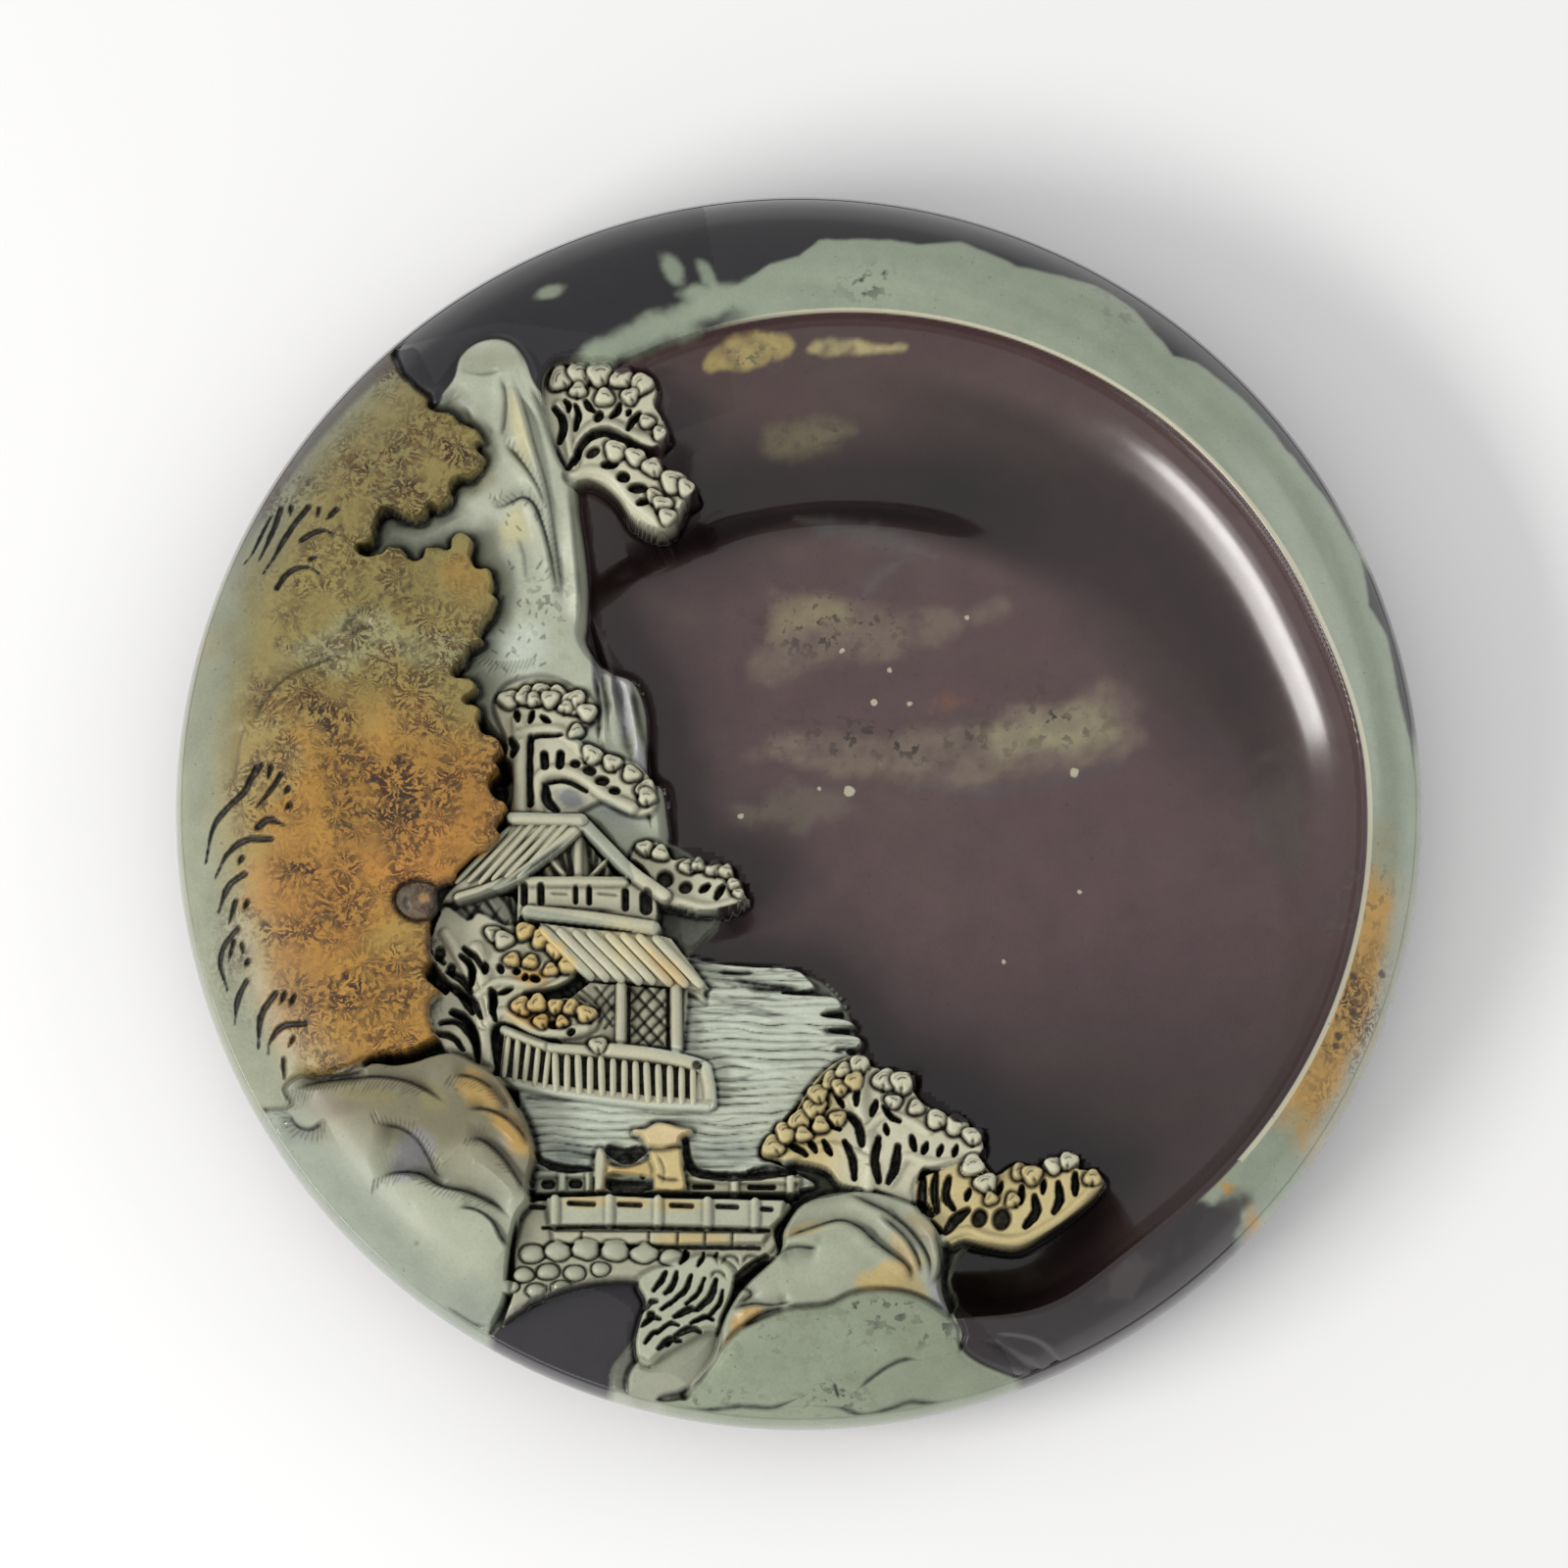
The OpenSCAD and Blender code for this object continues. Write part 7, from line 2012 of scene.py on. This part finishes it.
# Every slot's stone: mottle, grain, fern, roughness, wax, sparkle and bump, in this order
STONES = {
    "purple_stone": stone(
        "waxed_purple_slate", 0.10, 0.05, 0.8, 0.21, 0.6, 0.3, 0.03, DARK_GRAINS, lip_line=True,
    ),
    "floor_stone": stone(
        "honed_purple_floor", 0.10, 0.05, 0.8, 0.21, 0.6, 0.3, 0.03, DARK_GRAINS, WHITE_SPECKS,
    ),
    "rim_purple": stone("polished_purple_rim", 0.08, 0.04, 0.0, 0.30, 0.3, 0.1, 0.05, lip_line=True),
    "rim_green": stone(
        "polished_green_rim", 0.07, 0.05, 0.8, 0.21, 0.6, 0.3, 0.03, FERN_GREYS, lip_line=True,
    ),
    "rim_ochre": stone("polished_ochre_rim", 0.10, 0.06, 0.9, 0.21, 0.6, 0.4, 0.03, lip_line=True),
    "lip_purple": stone("polished_lip", 0.08, 0.05, 0.3, 0.21, 0.6, 0.3, 0.03),
    "bank_ochre": stone("waxed_ochre_bank", 0.12, 0.08, 1.0, 0.44, 0.08, 0.4, 0.10),
    "cliff_green": stone("carved_green_cliff", 0.08, 0.06, 0.6, 0.48, 0.08, 0.2, 0.14, FERN_GREYS),
    "pine_green": stone("carved_pine", 0.08, 0.06, 0.2, 0.46, 0.10, 0.1, 0.12),
    "water_green": stone("carved_water", 0.07, 0.06, 0.1, 0.48, 0.08, 0.1, 0.12),
    "house_stone": stone("carved_pavilion", 0.08, 0.06, 0.1, 0.46, 0.08, 0.1, 0.12),
    "blossom_ochre": stone("carved_orange_tree", 0.09, 0.06, 0.2, 0.44, 0.10, 0.1, 0.12),
    "figure_stone": stone("carved_travellers", 0.07, 0.06, 0.1, 0.46, 0.08, 0.1, 0.10),
    "bridge_stone": stone("carved_bridge", 0.09, 0.06, 0.2, 0.48, 0.08, 0.2, 0.14),
    "rock_green": stone("carved_boulders", 0.09, 0.06, 0.5, 0.46, 0.10, 0.3, 0.12, FERN_GREYS),
    "shore_stone": stone("carved_shore", 0.08, 0.06, 0.9, 0.46, 0.10, 0.5, 0.10, FERN_GREYS),
    "pine_ochre": stone("carved_yellow_pine", 0.09, 0.06, 0.2, 0.44, 0.10, 0.1, 0.12),
}


def place_object(name, mesh, slot, stands_for=None):
    """Puts one finished piece into the scene, on its body, in its stone and in its node's place."""
    obj = bpy.data.objects.new(name, mesh)
    bpy.context.scene.collection.objects.link(obj)
    mesh.materials.append(STONES[slot])
    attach(obj, "root")
    if stands_for:
        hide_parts(stands_for)
    return obj


slot_of = {s["node"]: s["material_slot"] for s in frame["record"]["subparts"]}
PLAIN = {"purple_body", "green_rim", "ochre_rim", "purple_shoulder", "lower_lip", "ochre_bank"}
SEAT = {"grinding_floor": 15.0, "purple_body": 12.8}
for name in (
    "upper_roof", "upper_storey", "lower_roof", "lower_storey", "balustrade", "travellers", "blossom_tree",
):
    SEAT[name] = WATER
place_object("slate", body_mesh(), "purple_stone", "purple_body")
for k, name in enumerate(nodes):
    if not (place == k).any():
        continue
    step = 4 if name == "grinding_floor" else (2 if name in PLAIN else 1)
    piece = "slate_pool" if name == "purple_body" else "carved_" + name
    place_object(piece, patch(piece, k, step, SEAT.get(name, GROUND)), slot_of[name], name)


# What repeats is set along its path by a node tree: balusters and roof ribs
def bar(t):
    """A worn bar one unit long, wide and high: rounded over its top and tapered at its ends."""
    cube = t.add(
        "GeometryNodeMeshCube",
        {"Size": (1.0, 1.0, 1.0), "Vertices X": 3, "Vertices Y": 5, "Vertices Z": 3},
    )
    at = t.split(t.add("GeometryNodeInputPosition").outputs[0])
    ends = t.ramp(t.math("ABSOLUTE", at["Y"]), 0.25, 0.5, 1.0, 0.92)
    crown = t.ramp(at["Z"], 0.0, 0.5, 1.0, 0.75)
    across = t.math("MULTIPLY", at["X"], t.math("MULTIPLY", ends, crown))
    shape = t.add("ShaderNodeCombineXYZ", {"X": across, "Y": at["Y"], "Z": t.math("MULTIPLY", at["Z"], ends)})
    moved = t.add("GeometryNodeSetPosition", {"Geometry": cube.outputs["Mesh"], "Position": shape.outputs[0]})
    soft = t.add("GeometryNodeSubdivisionSurface", {"Mesh": moved.outputs["Geometry"], "Level": 1})
    return t.add("GeometryNodeSetShadeSmooth", {"Geometry": soft.outputs[0]}).outputs["Geometry"]


def path_tree(name):
    """Copies of the worn bar along the piece's own path, evenly spaced and each a little different."""
    group = bpy.data.node_groups.new(name, "GeometryNodeTree")
    face = group.interface
    face.new_socket("Geometry", in_out="INPUT", socket_type="NodeSocketGeometry")
    face.new_socket("Geometry", in_out="OUTPUT", socket_type="NodeSocketGeometry")
    for label, kind, value in (
        ("Count", "Int", 10), ("Length", "Float", 0.005), ("Width", "Float", 0.001),
        ("Height", "Float", 0.001), ("Turn", "Float", 0.0), ("Uneven", "Float", 0.1), ("Seed", "Int", 3),
    ):
        face.new_socket(label, in_out="INPUT", socket_type="NodeSocket" + kind).default_value = value
    face.new_socket("Material", in_out="INPUT", socket_type="NodeSocketMaterial")
    t = Nodes(group)
    given = t.add("NodeGroupInput").outputs

    def chance(low, high):
        sizes = {"Min": low, "Max": high, "Seed": given["Seed"]}
        return t.add("FunctionNodeRandomValue", sizes).outputs["Value"]

    line = t.add("GeometryNodeMeshToCurve", {"Mesh": given["Geometry"]}).outputs["Curve"]
    spread = t.add("GeometryNodeResampleCurve", {"Curve": line, "Count": given["Count"]}).outputs["Curve"]
    uneven = given["Uneven"]
    wobble = chance(t.math("MULTIPLY", uneven, -0.5), t.math("MULTIPLY", uneven, 0.5))
    angle = t.add("ShaderNodeCombineXYZ", {"Z": t.math("ADD", given["Turn"], wobble)}).outputs[0]
    vary = chance(t.math("SUBTRACT", 1.0, uneven), t.math("ADD", 1.0, uneven))
    grown = {
        k: t.math("MULTIPLY", given[label], vary) for k, label in enumerate(("Width", "Length", "Height"))
    }
    size = t.add("ShaderNodeCombineXYZ", grown).outputs[0]
    placed = t.add(
        "GeometryNodeInstanceOnPoints",
        {"Points": spread, "Instance": bar(t), "Rotation": angle, "Scale": size},
    )
    real = t.add("GeometryNodeRealizeInstances", {"Geometry": placed.outputs["Instances"]})
    look = {"Geometry": real.outputs["Geometry"], "Material": given["Material"]}
    done = t.add("GeometryNodeSetMaterial", look)
    t.add("NodeGroupOutput", {"Geometry": done.outputs["Geometry"]})
    return group


BARS = path_tree("bars_along_a_path")


def along(name, path, stone_slot, **values):
    """Runs the node tree over a path and keeps its result as a plain mesh."""
    base = bpy.data.meshes.new(name + "_path")
    base.from_pydata([tuple(MM * c for c in p) for p in path], [(k, k + 1) for k in range(len(path) - 1)], [])
    guide = bpy.data.objects.new(name + "_guide", base)
    bpy.context.scene.collection.objects.link(guide)
    modifier = guide.modifiers.new("repeat", "NODES")
    modifier.node_group = BARS
    values["Material"] = STONES[stone_slot]
    for item in BARS.interface.items_tree:
        if item.item_type == "SOCKET" and item.in_out == "INPUT" and item.name in values:
            modifier[item.identifier] = values[item.name]
    view = bpy.context.evaluated_depsgraph_get()
    mesh = bpy.data.meshes.new_from_object(guide.evaluated_get(view), depsgraph=view)
    guide.modifiers.remove(modifier)
    bpy.data.objects.remove(guide)
    return mesh


def colour_by_place(mesh, ink_low, ink_high):
    """The colour of the stone under each point, with painted shade darkening it towards the foot of a worked
    unit.
    """
    co = np.empty(3 * len(mesh.vertices))
    mesh.vertices.foreach_get("co", co)
    co = co.reshape(-1, 3) / MM
    r = np.maximum(np.hypot(co[:, 0], co[:, 1]), 1e-6)
    p = np.where(r < FLAT_R, r, np.interp(r, prof_r, prof_p))
    at = np.clip(np.round(co[:, :2] * p[:, None] / r[:, None] / FINE).astype(int) + HALF, 0, N)
    # Painted shade towards the foot of each bar
    ink = 0.85 * (1.0 - smoothstep(ink_low, ink_high, co[:, 2]))
    give_colours(mesh, TINT[at[:, 1], at[:, 0]], ink, np.zeros(len(co)))


def add_row(name, path, z0, z1, ink_low, ink_high, **values):
    """One row of worn bars, along a path whose height goes from z0 to z1."""
    rise = [z0 + (z1 - z0) * k / (len(path) - 1) for k in range(len(path))]
    mesh = along(name, [(x, y, z) for (x, y), z in zip(path, rise)], "house_stone", **values)
    colour_by_place(mesh, ink_low, ink_high)
    mesh.materials.clear()
    place_object(name, mesh, "house_stone")


add_row(
    "balusters", [(-48.3, -55.3), (-42.5, -55.8), (-36.5, -56.3), (-28.5, -57.6), (-21, -58.1)],
    28.6, 28.6, 26.6, 28.6,
    Count=13, Length=0.0082, Width=0.0015, Height=0.0032, Turn=0.02, Uneven=0.06, Seed=4,
)
add_row(
    "side_balusters", [(-58.1, -52), (-50.1, -54.8)], 28.4, 28.4, 26.6, 28.6,
    Count=5, Length=0.0086, Width=0.0012, Height=0.0030, Turn=-0.12, Uneven=0.08, Seed=5,
)
add_row(
    "lower_roof_ribs", [(-46.1, -31.6), (-38.8, -32.3), (-31.3, -32.8), (-24, -33.4)],
    31.0, 31.2, 30.9, 32.0,
    Count=8, Length=0.0150, Width=0.0023, Height=0.0024, Turn=0.78, Uneven=0.05, Seed=6,
)
add_row(
    "upper_roof_ribs", [(-62.8, -12), (-50.6, -10.8)], 31.5, 32.1, 31.3, 32.7,
    Count=6, Length=0.0165, Width=0.0013, Height=0.0022, Turn=-0.75, Uneven=0.05, Seed=8,
)

# Pale table, soft light from the lower left and a long lens almost overhead
table = bpy.data.meshes.new("table")
table.from_pydata([(-3, -3, 0), (3, -3, 0), (3, 3, 0), (-3, 3, 0)], [], [(0, 1, 2, 3)])
table_obj = bpy.data.objects.new("table", table)
bpy.context.scene.collection.objects.link(table_obj)
pale = bpy.data.materials.new("pale_table")
pale.use_nodes = True
pale_shader = pale.node_tree.nodes["Principled BSDF"]
pale_shader.inputs["Base Color"].default_value = (1.0, 1.0, 1.0, 1.0)
pale_shader.inputs["Roughness"].default_value = 0.9
table.materials.append(pale)


def lamp(name, spot, aim, size, power, colour):
    """A soft rectangular light at a spot, turned to what it lights."""
    light = bpy.data.lights.new(name, "AREA")
    light.shape = "RECTANGLE"
    light.size, light.size_y = size
    light.energy = power
    light.color = colour
    obj = bpy.data.objects.new(name, light)
    obj.location = spot
    obj.rotation_euler = (Vector(aim) - Vector(spot)).to_track_quat("-Z", "Y").to_euler()
    bpy.context.scene.collection.objects.link(obj)


lamp("key", (-1.12, -0.50, 0.80), (0, 0, 0.02), (0.90, 0.28), 13.5, (1.0, 0.99, 0.97))
lamp("fill", (1.15, 0.55, 0.75), (0, 0, 0.02), (0.9, 0.6), 2.6, (1.0, 1.0, 1.0))
world = bpy.data.worlds.new("studio")
world.use_nodes = True
world.node_tree.nodes["Background"].inputs["Color"].default_value = (1.0, 1.0, 1.0, 1.0)
world.node_tree.nodes["Background"].inputs["Strength"].default_value = 0.57
bpy.context.scene.world = world
bpy.context.scene.view_settings.view_transform = "Standard"

# The photograph's frame is 314.5 mm of table wide, and the stone sits a little right of and below its middle
DISTANCE = 1.9
FRAME_WIDE = 0.3145
tilt = math.radians(81.0)
back = Vector((0.0, -math.cos(tilt), math.sin(tilt)))
up = Vector((0.0, math.sin(tilt), math.cos(tilt)))
aim = Vector((-0.0030, 0.0, 0.016)) + up * 0.0047
camera = bpy.data.cameras.new("camera")
camera.sensor_width = 36.0
camera.lens = camera.sensor_width * DISTANCE / FRAME_WIDE
camera.clip_start = 0.1
camera.clip_end = 20.0
camera_obj = bpy.data.objects.new("camera", camera)
camera_obj.location = aim + back * DISTANCE
camera_obj.rotation_euler = (-back).to_track_quat("-Z", "Y").to_euler()
bpy.context.scene.collection.objects.link(camera_obj)
bpy.context.scene.camera = camera_obj
